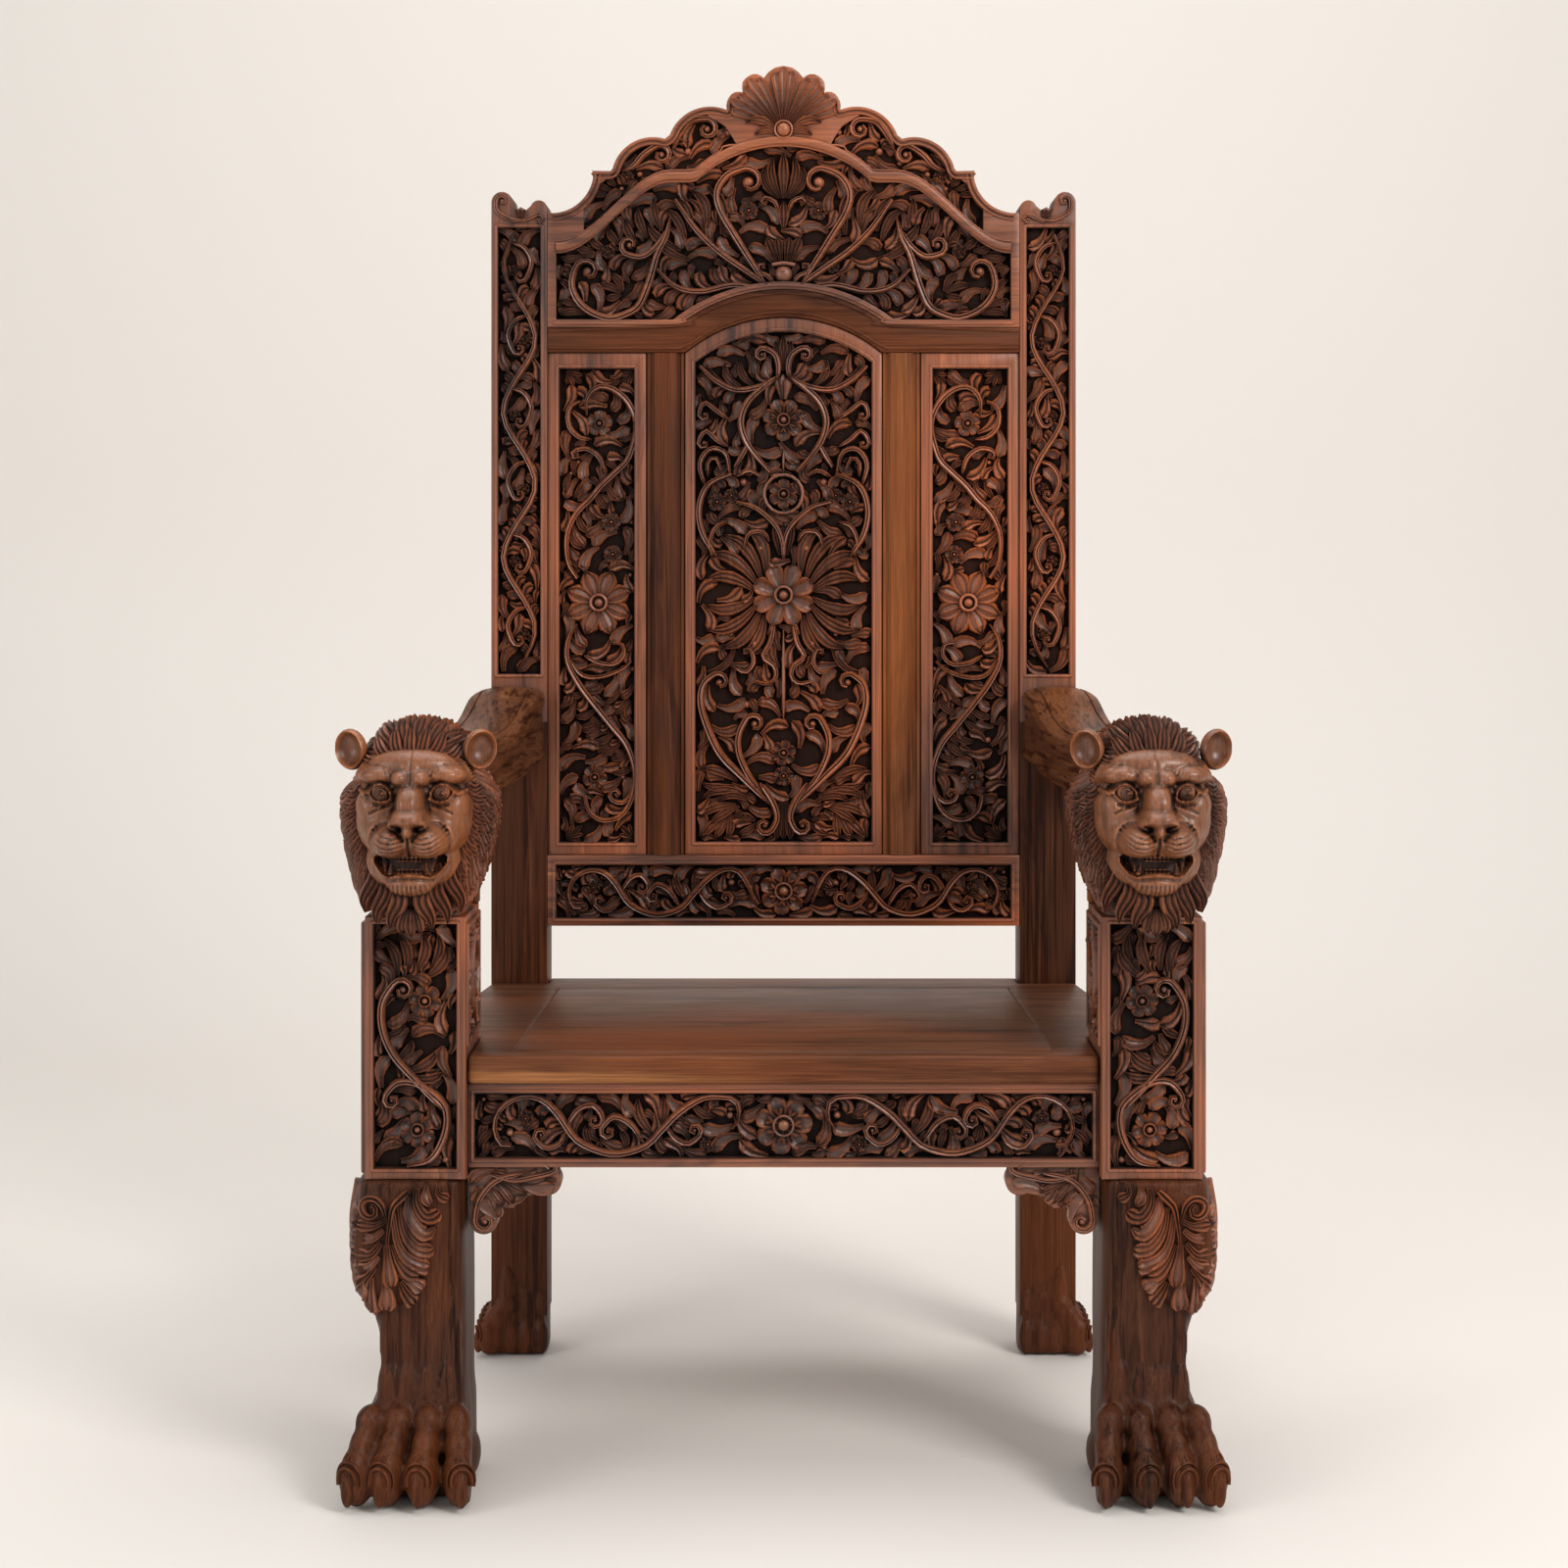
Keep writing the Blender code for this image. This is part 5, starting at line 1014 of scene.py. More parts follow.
def crest_edge():
    """The right half of the crest's top edge, from the stile to the middle."""
    sweep = arc((0.2930, 1.4955), 0.0530, 268, 185, 16)
    step = [(0.2420, 1.4960), (0.2185, 1.4955)]
    lobe_low = arc((0.1650, 1.4860), 0.0525, 14, 107, 18)
    lobe_high = [*arc((0.0925, 1.5225), 0.0545, 20, 106, 17), (0.0715, 1.5728)]
    shell = []
    for lean, turns in ((62, (-7, -3, 1, 5, 9, 12)), (35, (-14, -11, -7, -3, 1, 5, 9, 12))):
        middle = math.radians(90 - lean)
        for turn in turns:
            a = middle + math.radians(turn)
            share = 1.0 - 0.16 * abs(turn / 14) ** 3
            shell.append((0.0790 * share * math.cos(a), 1.55 + 0.0790 * share * math.sin(a)))
    crown = [(0.0250, 1.6130), (0.0190, 1.6205), (0.0110, 1.6262)]
    return sweep + step + lobe_low + lobe_high + shell + crown


def moulding_line(x):
    """Height of the round moulding under the crest's border."""
    shoulder, foot = 0.1125, 0.2850
    if x < shoulder:
        rise = 1.5344 - 1.4890
        radius = (shoulder**2 + rise**2) / (2 * rise)
        return 1.5344 - radius + math.sqrt(radius**2 - x * x)
    t = max(0.0, min(1.0, (foot - x) / (foot - shoulder - 0.03)))
    return mix(1.3994, 1.4890, t * t * (3 - 2 * t))


def crest():
    """The crest board: a field under a moulding, a border over it and the shell on top."""
    bm = bmesh.new()
    right = crest_edge()
    edge = STILE_INNER - GAP
    right = [p for p in right if p[0] < edge - 0.001]
    top = [*right, (0.0, 1.6284), *mirror_path(right[::-1])]
    foot = arch(0.1355, MID_RAIL[1] + GAP, 0.0480, 25)
    outline = [(-edge, MID_RAIL[1] + GAP), *foot, (edge, MID_RAIL[1] + GAP), (edge, 1.4425), *top,
            (-edge, 1.4425)]
    xs = np.linspace(0.2870, 0.0, 32)
    under = [(x, moulding_line(x) - 0.0055) for x in xs]
    floor_foot = arch(0.1395, MID_RAIL[1] + 0.010, 0.0480, 25)
    field = [(-0.287, MID_RAIL[1] + 0.010), *floor_foot, (0.287, MID_RAIL[1] + 0.010), *under,
             *mirror_path(under[::-1])[1:]]
    over = [(x, moulding_line(x) + 0.0065) for x in np.linspace(0.2520, 0.060, 24)]
    rim = 0.0105
    lobe_low = arc((0.1650, 1.4860), 0.0525 - rim, 16, 96, 12)
    lobe_high = arc((0.0925, 1.5225), 0.0545 - rim, 22, 84, 10)
    border = [*over, (0.0640, 1.5370), (0.0740, 1.5520), *lobe_high[::-1], (0.1420, 1.5300),
            *lobe_low[::-1], (0.2240, 1.4850), *arc((0.2930, 1.4955), 0.0635, 195, 230, 6)]
    place = facing(FORWARD, (0, STILE_FACE, 0))
    sunk_board(bm, outline, [field, border, mirror_path(border[::-1])], 0.044, SUNK, place)
    surface = flat_surface(FORWARD, (0, STILE_FACE, 0))
    relief = Relief(bm, surface, field, seed=81)
    crest_mouldings(relief, right, xs)
    crest_field(relief)
    for side in (-1, 1):
        loop = [(side * x, y) for x, y in border]
        crest_border(Relief(bm, surface, loop, seed=82), side)
    crest_shell(Relief(bm, surface, top, floor=0.0, seed=83))
    return bm


def crest_mouldings(relief, right, xs):
    """The round moulding between field and border, and the bead that follows the top edge."""
    line = [(x, moulding_line(x)) for x in xs]
    whole = [*line, *mirror_path(line[::-1])[1:]]
    bead(relief, whole, 0.0058, 0.0040, rows=90)
    bead(relief, [(x, y - 0.0068) for x, y in whole], 0.0014, 0.0014, rows=90)
    bead(relief, [(x, y + 0.0072) for x, y in whole if abs(x) > 0.062][:26], 0.0013, 0.0012, rows=40)
    bead(relief, mirror_path([(x, y + 0.0072) for x, y in whole if abs(x) > 0.062][:26]), 0.0013, 0.0012,
            rows=40)
    rim = [p for p in right if p[0] > 0.070]
    inner = []
    for i, p in enumerate(rim):
        a, b = np.array(rim[max(0, i - 1)]), np.array(rim[min(len(rim) - 1, i + 1)])
        ahead = (b - a) / max(1e-9, np.linalg.norm(b - a))
        inner.append(np.array(p) + np.array((-ahead[1], ahead[0])) * 0.0028)
    for side in (1, -1):
        for out, wide, tall in ((0.0, 0.0024, 0.0030), (0.0058, 0.0016, 0.0018)):
            path = [(side * p[0], p[1]) for p in offset_path(inner, out)]
            bead(relief, path, wide, tall, rows=70)
    foot = arch(0.1375, MID_RAIL[1] + 0.0052, 0.0480, 25)
    bead(relief, [(-0.290, MID_RAIL[1] + 0.0052), *foot, (0.290, MID_RAIL[1] + 0.0052)], 0.0019, 0.0016,
            rows=90)


def offset_path(path, by):
    """The path moved to its left."""
    pts = np.array([tuple(p) for p in path])
    ahead = np.gradient(pts, axis=0)
    ahead /= np.maximum(np.linalg.norm(ahead, axis=1), 1e-9)[:, None]
    return pts + np.column_stack((-ahead[:, 1], ahead[:, 0])) * by


def crest_field(relief):
    """Palmette, vase and great scrolls under the moulding."""
    for lean, long, wide in ((0, 0.052, 7.5), (-0.011, 0.046, 6.5), (0.011, 0.046, 6.5),
            (-0.019, 0.036, 5.5), (0.019, 0.036, 5.5)):
        relief.leaf((lean * 0.35, 1.462), (lean * 1.15, 1.468 + long), wide * 0.001, lean * -12, 0.0108)
    for lean in (-0.0165, 0.0165, -0.006, 0.006):
        relief.leaf((lean * 0.5, 1.380), (lean * 1.25, 1.412), 0.0068, 0, 0.0110, outline=LOBE,
                section=RIPPLE)
    relief.leaf((0, 1.424), (0, 1.458), 0.0080, 0, 0.0105, section=RIPPLE)
    relief.ball((0, 1.366), 0.0125, 0.0105)
    relief.cut([(-0.0145, 1.3545), (0, 1.3525), (0.0145, 1.3545)], 0.0032, 0.0100, EVEN, ROUND, rows=9)
    relief.cut([(-0.0145, 1.3775), (0, 1.3795), (0.0145, 1.3775)], 0.0030, 0.0100, EVEN, ROUND, rows=9)
    for side in (-1, 1):
        sketch = Sketch(relief, side)
        sketch.volute([(6, 1444), (10, 1456), (20, 1462)], 0.0058, -1, 0.0026, 0.0096)
        big = sketch.volute([(143, 1438), (149, 1413), (160, 1391), (167, 1367), (174, 1346), (184, 1325),
                (200, 1315), (221, 1310), (244, 1318), (260, 1332), (268, 1352), (264, 1372)], 0.0165, 1,
                0.0042, 0.0108, turns=0.72)
        second = sketch.volute([(146, 1424), (160, 1402), (178, 1388), (196, 1390)], 0.0125, 1, 0.0034,
                0.0100, turns=0.8)
        third = sketch.volute([(22, 1352), (40, 1380), (60, 1412), (80, 1446), (84, 1470), (72, 1490),
                (52, 1499)], 0.0190, 1, 0.0040, 0.0108, turns=0.62)
        fourth = sketch.stem([(18, 1350), (50, 1372), (84, 1396), (112, 1424), (137, 1460)], 0.0036, 0.0104)
        fifth = sketch.stem([(20, 1345), (62, 1352), (104, 1344), (136, 1350), (160, 1372)], 0.0034, 0.0100)
        sketch.volute([(12, 1352), (18, 1362), (30, 1368)], 0.0070, 1, 0.0028, 0.0098, turns=0.8)
        sketch.leaves([(root, tip, wide, bend) for tip, root, wide,
                bend in (((137, 1462), (118, 1420), 7.5, 0.15), ((116, 1472), (98, 1424), 7.5, 0.18),
                ((97, 1476), (78, 1416), 7.5, 0.18), ((150, 1448), (124, 1408), 7.0, 0.12),
                ((172, 1430), (130, 1396), 7.0, -0.12), ((160, 1412), (118, 1384), 6.5, -0.15))], 0.0100)
        sketch.leaves((((250, 1316), (284, 1314), 6.0, 0.1), ((256, 1322), (284, 1332), 6.0, 0.1),
                ((266, 1344), (284, 1358), 5.5, 0.1), ((190, 1318), (176, 1312), 4.5, 0.1),
                ((206, 1342), (236, 1350), 6.0, 0.15), ((206, 1340), (226, 1336), 5.5, -0.1),
                ((204, 1344), (220, 1366), 6.0, 0.15), ((252, 1390), (282, 1388), 6.5, -0.15),
                ((240, 1396), (262, 1402), 6.0, -0.15), ((226, 1398), (244, 1412), 6.0, -0.12),
                ((208, 1404), (222, 1424), 6.0, -0.1), ((186, 1404), (200, 1436), 6.5, -0.1),
                ((172, 1412), (184, 1450), 6.5, -0.1), ((158, 1424), (164, 1462), 6.5, -0.05)), 0.0096)
        sketch.blossom((222, 1394), 0.0090, 5)
        sketch.blossom((44, 1446), 0.0120, 5)
        sketch.blossom((62, 1376), 0.0090, 5)
        for spine in (big, second, third, fourth, fifth):
            relief.sprout(spine, 0.032, 0.0060, 0.0125)
    relief.fill(most=170)


def crest_border(relief, side):
    """Leaf scrolls between the moulding and the scalloped edge."""
    sketch = Sketch(relief, side)
    one = sketch.volute([(204, 1496), (190, 1502), (178, 1516), (162, 1527)], 0.0130, 1, 0.0034, 0.0100)
    two = sketch.volute([(140, 1524), (132, 1540), (118, 1558), (100, 1562)], 0.0135, 1, 0.0034, 0.0100)
    sketch.balls((70, 1545, 4.6), (121, 1521, 5.0), (147, 1506, 3.6), (182, 1492, 4.2), (205, 1474, 3.4))
    sketch.blossom((198, 1488), 0.0090, 5)
    for root, tip in (((218, 1472), (236, 1478)), ((222, 1466), (244, 1468)), ((212, 1478), (224, 1486))):
        relief.leaf(*sketch.at([root, tip]), 0.0050, 0, 0.0095)
    for spine in (one, two):
        relief.sprout(spine, 0.022, 0.0050, 0.011)
    relief.fill(most=60)


def crest_shell(relief):
    """The fluted shell at the top, fanned from a button."""
    for lean, reach in ((62, 0.076), (35, 0.076), (0, 0.077)):
        for side in ((-1, 1) if lean else (1,)):
            for turn, share, wide in ((-9, 0.93, 4.6), (0, 1.0, 5.2), (9, 0.95, 4.6)):
                a = math.radians(90 - side * (lean + turn))
                ray = np.array((math.cos(a), math.sin(a)))
                root = np.array((0, 1.549)) + ray * 0.010
                tip = np.array((0, 1.549)) + ray * reach * share
                relief.cut([root, (root * 0.45 + tip * 0.55), tip], wide * 0.001 * 1.25, 0.0062,
                        ((0, 0.28), (0.5, 0.72), (0.85, 1.0), (0.96, 0.8), (1, 0.3)), CUPPED, RISING,
                        rows=12, base=-0.0008)
    for side in (-1, 1):
        relief.leaf((side * 0.008, 1.543), (side * 0.036, 1.5405), 0.0052, side * 0.2, 0.0060)
        relief.leaf((side * 0.010, 1.547), (side * 0.048, 1.5560), 0.0062, side * 0.2, 0.0064)
    relief.ball((0, 1.5475), 0.0095, 0.0085)
    relief.ring((0, 1.5475), 0.0110, 0.0016, 0.0048)


# Front posts

def post(side):
    """The carved post between leg and lion head."""
    bm = bmesh.new()
    half = (POST_OUT - POST_IN) / 2
    middle = side * POST_X
    deep = POST_REAR - POST_FACE
    front_field = rectangle(middle - half + 0.010, middle + half - 0.010, POST_LOW + 0.012, 0.614)
    sunk_board(bm, rectangle(middle - half, middle + half, POST_LOW, POST_HIGH), [front_field], deep, 0.010,
               facing(FORWARD, (0, POST_FACE, 0)), ease=0.0020)
    relief = Relief(bm, flat_surface(FORWARD, (0, POST_FACE, 0)), front_field, floor=-0.010,
            seed=91 if side < 0 else 92)
    a, b = sorted((middle - half + 0.010, middle + half - 0.010))
    frame_beads(relief, a, b, POST_LOW + 0.012, 0.614, 0.0024)
    sketch = Sketch(relief, side, 0.397, 0.350)
    low = sketch.volute([(9, 3), (-17, 11), (-32, 38), (-33, 64), (-19, 81), (1, 93), (20, 93), (32, 80)],
            0.0090, -1, 0.0036, 0.0098)
    high = sketch.volute([(-30, 64), (1, 97), (24, 123), (36, 152), (36, 179), (24, 199)], 0.0120, 1,
            0.0036, 0.0098)
    sketch.blossom((-2, 42), 0.0190, 6, crown=0.0100)
    sketch.blossom((-10, 181), 0.0180, 6, crown=0.0100)
    sketch.balls((-32, 9, 4.2))
    for root, tip, wide in (
            ((10, 104), (-24, 128), 7), ((4, 98), (-30, 104), 6.5), ((20, 118), (4, 138), 6),
            ((10, 214), (18, 252), 7), ((20, 208), (34, 248), 6.5), ((0, 212), (-8, 254), 7),
            ((-12, 206), (-34, 240), 7), ((34, 142), (12, 156), 5.5), ((-16, 214), (-24, 254), 6)):
        relief.leaf(*sketch.at([root, tip]), wide * 0.001, 0.15 * side, 0.0095)
    for spine in (low, high):
        relief.sprout(spine, 0.030, 0.0060, 0.0125)
    relief.fill(most=80)
    # The outer face
    centre = (POST_FACE + POST_REAR) / 2
    wide = deep / 2
    outer_field = rectangle(-wide + 0.012, wide - 0.012, POST_LOW + 0.013, 0.610)
    sunk_board(bm, rectangle(-wide + 0.006, wide - 0.006, POST_LOW + 0.006, 0.616), [outer_field], 0.012,
            0.009, facing((side, 0, 0), (side * (POST_OUT + 0.005), centre, 0)), ease=0.0020)
    outer = Relief(bm, flat_surface((side, 0, 0), (side * (POST_OUT + 0.005), centre, 0)), outer_field,
            floor=-0.009, seed=93 if side < 0 else 94)
    running_scroll(outer, lambda u, v: (v, POST_LOW + 0.018 + u), 0.250, 0.088, 2, side, 0.020)
    # The strip on the inner face, above the seat
    inner_low = SEAT_TOP + 0.012
    inner_field = rectangle(-wide + 0.012, wide - 0.012, inner_low + 0.006, 0.608)
    sunk_board(bm, rectangle(-wide + 0.005, wide - 0.005, inner_low, 0.614), [inner_field], 0.010, 0.007,
               facing((-side, 0, 0), (side * (POST_IN - 0.003), centre, 0)), ease=0.0015)
    inner = Relief(bm, flat_surface((-side, 0, 0), (side * (POST_IN - 0.003), centre, 0)), inner_field,
            floor=-0.007, seed=95 if side < 0 else 96)
    running_scroll(inner, lambda u, v: (v, inner_low + 0.010 + u), 0.112, 0.080, 1, side, 0.018)
    return bm


# Forms in the round

def egg(bm, centre, radii, turn=(0, 0, 0)):
    """An egg shape with its own radii and turn, in degrees."""
    spin = Matrix.Rotation(math.radians(turn[2]), 4, "Z") @ Matrix.Rotation(math.radians(turn[1]), 4, "Y")
    spin = spin @ Matrix.Rotation(math.radians(turn[0]), 4, "X")
    bmesh.ops.create_icosphere(bm, subdivisions=3, radius=1.0,
                               matrix=Matrix.Translation(centre) @ spin @ Matrix.Diagonal((*radii, 1)))


def squared_loft(bm, sections, corners=24, squareness=3.2):
    """A closed skin through rounded rectangles. Each section is (x0, x1, y0, y1, z), from the top down."""
    rows = []
    for x0, x1, y0, y1, z in sections:
        a = 2 * math.pi * np.arange(corners) / corners
        c, s = np.cos(a), np.sin(a)
        reach = (np.abs(c)**squareness + np.abs(s)**squareness) ** (-1 / squareness)
        rows.append(np.column_stack((mix(x0, x1, 0.5 + 0.5 * c * reach), mix(y0, y1, 0.5 - 0.5 * s * reach),
                                     np.full(corners, z))))
    tube(bm, np.array(rows))


def skinned(bm, voxel, passes):
    """One closed skin over everything in the bmesh, smoothed. Gives the skin as a new bmesh."""
    mesh = bpy.data.meshes.new("skin")
    bmesh.ops.recalc_face_normals(bm, faces=bm.faces)
    bm.to_mesh(mesh)
    bm.free()
    body = bpy.data.objects.new("skin", mesh)
    bpy.context.scene.collection.objects.link(body)
    skin = body.modifiers.new("skin", "REMESH")
    skin.mode = "VOXEL"
    skin.voxel_size = voxel
    soften = body.modifiers.new("soften", "SMOOTH")
    soften.factor = 0.5
    soften.iterations = passes
    bpy.context.view_layer.update()
    graph = bpy.context.evaluated_depsgraph_get()
    made = bmesh.new()
    out = bpy.data.meshes.new_from_object(body.evaluated_get(graph))
    made.from_mesh(out)
    bpy.data.objects.remove(body)
    for spare in (mesh, out):
        bpy.data.meshes.remove(spare)
    return made


def verts_of(bm):
    return np.array([v.co[:] for v in bm.verts])


def set_verts(bm, co):
    for v, p in zip(bm.verts, co):
        v.co = p


def ribbon(bm, path, normals, half, crown, outline=LOCK, section=RIPPLE, heights=HUMPED, rows=12,
        sink=0.003):
    """One cut of carving along a path in space, standing on the given normals."""
    both = smooth_path(np.hstack((np.asarray(path, float), np.asarray(normals, float))), rows)
    spine, up = both[:, :3], both[:, 3:]
    up /= np.maximum(np.linalg.norm(up, axis=1), 1e-9)[:, None]
    ahead = np.gradient(spine, axis=0)
    ahead /= np.maximum(np.linalg.norm(ahead, axis=1), 1e-9)[:, None]
    left = np.cross(up, ahead)
    left /= np.maximum(np.linalg.norm(left, axis=1), 1e-9)[:, None]
    t = np.linspace(0, 1, rows)
    halves, tops = half * profile(outline, t), crown * profile(heights, t)
    shape = np.array((*section, (-0.9, None), (0.9, None)), dtype=float)
    low = np.isnan(shape[:, 1])
    rise = np.where(low[None, :], -sink, tops[:, None] * np.nan_to_num(shape[:, 1])[None, :])
    grid = (spine[:, None, :] + left[:, None, :] * (halves[:, None] * shape[None, :, 0])[:, :, None]
            + up[:, None, :] * rise[:, :, None])
    tube(bm, grid)


def laid_path(tree, points, direction, lift=0.0):
    """Points dropped onto a skin along a direction, with the skin's normals."""
    along = Vector(direction)
    found, normals = [], []
    for p in points:
        start = Vector(p) - along * 0.3
        hit, normal, _, _ = tree.ray_cast(start, along)
        if hit is None:
            hit, normal, _, _ = tree.find_nearest(Vector(p))
        found.append(hit + normal * lift)
        normals.append(normal)
    normals = np.array([tuple(n) for n in normals])
    if len(normals) > 2:
        normals[1:-1] = (normals[:-2] + normals[1:-1] * 2 + normals[2:]) / 4
    return np.array([tuple(p) for p in found]), normals


# Paws

# Toes of a front paw: how far out its knuckle is, and how far its tip turns out, in degrees
TOES = ((0.4421, 24), (0.4116, 19), (0.3799, 8), (0.3492, -12))
# A toe from its tendon to its tip: reach, height, and radii across, along and up
TOE_FORMS = ((-0.018, 0.110, 0.0125, 0.0145, 0.0400), (0.000, 0.083, 0.0156, 0.0195, 0.0200),
             (0.013, 0.060, 0.0150, 0.0200, 0.0240), (0.026, 0.034, 0.0182, 0.0240, 0.0330))
TIP = TOE_FORMS[-1]


def toe(bm, root, heading, size=1.0):
    """A toe's flesh from its tendon to its round tip."""
    a = math.radians(heading)
    for reach, height, wide, long, high in TOE_FORMS:
        gather = 0.68 if reach < 0 and size == 1.0 else 1.0
        across = math.copysign(0.389 + (abs(root[0]) - 0.389) * gather, root[0])
        centre = (across + max(0.0, reach) * size * math.cos(a), root[1] + reach * size * math.sin(a),
                height * size)
        egg(bm, centre, (long * size, wide * size, high * size), (0, 0, heading))


def claw(bm, root, heading, size=1.0):
    """A hooked claw, the two cuffs round its root and the wrinkles over them."""
    a = math.radians(heading)
    ahead = np.array((math.cos(a), math.sin(a), 0.0)) * size
    aside = np.array((math.sin(a), -math.cos(a), 0.0)) * size
    up = np.array((0.0, 0.0, 1.0)) * size
    start = np.array(root, float)
    reach0, height0, wide, long, high = TIP

    def on_tip(across, height):
        """A place on the round tip and its normal."""
        left = max(0.02, 1 - (across / wide)**2 - ((height - height0) / high)**2)
        out = long * math.sqrt(left)
        normal = ahead * out / long**2 + aside * across / wide**2 + up * (height - height0) / high**2
        return start + ahead * (reach0
                + out) + aside * across + up * height, normal / np.linalg.norm(normal)

    nail = start + ahead * 0.0440 + up * 0.0265
    egg(bm, nail, (0.0088 * size, 0.0076 * size, 0.0205 * size), (0, -5, heading))
    for radius, half, crown in ((0.0098, 0.0022, 0.0034), (0.0138, 0.0018, 0.0024)):
        ring = [on_tip(radius * math.sin(b), 0.0350 + radius * 1.35 * math.cos(b))
                for b in np.radians(range(-112, 113, 16))]
        ribbon(bm, [p for p, n in ring], [n for p, n in ring], half * size, crown * size, STEM, ROUND,
                LEVEL, 20, 0.003)
    for across in (-0.0062, 0.0, 0.0062):
        line = [on_tip(across * k, 0.0560 + h) for k, h in ((1.0, 0.0), (0.9, 0.0025), (0.7, 0.0050))]
        ribbon(bm, [p for p, n in line], [n for p, n in line], 0.0011 * size, 0.0011 * size, POINTED, ROUND,
                LEVEL, 5, 0.002)


def front_leg(side):
    """The cabriole leg: acanthus knee, square shank and clawed paw."""
    body = bmesh.new()
    shapes = [(0.3445, 0.4600, -0.288, -0.148, LEG_TOP), (0.3445, 0.4640, -0.290, -0.148, 0.300),
              (0.3440, 0.4620, -0.288, -0.150, 0.262), (0.3435, 0.4520, -0.285, -0.153, 0.215),
              (0.3430, 0.4400, -0.281, -0.158, 0.175), (0.3430, 0.4330, -0.281, -0.162, 0.142),
              (0.3430, 0.4350, -0.287, -0.164, 0.122), (0.3420, 0.4420, -0.296, -0.165, 0.103),
              (0.3400, 0.4500, -0.301, -0.165, 0.084), (0.3400, 0.4500, -0.296, -0.160, 0.002)]
    squared_loft(body, [(s[0] if side > 0 else -s[1], s[1] if side > 0 else -s[0], s[2] + SHIFT,
            s[3] + SHIFT, s[4]) for s in shapes], corners=40, squareness=6)
    roots = []
    for out, turn in TOES:
        root, heading = (side * out, -0.2720, 0), -90 + side * turn
        toe(body, root, heading)
        roots.append((root, heading))
    for x, lean in ((0.4250, 4), (0.4035, 2), (0.3800, 0), (0.3560, -1)):
        egg(body, (side * x, -0.2545, 0.150), (0.0100, 0.0068, 0.052), (0, side * lean, 0))
    egg(body, (side * 0.4260, -0.2620, 0.268), (0.0370, 0.0085, 0.064))
    egg(body, (side * 0.4600, -0.2050, 0.264), (0.0085, 0.0480, 0.062))
    egg(body, (side * 0.3450, -0.1950, 0.026), (0.0125, 0.0300, 0.0260))
    for y in (-0.205, -0.175):
        egg(body, (side * 0.4420, y, 0.026), (0.0110, 0.0170, 0.0250))
    bm = skinned(body, 0.0030, 7)
    co = verts_of(bm)
    co[:, 2] = np.clip(co[:, 2], 0.0, LEG_TOP)
    co[:, 0] = side * np.clip(side * co[:, 0], 0.3325, 0.4835)
    cut = np.interp(co[:, 2], (0.112, 0.134, 0.179, 0.215, 0.250, 0.330), (0.3500, 0.3510, 0.3535, 0.3580,
            0.3600, 0.3610))
    near = np.exp(-((side * co[:, 0] - cut) / 0.0023)**2) * np.clip((co[:, 2] - 0.108) / 0.03, 0, 1)
    co[:, 1] += 0.0034 * near * (co[:, 1] < -0.245)
    set_verts(bm, co)
    bmesh.ops.recalc_face_normals(bm, faces=bm.faces)
    tree = BVHTree.FromBMesh(bm)
    for root, heading in roots:
        claw(bm, root, heading)
    skin = len(bm.faces)
    knee_leaves(bm, tree, side)
    mark_from(bm, skin)
    return bm


# The knee's leaves from the front: half width, then points across and up, in millimetres
KNEE_LEAVES = (
    (5.5, (426, 299), (439, 293), (455, 294)), (6.5, (428, 289), (441, 280), (461, 280)),
    (7.0, (431, 275), (443, 262), (462, 262)), (6.8, (433, 261), (445, 249), (460, 243)),
    (6.0, (437, 249), (446, 238), (453, 230)), (6.2, (451, 236), (450, 223), (448, 213)),
    (7.2, (442, 238), (443, 216), (440, 196)), (7.2, (427, 238), (425, 218), (426, 201)),
    (6.6, (412, 234), (405, 218), (396, 208)), (6.8, (412, 243), (401, 234), (387, 223)),
    (6.4, (419, 274), (412, 256), (402, 243), (391, 240)), (7.0, (419, 306), (414, 277), (405, 259),
    (392, 250), (380, 249)), (7.0, (412, 312), (407, 287), (396, 270), (384, 266), (376, 268)),
    (6.6, (403, 323), (403, 306), (393, 289), (382, 284), (374, 290)), (6.0, (393, 332), (394, 317),
    (386, 303), (377, 302), (369, 308)), (4.6, (383, 334), (384, 322), (378, 314)),
    (4.4, (371, 334), (371, 326), (364, 320)), (6.4, (425, 274), (423, 250), (420, 228)))


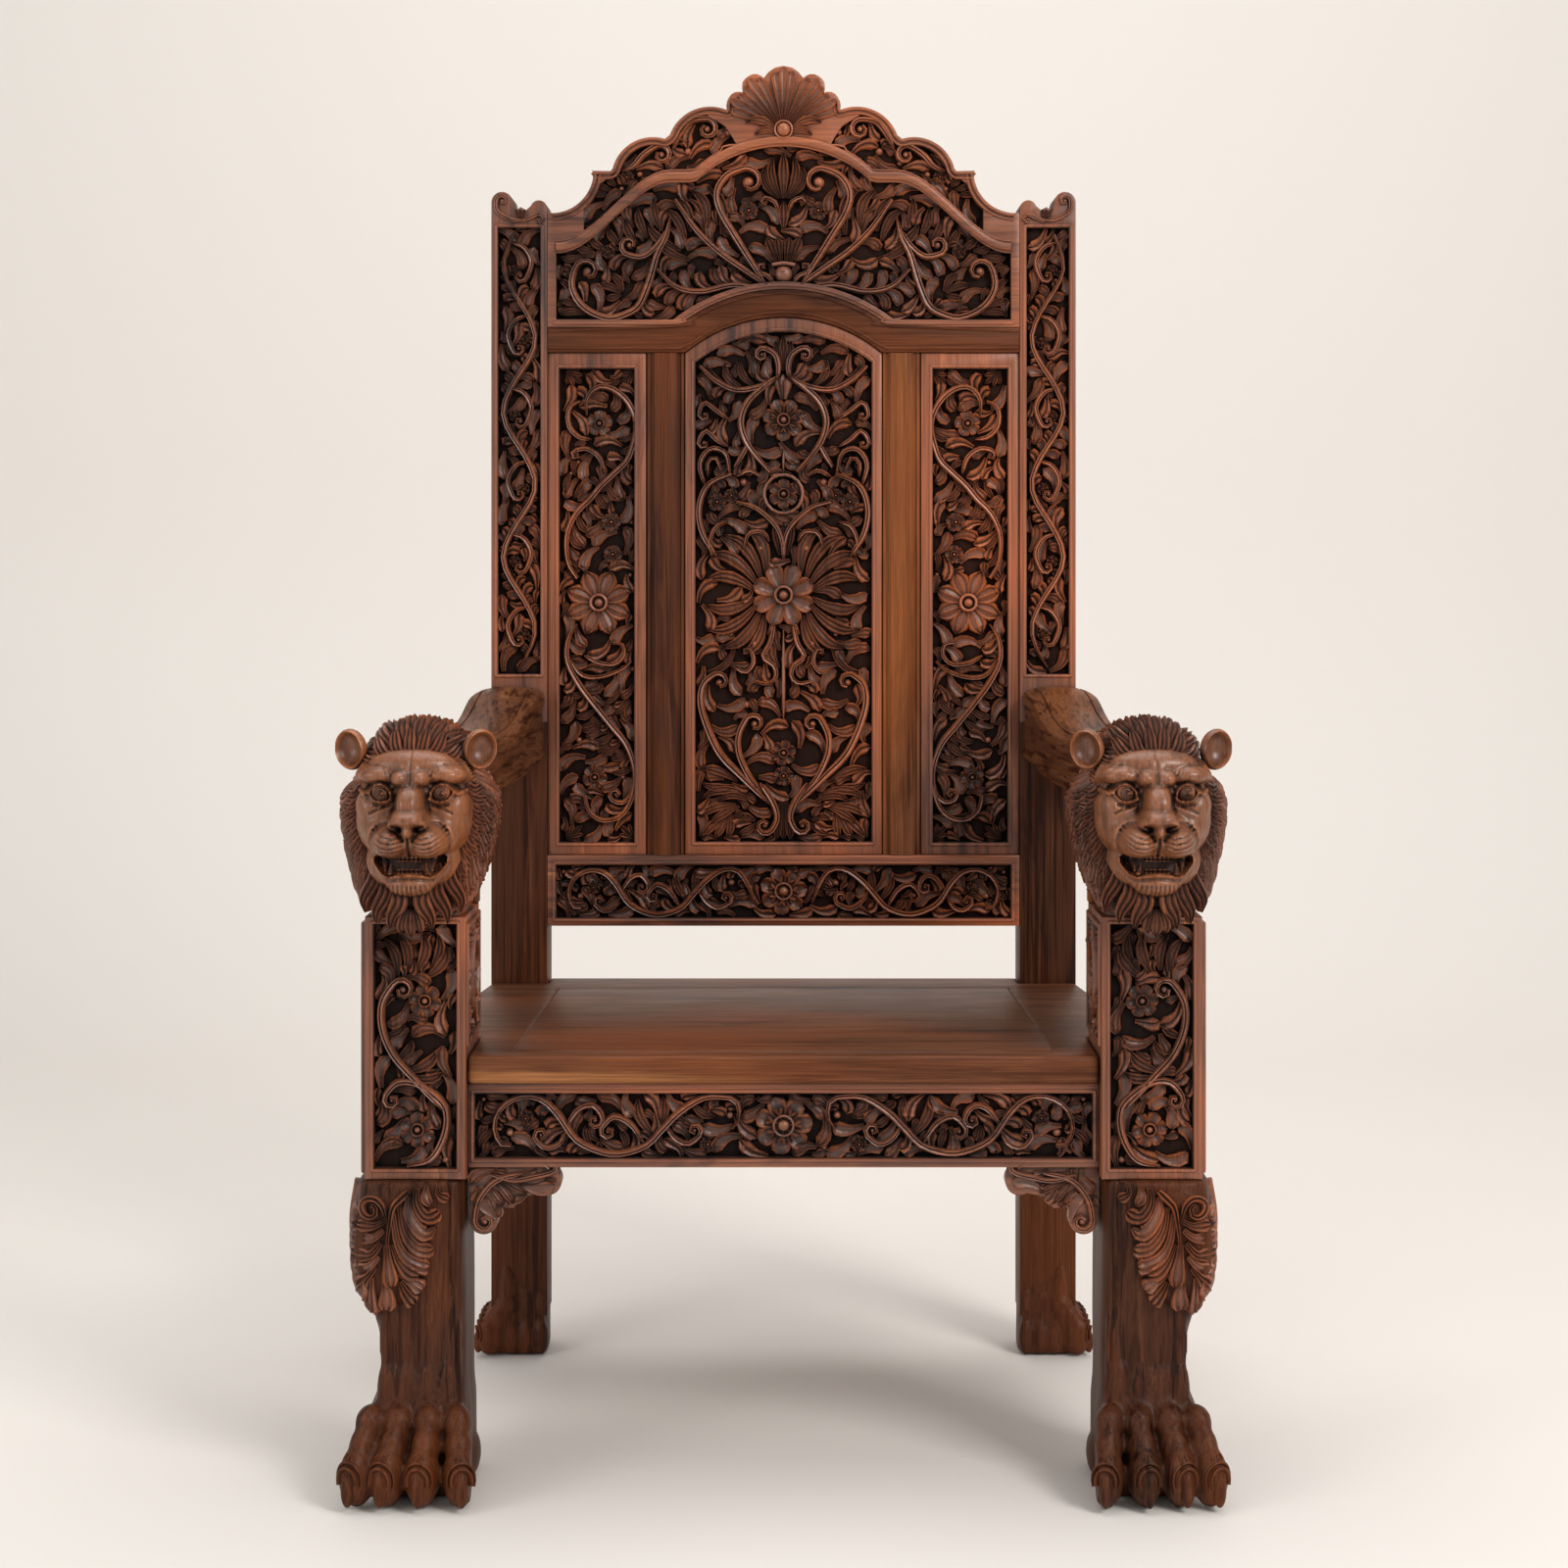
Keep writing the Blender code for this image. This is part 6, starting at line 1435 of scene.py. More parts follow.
def knee_leaves(bm, tree, side):
    """Acanthus laid over the knee, on its front and its outer side."""
    def front(points):
        return laid_path(tree, [(side * x, -0.40, min(z, LEG_TOP - 0.003)) for x, z in points], (0, 1, 0),
                0.0010)

    def outer(points):
        return laid_path(tree, [(side * 0.60, y, min(z, LEG_TOP - 0.003)) for y, z in points],
                (-side, 0, 0), 0.0005)

    for k, (half, *points) in enumerate(KNEE_LEAVES):
        path, normals = front([(x * 0.001, z * 0.001) for x, z in points])
        ribbon(bm, path, normals, half * 0.00142, 0.0058 + 0.0010 * (k % 3), LOBE, (COMBED, LEAF)[k % 2],
                CURLED_UP, 16, 0.005)
    path, normals = front([(0.4026, 0.3290), (0.4120, 0.3200), (0.4190, 0.3120), (0.4220, 0.2950),
            (0.4240, 0.2780), (0.4250, 0.2600)])
    ribbon(bm, path, normals, 0.0042, 0.0088, ((0, 0.7), (0.3, 1), (1, 0.35)), GROOVED, FALLING, 20, 0.004)
    wound, _ = curled([(side * x, z) for x, z in ((0.4230, 0.2960), (0.4270, 0.3060), (0.4300, 0.3140))],
            0.0120, side * -1, 1.15)
    path, normals = laid_path(tree, [(p[0], -0.40, min(p[1], LEG_TOP - 0.004)) for p in wound], (0, 1, 0),
            0.0015)
    ribbon(bm, path, normals, 0.0038, 0.0068, STEM, GROOVED, LEVEL, 30, 0.004)
    for k, (half, *points) in enumerate(((7, (-0.214, 0.322), (-0.236, 0.304), (-0.256, 0.300)),
                                         (7, (-0.212, 0.300), (-0.232, 0.282), (-0.256, 0.278)),
                                         (7, (-0.208, 0.280), (-0.230, 0.262), (-0.254, 0.256)),
                                         (7, (-0.206, 0.260), (-0.226, 0.240), (-0.246, 0.232)),
                                         (7, (-0.200, 0.320), (-0.176, 0.302), (-0.152, 0.302)),
                                         (7, (-0.200, 0.298), (-0.178, 0.280), (-0.152, 0.278)),
                                         (7, (-0.200, 0.278), (-0.178, 0.258), (-0.154, 0.254)),
                                         (7, (-0.200, 0.258), (-0.182, 0.236), (-0.164, 0.230)),
                                         (7, (-0.206, 0.240), (-0.214, 0.218), (-0.222, 0.200)),
                                         (7, (-0.200, 0.240), (-0.194, 0.218), (-0.186, 0.200)),
                                         (7, (-0.203, 0.236), (-0.203, 0.212), (-0.203, 0.190)))):
        path, normals = outer(points)
        ribbon(bm, path, normals, half * 0.00140, 0.0058, LOBE, (COMBED, LEAF)[k % 2], CURLED_UP, 12, 0.004)
    path, normals = outer([(-0.203, 0.328), (-0.203, 0.290), (-0.203, 0.240)])
    ribbon(bm, path, normals, 0.0042, 0.0080, ((0, 1), (1, 0.35)), GROOVED, FALLING, 14, 0.003)


def rear_paw(side):
    """The paw of a rear leg, its toes turned outwards."""
    body = bmesh.new()
    x0, x1 = sorted((side * (STILE_INNER + 0.001), side * (STILE_OUTER - 0.004)))
    y0, y1 = STILE_FACE + 0.001, STILE_FACE + STILE_DEPTH - 0.001
    squared_loft(body, [(x0, x1, y0, y1, 0.104), (x0 - 0.001, x1 + 0.001, y0 - 0.003, y1 + 0.003, 0.074),
                        (x0 - 0.002, x1 + 0.001, y0 - 0.004, y1 + 0.004, 0.002)], squareness=6)
    middle = STILE_FACE + STILE_DEPTH / 2
    roots = []
    for i, across in enumerate((-0.0330, -0.0110, 0.0110, 0.0330)):
        root, heading = (side * 0.3500, middle + across, 0), (0 if side > 0 else 180) + side * 6 * (i - 1.5)
        toe(body, root, heading, 0.78)
        roots.append((root, heading))
    for x, wide in ((0.3060, 0.0095), (0.3240, 0.0100), (0.3430, 0.0105)):
        egg(body, (side * x, y0 - 0.001, 0.024), (wide, 0.0090, 0.0240))
        egg(body, (side * x, y0 + 0.001, 0.066), (wide * 0.85, 0.0070, 0.0200))
    bm = skinned(body, 0.0031, 4)
    co = verts_of(bm)
    co[:, 2] = np.clip(co[:, 2], 0.0, 0.2)
    set_verts(bm, co)
    bmesh.ops.recalc_face_normals(bm, faces=bm.faces)
    for root, heading in roots:
        claw(bm, root, heading, 0.78)
    return bm


# The lion's head. Local places are (across, forward, up) from the head's middle, in millimetres

COMBED = ((1.0, 0.0), (0.94, 0.58), (0.70, 0.92), (0.36, 0.40), (0.02, 1.06), (-0.34, 0.40), (-0.68, 0.92),
        (-0.94, 0.58), (-1.0, 0.0))

# Round the head from its crown: angle, and the reach of the face's edge and of the mane's outline
FACE_EDGE = ((0, 68), (25, 70), (45, 74), (57, 71), (75, 65), (90, 63), (110, 62), (130, 65), (150, 76),
        (165, 84), (180, 87))
MANE_EDGE = ((0, 100), (22, 99), (34, 92), (46, 80), (56, 78), (66, 80), (80, 85), (95, 84.5), (110, 85.5),
        (128, 93), (142, 105), (152, 115), (165, 112), (180, 109))
FACE_FRONT = ((0, 40), (45, 34), (90, 22), (130, 28), (150, 38), (180, 50))
MANE_FRONT = ((0, -26), (45, -28), (90, -24), (130, -16), (150, 4), (180, 26))
HEAD_BACK = -93.5

# Rounded forms of the face: across, forward, up, their radii, and how square they are across
FACE_FORMS = (
    (0, 0, 16, 65, 54, 68, 2.4), (34, 18, -6, 29, 38, 40, 2), (45, 27, 9, 17, 26, 20, 2),
    (34, 38, 42, 24, 21, 11, 2), (0, 30, 52, 48, 26, 18, 2), (11, 50, 39.5, 10.5, 20, 9.5, 2),
    (0, 30, 30, 13.5, 37, 30, 4), (0, 40, 12, 15.5, 47, 25, 4), (0, 60, -2, 18.5, 38, 12, 4),
    (13.5, 70, -7.5, 8.5, 23, 8, 2), (0, 66, -14, 8, 27, 11, 2), (20.5, 50, -27.5, 21, 43, 18.5, 2.2),
    (0, 52, -24, 14, 30, 15, 2), (0, 40, -22, 41, 35, 30, 2.4), (35, 30, -22, 17, 35, 22, 2),
    (0, 38, -71, 29, 33, 18, 2.4), (0, 42, -63, 31, 27, 9, 3), (32, 20, -52, 20, 34, 30, 2),
    (23, 28, -60, 20, 32, 20, 2), (0, 10, -50, 50, 44, 46, 2.4))

# Lines cut in the face, and raised where the depth is below zero: depth, half width, and the line's points
FACE_LINES = (
    (1.6, 1.3, ((0, 68), (0, 46))), (3.0, 1.5, ((0, 44), (0, 35))),
    (2.8, 1.5, ((0, 33), (6, 31), (14, 31.5), (19, 27))), (1.6, 1.0, ((24, 47), (20.5, 41))),
    (1.3, 1.0, ((29, 49), (26.5, 44))), (2.0, 1.2, ((36, 53), (44, 50), (52, 44))),
    (3.4, 2.4, ((19, 21), (17.5, 8), (21, -3))), (3.6, 1.8, ((21, -6), (31, -9), (40, -16), (43.5, -27),
    (41, -36))), (2.4, 1.4, ((28, 9), (36, 6), (44, 2))), (6.5, 1.5, ((0, -22), (0, -44))),
    (3.6, 1.5, ((18, -12.5), (11, -17), (4.5, -25))), (2.4, 1.1, ((7, -20), (16, -22), (26, -20), (33, -15),
    (37, -10))), (2.4, 1.1, ((6, -25), (16, -27.5), (27, -25.5), (35, -20), (39, -15))),
    (2.4, 1.1, ((6, -30), (16, -33), (27, -31), (36, -25), (40, -20))),
    (2.3, 1.1, ((6, -35), (16, -38), (27, -36), (36, -30), (40, -25))),
    (2.0, 1.1, ((8, -40), (17, -42.5), (27, -40.5), (35, -35))),
    (-8.4, 2.1, ((20.0, 17.5), (22.0, 25), (26.5, 30.2), (33, 32.2), (39, 30.4), (43.5, 26.0), (50, 22.5),
    (58, 25.5))), (-6.0, 1.7, ((20.0, 17.5), (25, 15.2), (32, 14.2), (39, 16.2), (44, 22.0))),
    (3.0, 1.5, ((22, 11), (30, 8.8), (40, 11.0))), (4.0, 1.5, ((23, 33.5), (33, 36.6), (42, 33.4),
    (50, 27.0))), (-3.4, 2.0, ((0, -61), (13, -62), (22, -64.5), (29, -61.5), (35, -55), (40, -47))),
    (2.6, 2.0, ((0, -66), (13, -67), (24, -69))), (2.6, 1.3, ((2.2, -74), (2.2, -88))),
    (2.6, 1.3, ((7, -74), (7.5, -88))), (2.6, 1.3, ((12, -74), (13, -87))),
    (2.4, 1.3, ((17, -74), (18.5, -86))), (2.2, 1.3, ((22, -72), (24, -84))))


def reach_at(table, around):
    """A table's value at some degrees round the head, alike on both sides."""
    turns, values = zip(*table)
    return np.interp(np.abs((np.asarray(around, float) + 180) % 360 - 180), turns, values)


def mane_point(around, share, lift=0.0):
    """A place on the mane round the head. Share 0 is the face's edge, 1 the outline, 2 the back."""
    a = np.radians(around)
    inner, outer = reach_at(FACE_EDGE, around), reach_at(MANE_EDGE, around)
    near, far = reach_at(FACE_FRONT, around), reach_at(MANE_FRONT, around)
    swing = np.clip(share, -0.3, 1) * math.pi / 2
    behind = np.clip(share - 1, 0, 1.1)
    reach = inner + (outer - inner) * np.sin(swing) - outer * 0.10 * behind**2 + lift
    front = far + (near - far) * np.cos(swing) - behind * (far - HEAD_BACK) + lift * 0.6 * np.cos(swing)
    return np.stack((reach * np.sin(a), front, reach * np.cos(a)), axis=-1)


def lock(bm, place, start, end, half, crown, wave, rows=11):
    """One combed lock of the mane, with an S in its run and a tip that lifts."""
    t = np.linspace(0, 1, 7)
    around = start[0] + (end[0] - start[0]) * t + wave * np.sin(t * math.pi * 1.6)
    share = start[1] + (end[1] - start[1]) * t
    lift = -9.0 + 4.2 * np.sin(t * math.pi * 0.8) + 2.6 * t**3
    spine = mane_point(around, share, lift)
    across = mane_point(around + 2, share, lift) - mane_point(around - 2, share, lift)
    along = mane_point(around, share + 0.04, lift) - mane_point(around, share - 0.04, lift)
    up = np.cross(across, along)
    up *= np.sign(np.sum(up * (spine - (0, -20, 0)), axis=1))[:, None]
    ribbon(bm, place(spine), turned(place, up), half * 0.001, crown * 0.001, LOCK, COMBED, HUMPED, rows,
            0.005)


def turned(place, normals):
    return place(normals) - place([(0, 0, 0)])


def face_height(across, up):
    """How far forward the face stands at each place of its front."""
    x = np.abs(across)
    heights = []
    for cx, cf, cz, rx, rf, rz, square in FACE_FORMS:
        q = np.abs((x - cx) / rx)**square + ((up - cz) / rz)**2
        heights.append(cf + rf * np.sqrt(np.clip(1 - q, 0, 1)) - rf * 1.6 * np.clip(np.sqrt(q) - 1, 0, 3))
    heights = np.array(heights) / 2.8
    top = heights.max(axis=0)
    forward = 2.8 * (top + np.log(np.exp(heights - top).sum(axis=0)))
    forward -= 5.0 * np.exp(-((x - 32) / 12.0)**2 - ((up - 23.5) / 9.0)**2)
    for depth, wide, line in FACE_LINES:
        forward -= depth * np.exp(-(line_distance(x, up, line) / wide)**2)
    for nx, nz, wide, tall, depth in ((11.5, -10.5, 4.4, 3.3, 13), (16.0, -9.0, 2.6, 1.8, 7),
            (9.0, -12.5, 2.6, 2.4, 6)):
        forward -= depth * np.exp(-((x - nx) / wide)**2 - ((up - nz) / tall)**2)
    upper = np.interp(x, (0, 4, 18, 28, 34, 39), (-43, -45.0, -47.0, -44.5, -43.0, -47.0))
    lower = np.interp(x, (0, 13, 22, 28, 34, 39), (-59, -60, -62.5, -60, -54.0, -47.0))
    inside = 1 / (1 + np.exp(-(upper - up) / 0.7)) / (1 + np.exp(-(up - lower) / 0.7)) * (x < 39)
    return forward * (1 - inside) + np.minimum(forward, 4) * inside


def line_distance(x, z, line):
    """How far each place is from a line of points."""
    best = np.full(x.shape, 1e9)
    for (ax, az), (bx, bz) in zip(line, line[1:]):
        dx, dz = bx - ax, bz - az
        t = np.clip(((x - ax) * dx + (z - az) * dz) / (dx * dx + dz * dz), 0, 1)
        best = np.minimum(best, np.hypot(x - ax - t * dx, z - az - t * dz))
    return best


def face_mask(place, cell=1.2):
    """The carved front of the face, with a flat back inside the mane."""
    made = bmesh.new()
    wide, tall = 68.0, 84.0
    bmesh.ops.create_grid(made, x_segments=int(2 * wide / cell), y_segments=int(2 * tall / cell), size=1.0)
    for v in made.verts:
        v.co = (v.co.x * wide, 0.0, v.co.y * tall - 10)
    around = [math.degrees(math.atan2(v.co.x, v.co.z)) for v in made.verts]
    reach = reach_at(FACE_EDGE, around) + 4.5
    spare = [v for v, r in zip(made.verts, reach) if math.hypot(v.co.x, v.co.z) > r]
    bmesh.ops.delete(made, geom=spare, context="VERTS")
    co = verts_of(made)
    forward = np.maximum(face_height(co[:, 0], co[:, 2]), 2.0)
    set_verts(made, place(np.column_stack((co[:, 0], forward, co[:, 2]))))
    rim = [e for e in made.edges if len(e.link_faces) == 1]
    grown = bmesh.ops.extrude_edge_only(made, edges=rim)["geom"]
    for item in grown:
        if isinstance(item, bmesh.types.BMVert):
            item.co.y = HEAD.y
    bmesh.ops.contextual_create(made, geom=[e for e in grown if isinstance(e, bmesh.types.BMEdge)
            and len(e.link_faces) == 1])
    bmesh.ops.recalc_face_normals(made, faces=made.faces)
    return made


# The manes are the widest part of the throne
WIDEST = 0.4842


def lion_head(side):
    """A lion's head: open jaw, knit brows, cupped ears and a deep mane of combed locks."""
    cx = side * HEAD.x

    def place(points):
        p = np.asarray(points, float) * 0.001
        return np.column_stack((cx + p[:, 0], HEAD.y - p[:, 1], HEAD.z + p[:, 2]))

    bm = face_mask(place)
    eyes_and_teeth(bm, place)
    for s in (1, -1):
        ear(bm, place, s)
    face = len(bm.faces)
    mane(bm, place)
    neck = bmesh.new()
    half = (POST_OUT - POST_IN) / 2 - 0.004
    squared_loft(neck, [(cx - half, cx + half, POST_FACE + 0.006, ARM_FRONT - 0.001, HEAD_BASE + 0.060),
            (cx - half, cx + half, POST_FACE + 0.004, ARM_FRONT - 0.001, HEAD_BASE)], squareness=6)
    join_into(bm, neck)
    for v in bm.verts:
        v.co.y = min(v.co.y, ARM_FRONT - GAP)
        v.co.x = max(-WIDEST, min(WIDEST, v.co.x))
        if v.co.y > POST_FACE - 0.001 and v.co.z < HEAD_BASE:
            v.co.z = HEAD_BASE
    mark_from(bm, face)
    return bm


def eyes_and_teeth(bm, place):
    """Ringed eyeballs, four fangs and a row of front teeth above and below."""
    ahead = [(0, -1, 0)]
    for s in (1, -1):
        ball = bmesh.new()
        bmesh.ops.create_uvsphere(ball, u_segments=28, v_segments=18, radius=0.0098,
                                  matrix=Matrix.Translation(place([(s * 32.2, 47.5, 23.6)])[0]))
        join_into(bm, ball)
        for radius, half, height in ((5.8, 0.9, 0.9), (2.2, 2.2, 1.4)):
            turn = np.linspace(0, 2 * math.pi, 19)
            depth = 47.5 + math.sqrt(9.8**2 - radius**2) - 0.1
            ring = np.column_stack((s * 32.2 + radius * np.cos(turn), np.full(19, depth), 23.6 + radius
                    * np.sin(turn)))
            ribbon(bm, place(ring), ahead * 19, half * 0.001, height * 0.001, EVEN, ROUND, LEVEL, 22, 0.001)
        for root, tip, wide in (((25.5, 60, -42), (25.0, 65, -57.5), 3.6),
                ((19.5, 61, -62), (19.0, 66, -49.5), 3.2)):
            a, b = place([(s * root[0], *root[1:]), (s * tip[0], *tip[1:])])
            middle = (a + b) / 2 + np.array((0, -0.0012, 0))
            ribbon(bm, [a, middle, b], ahead * 3, wide * 0.001, 0.0040, ((0, 1), (0.5, 0.8), (1, 0.12)),
                    ROUND, LEVEL, 9, 0.0036)
        for k in range(3):
            for low, high, wide in ((-42.5, -48.0, 2.3), (-62, -56.5, 2.1)):
                a, b = place([(s * (2.6 + 4.6 * k), 60, low), (s * (2.6 + 4.6 * k), 61, high)])
                ribbon(bm, [a, b], ahead * 2, wide * 0.001, 0.0024, EVEN, ROUND, LEVEL, 4, 0.002)


def ear(bm, place, s):
    """A round cupped ear with a thick rim."""
    made = bmesh.new()
    bmesh.ops.create_uvsphere(made, u_segments=32, v_segments=26, radius=1.0)
    bmesh.ops.rotate(made, matrix=Matrix.Rotation(math.pi / 2, 3, "X"), verts=made.verts)
    for v in made.verts:
        if v.co.y < 0:
            v.co.y += 1.55 * max(0.0, 1 - (math.hypot(v.co.x, v.co.z) / 0.84)**2)**0.6
    bmesh.ops.smooth_vert(made, verts=made.verts, factor=0.5)
    made.transform(Matrix.Diagonal((0.0190, 0.0135, 0.0225, 1)))
    made.transform(Matrix.Rotation(math.radians(s * 26), 4, "Z") @ Matrix.Rotation(math.radians(s * 14), 4,
            "Y"))
    made.transform(Matrix.Translation(place([(s * 69.5, 14.0, 67.5)])[0]))
    bmesh.ops.recalc_face_normals(made, faces=made.faces)
    join_into(bm, made)


def mane(bm, place):
    """A core under the mane, then layer on layer of locks, the back ones first."""
    turns = np.arange(0, 360, 7.5)
    tube(bm, np.array([place(mane_point(-turns, np.full(len(turns), share), -13.0))
            for share in np.linspace(-0.3, 2.0, 15)]))
    rng = np.random.default_rng(7)
    layers = ((1.00, 1.90, 30, 24, 10.5, 8.5), (0.62, 1.42, 30, 38, 9.6, 8.6), (0.26, 1.02, 36, 40, 8.0,
            7.2), (-0.08, 0.66, 40, 34, 6.6, 6.0))
    for k, (root, tip, count, sweep, half, crown) in enumerate(layers):
        for i in range(count):
            around = -178 + 356 * (i + 0.5 * (k % 2)) / (count - 0.5)
            if (k in (1, 2) and 30 < abs(around) < 57) or (k == 3 and 40 < abs(around) < 50):
                continue
            bend = abs(math.sin(math.radians(around)))
            drop = math.copysign(sweep * (0.2 + 0.8 * bend) * min(1.0, abs(around) / 30), around)
            wave = math.copysign(rng.uniform(4.5, 8), around) * (0.35 + 0.65 * bend) * min(1.0,
                    abs(around) / 30)
            end = max(-178.0, min(178.0, around + drop))
            lock(bm, place, (around, root), (end, tip + rng.uniform(-0.05, 0.05)), half, crown, wave)
    for x, low, half in ((-47, -106, 8.5), (47, -106, 8.5), (-33, -117, 9), (33, -117, 9), (-17, -122, 9.5),
            (17, -122, 9.5)):
        top, bow = -82 + 0.014 * x * x, math.copysign(3.0, x)
        path = [(x * 0.72, 50 - 0.007 * x * x, top), (x * 0.90 - bow, 55 - 0.007 * x * x,
                mix(top, low, 0.35)), (x * 1.02 + bow, 51 - 0.007 * x * x, mix(top, low, 0.72)),
                (x * 0.96 + 2 * bow, 47 - 0.007 * x * x, low)]
        ribbon(bm, place(path), [(0.007 * x, -1, 0)] * 4, half * 0.001, 0.0078, LOCK, COMBED, HUMPED, 16,
                0.010)
    for lean, low, half in ((-9, -126, 6), (9, -126, 6), (0, -131, 7)):
        path = [(lean * 0.4, 48, -100), (lean * 0.9, 53, -112), (lean * 1.1, 50, -122),
                (lean * 0.8, 46, low)]
        ribbon(bm, place(path), [(0, -1, 0)] * 4, half * 0.001, 0.0080, POINTED, LEAF, HUMPED, 12, 0.010)


# Arms and seat

def arm_curve(points, y):
    """Height of a long edge of the arm at each depth."""
    ys, zs = zip(*sorted(points))
    path = smooth_path([(a, b) for a, b in zip(ys, zs)], 60)
    return np.interp(y, path[:, 0], path[:, 1])


def arm(side):
    """The arm: a thick cyma with a crowned top, lined edges and a moulded under edge."""
    bm = bmesh.new()
    top = [(ARM_REAR, 0.8445), (0.180 + SHIFT, 0.840), (0.115 + SHIFT, 0.818), (0.040 + SHIFT, 0.805),
           (-0.040 + SHIFT, 0.804), (-0.110 + SHIFT, 0.812), (ARM_FRONT, 0.818)]
    under = [(ARM_REAR, 0.7520), (0.180 + SHIFT, 0.750), (0.110 + SHIFT, 0.741), (0.030 + SHIFT, 0.738),
             (-0.060 + SHIFT, 0.739), (ARM_FRONT, 0.745)]
    ys = np.linspace(ARM_REAR, ARM_FRONT, 44)
    tops, lows = arm_curve(top, ys), arm_curve(under, ys)
    centres = side * np.interp(ys, [ARM_FRONT, ARM_REAR], [0.382, 0.345])
    half = 0.043
    edge = [(0.00, 0, "top"), (0.35, -0.0005, "top"), (0.62, -0.0022, "top"), (0.655, -0.0042, "top"),
            (0.69, -0.0028, "top"), (0.86, -0.0052, "top"), (0.96, -0.0085, "top"), (1.00, -0.0140, "top"),
            (1.00, -0.0220, "top"), (0.965, -0.0245, "top"), (0.935, -0.0280, "top"),
            (0.945, 0.0250, "low"), (0.930, 0.0170, "low"), (0.960, 0.0140, "low"), (0.995, 0.0110, "low"),
            (0.995, 0.0050, "low"), (0.940, 0.0008, "low"), (0.80, 0.0, "low")]
    ring = [(x, dz, which) for x, dz, which in reversed(edge[1:])] + [edge[0]] + [(-x, dz, w) for x, dz,
            w in edge[1:]]
    grid = np.zeros((len(ys), len(ring), 3))
    for k, (x, dz, which) in enumerate(ring):
        grid[:, k, 0] = centres + half * x
        grid[:, k, 1] = ys
        grid[:, k, 2] = (tops if which == "top" else lows) + dz
    tube(bm, grid)
    foot = bmesh.new()
    bmesh.ops.create_cube(foot, size=1.0)
    low, high = HEAD_BASE, 0.765
    foot.transform(Matrix.Translation((side * 0.3830, (ARM_FRONT + POST_REAR) / 2, (low + high) / 2))
                   @ Matrix.Diagonal((0.084, POST_REAR - ARM_FRONT, high - low, 1)))
    bmesh.ops.bevel(foot, geom=foot.edges[:], offset=0.002, segments=2, profile=0.5, affect="EDGES",
            material=-1)
    join_into(bm, foot)
    return bm
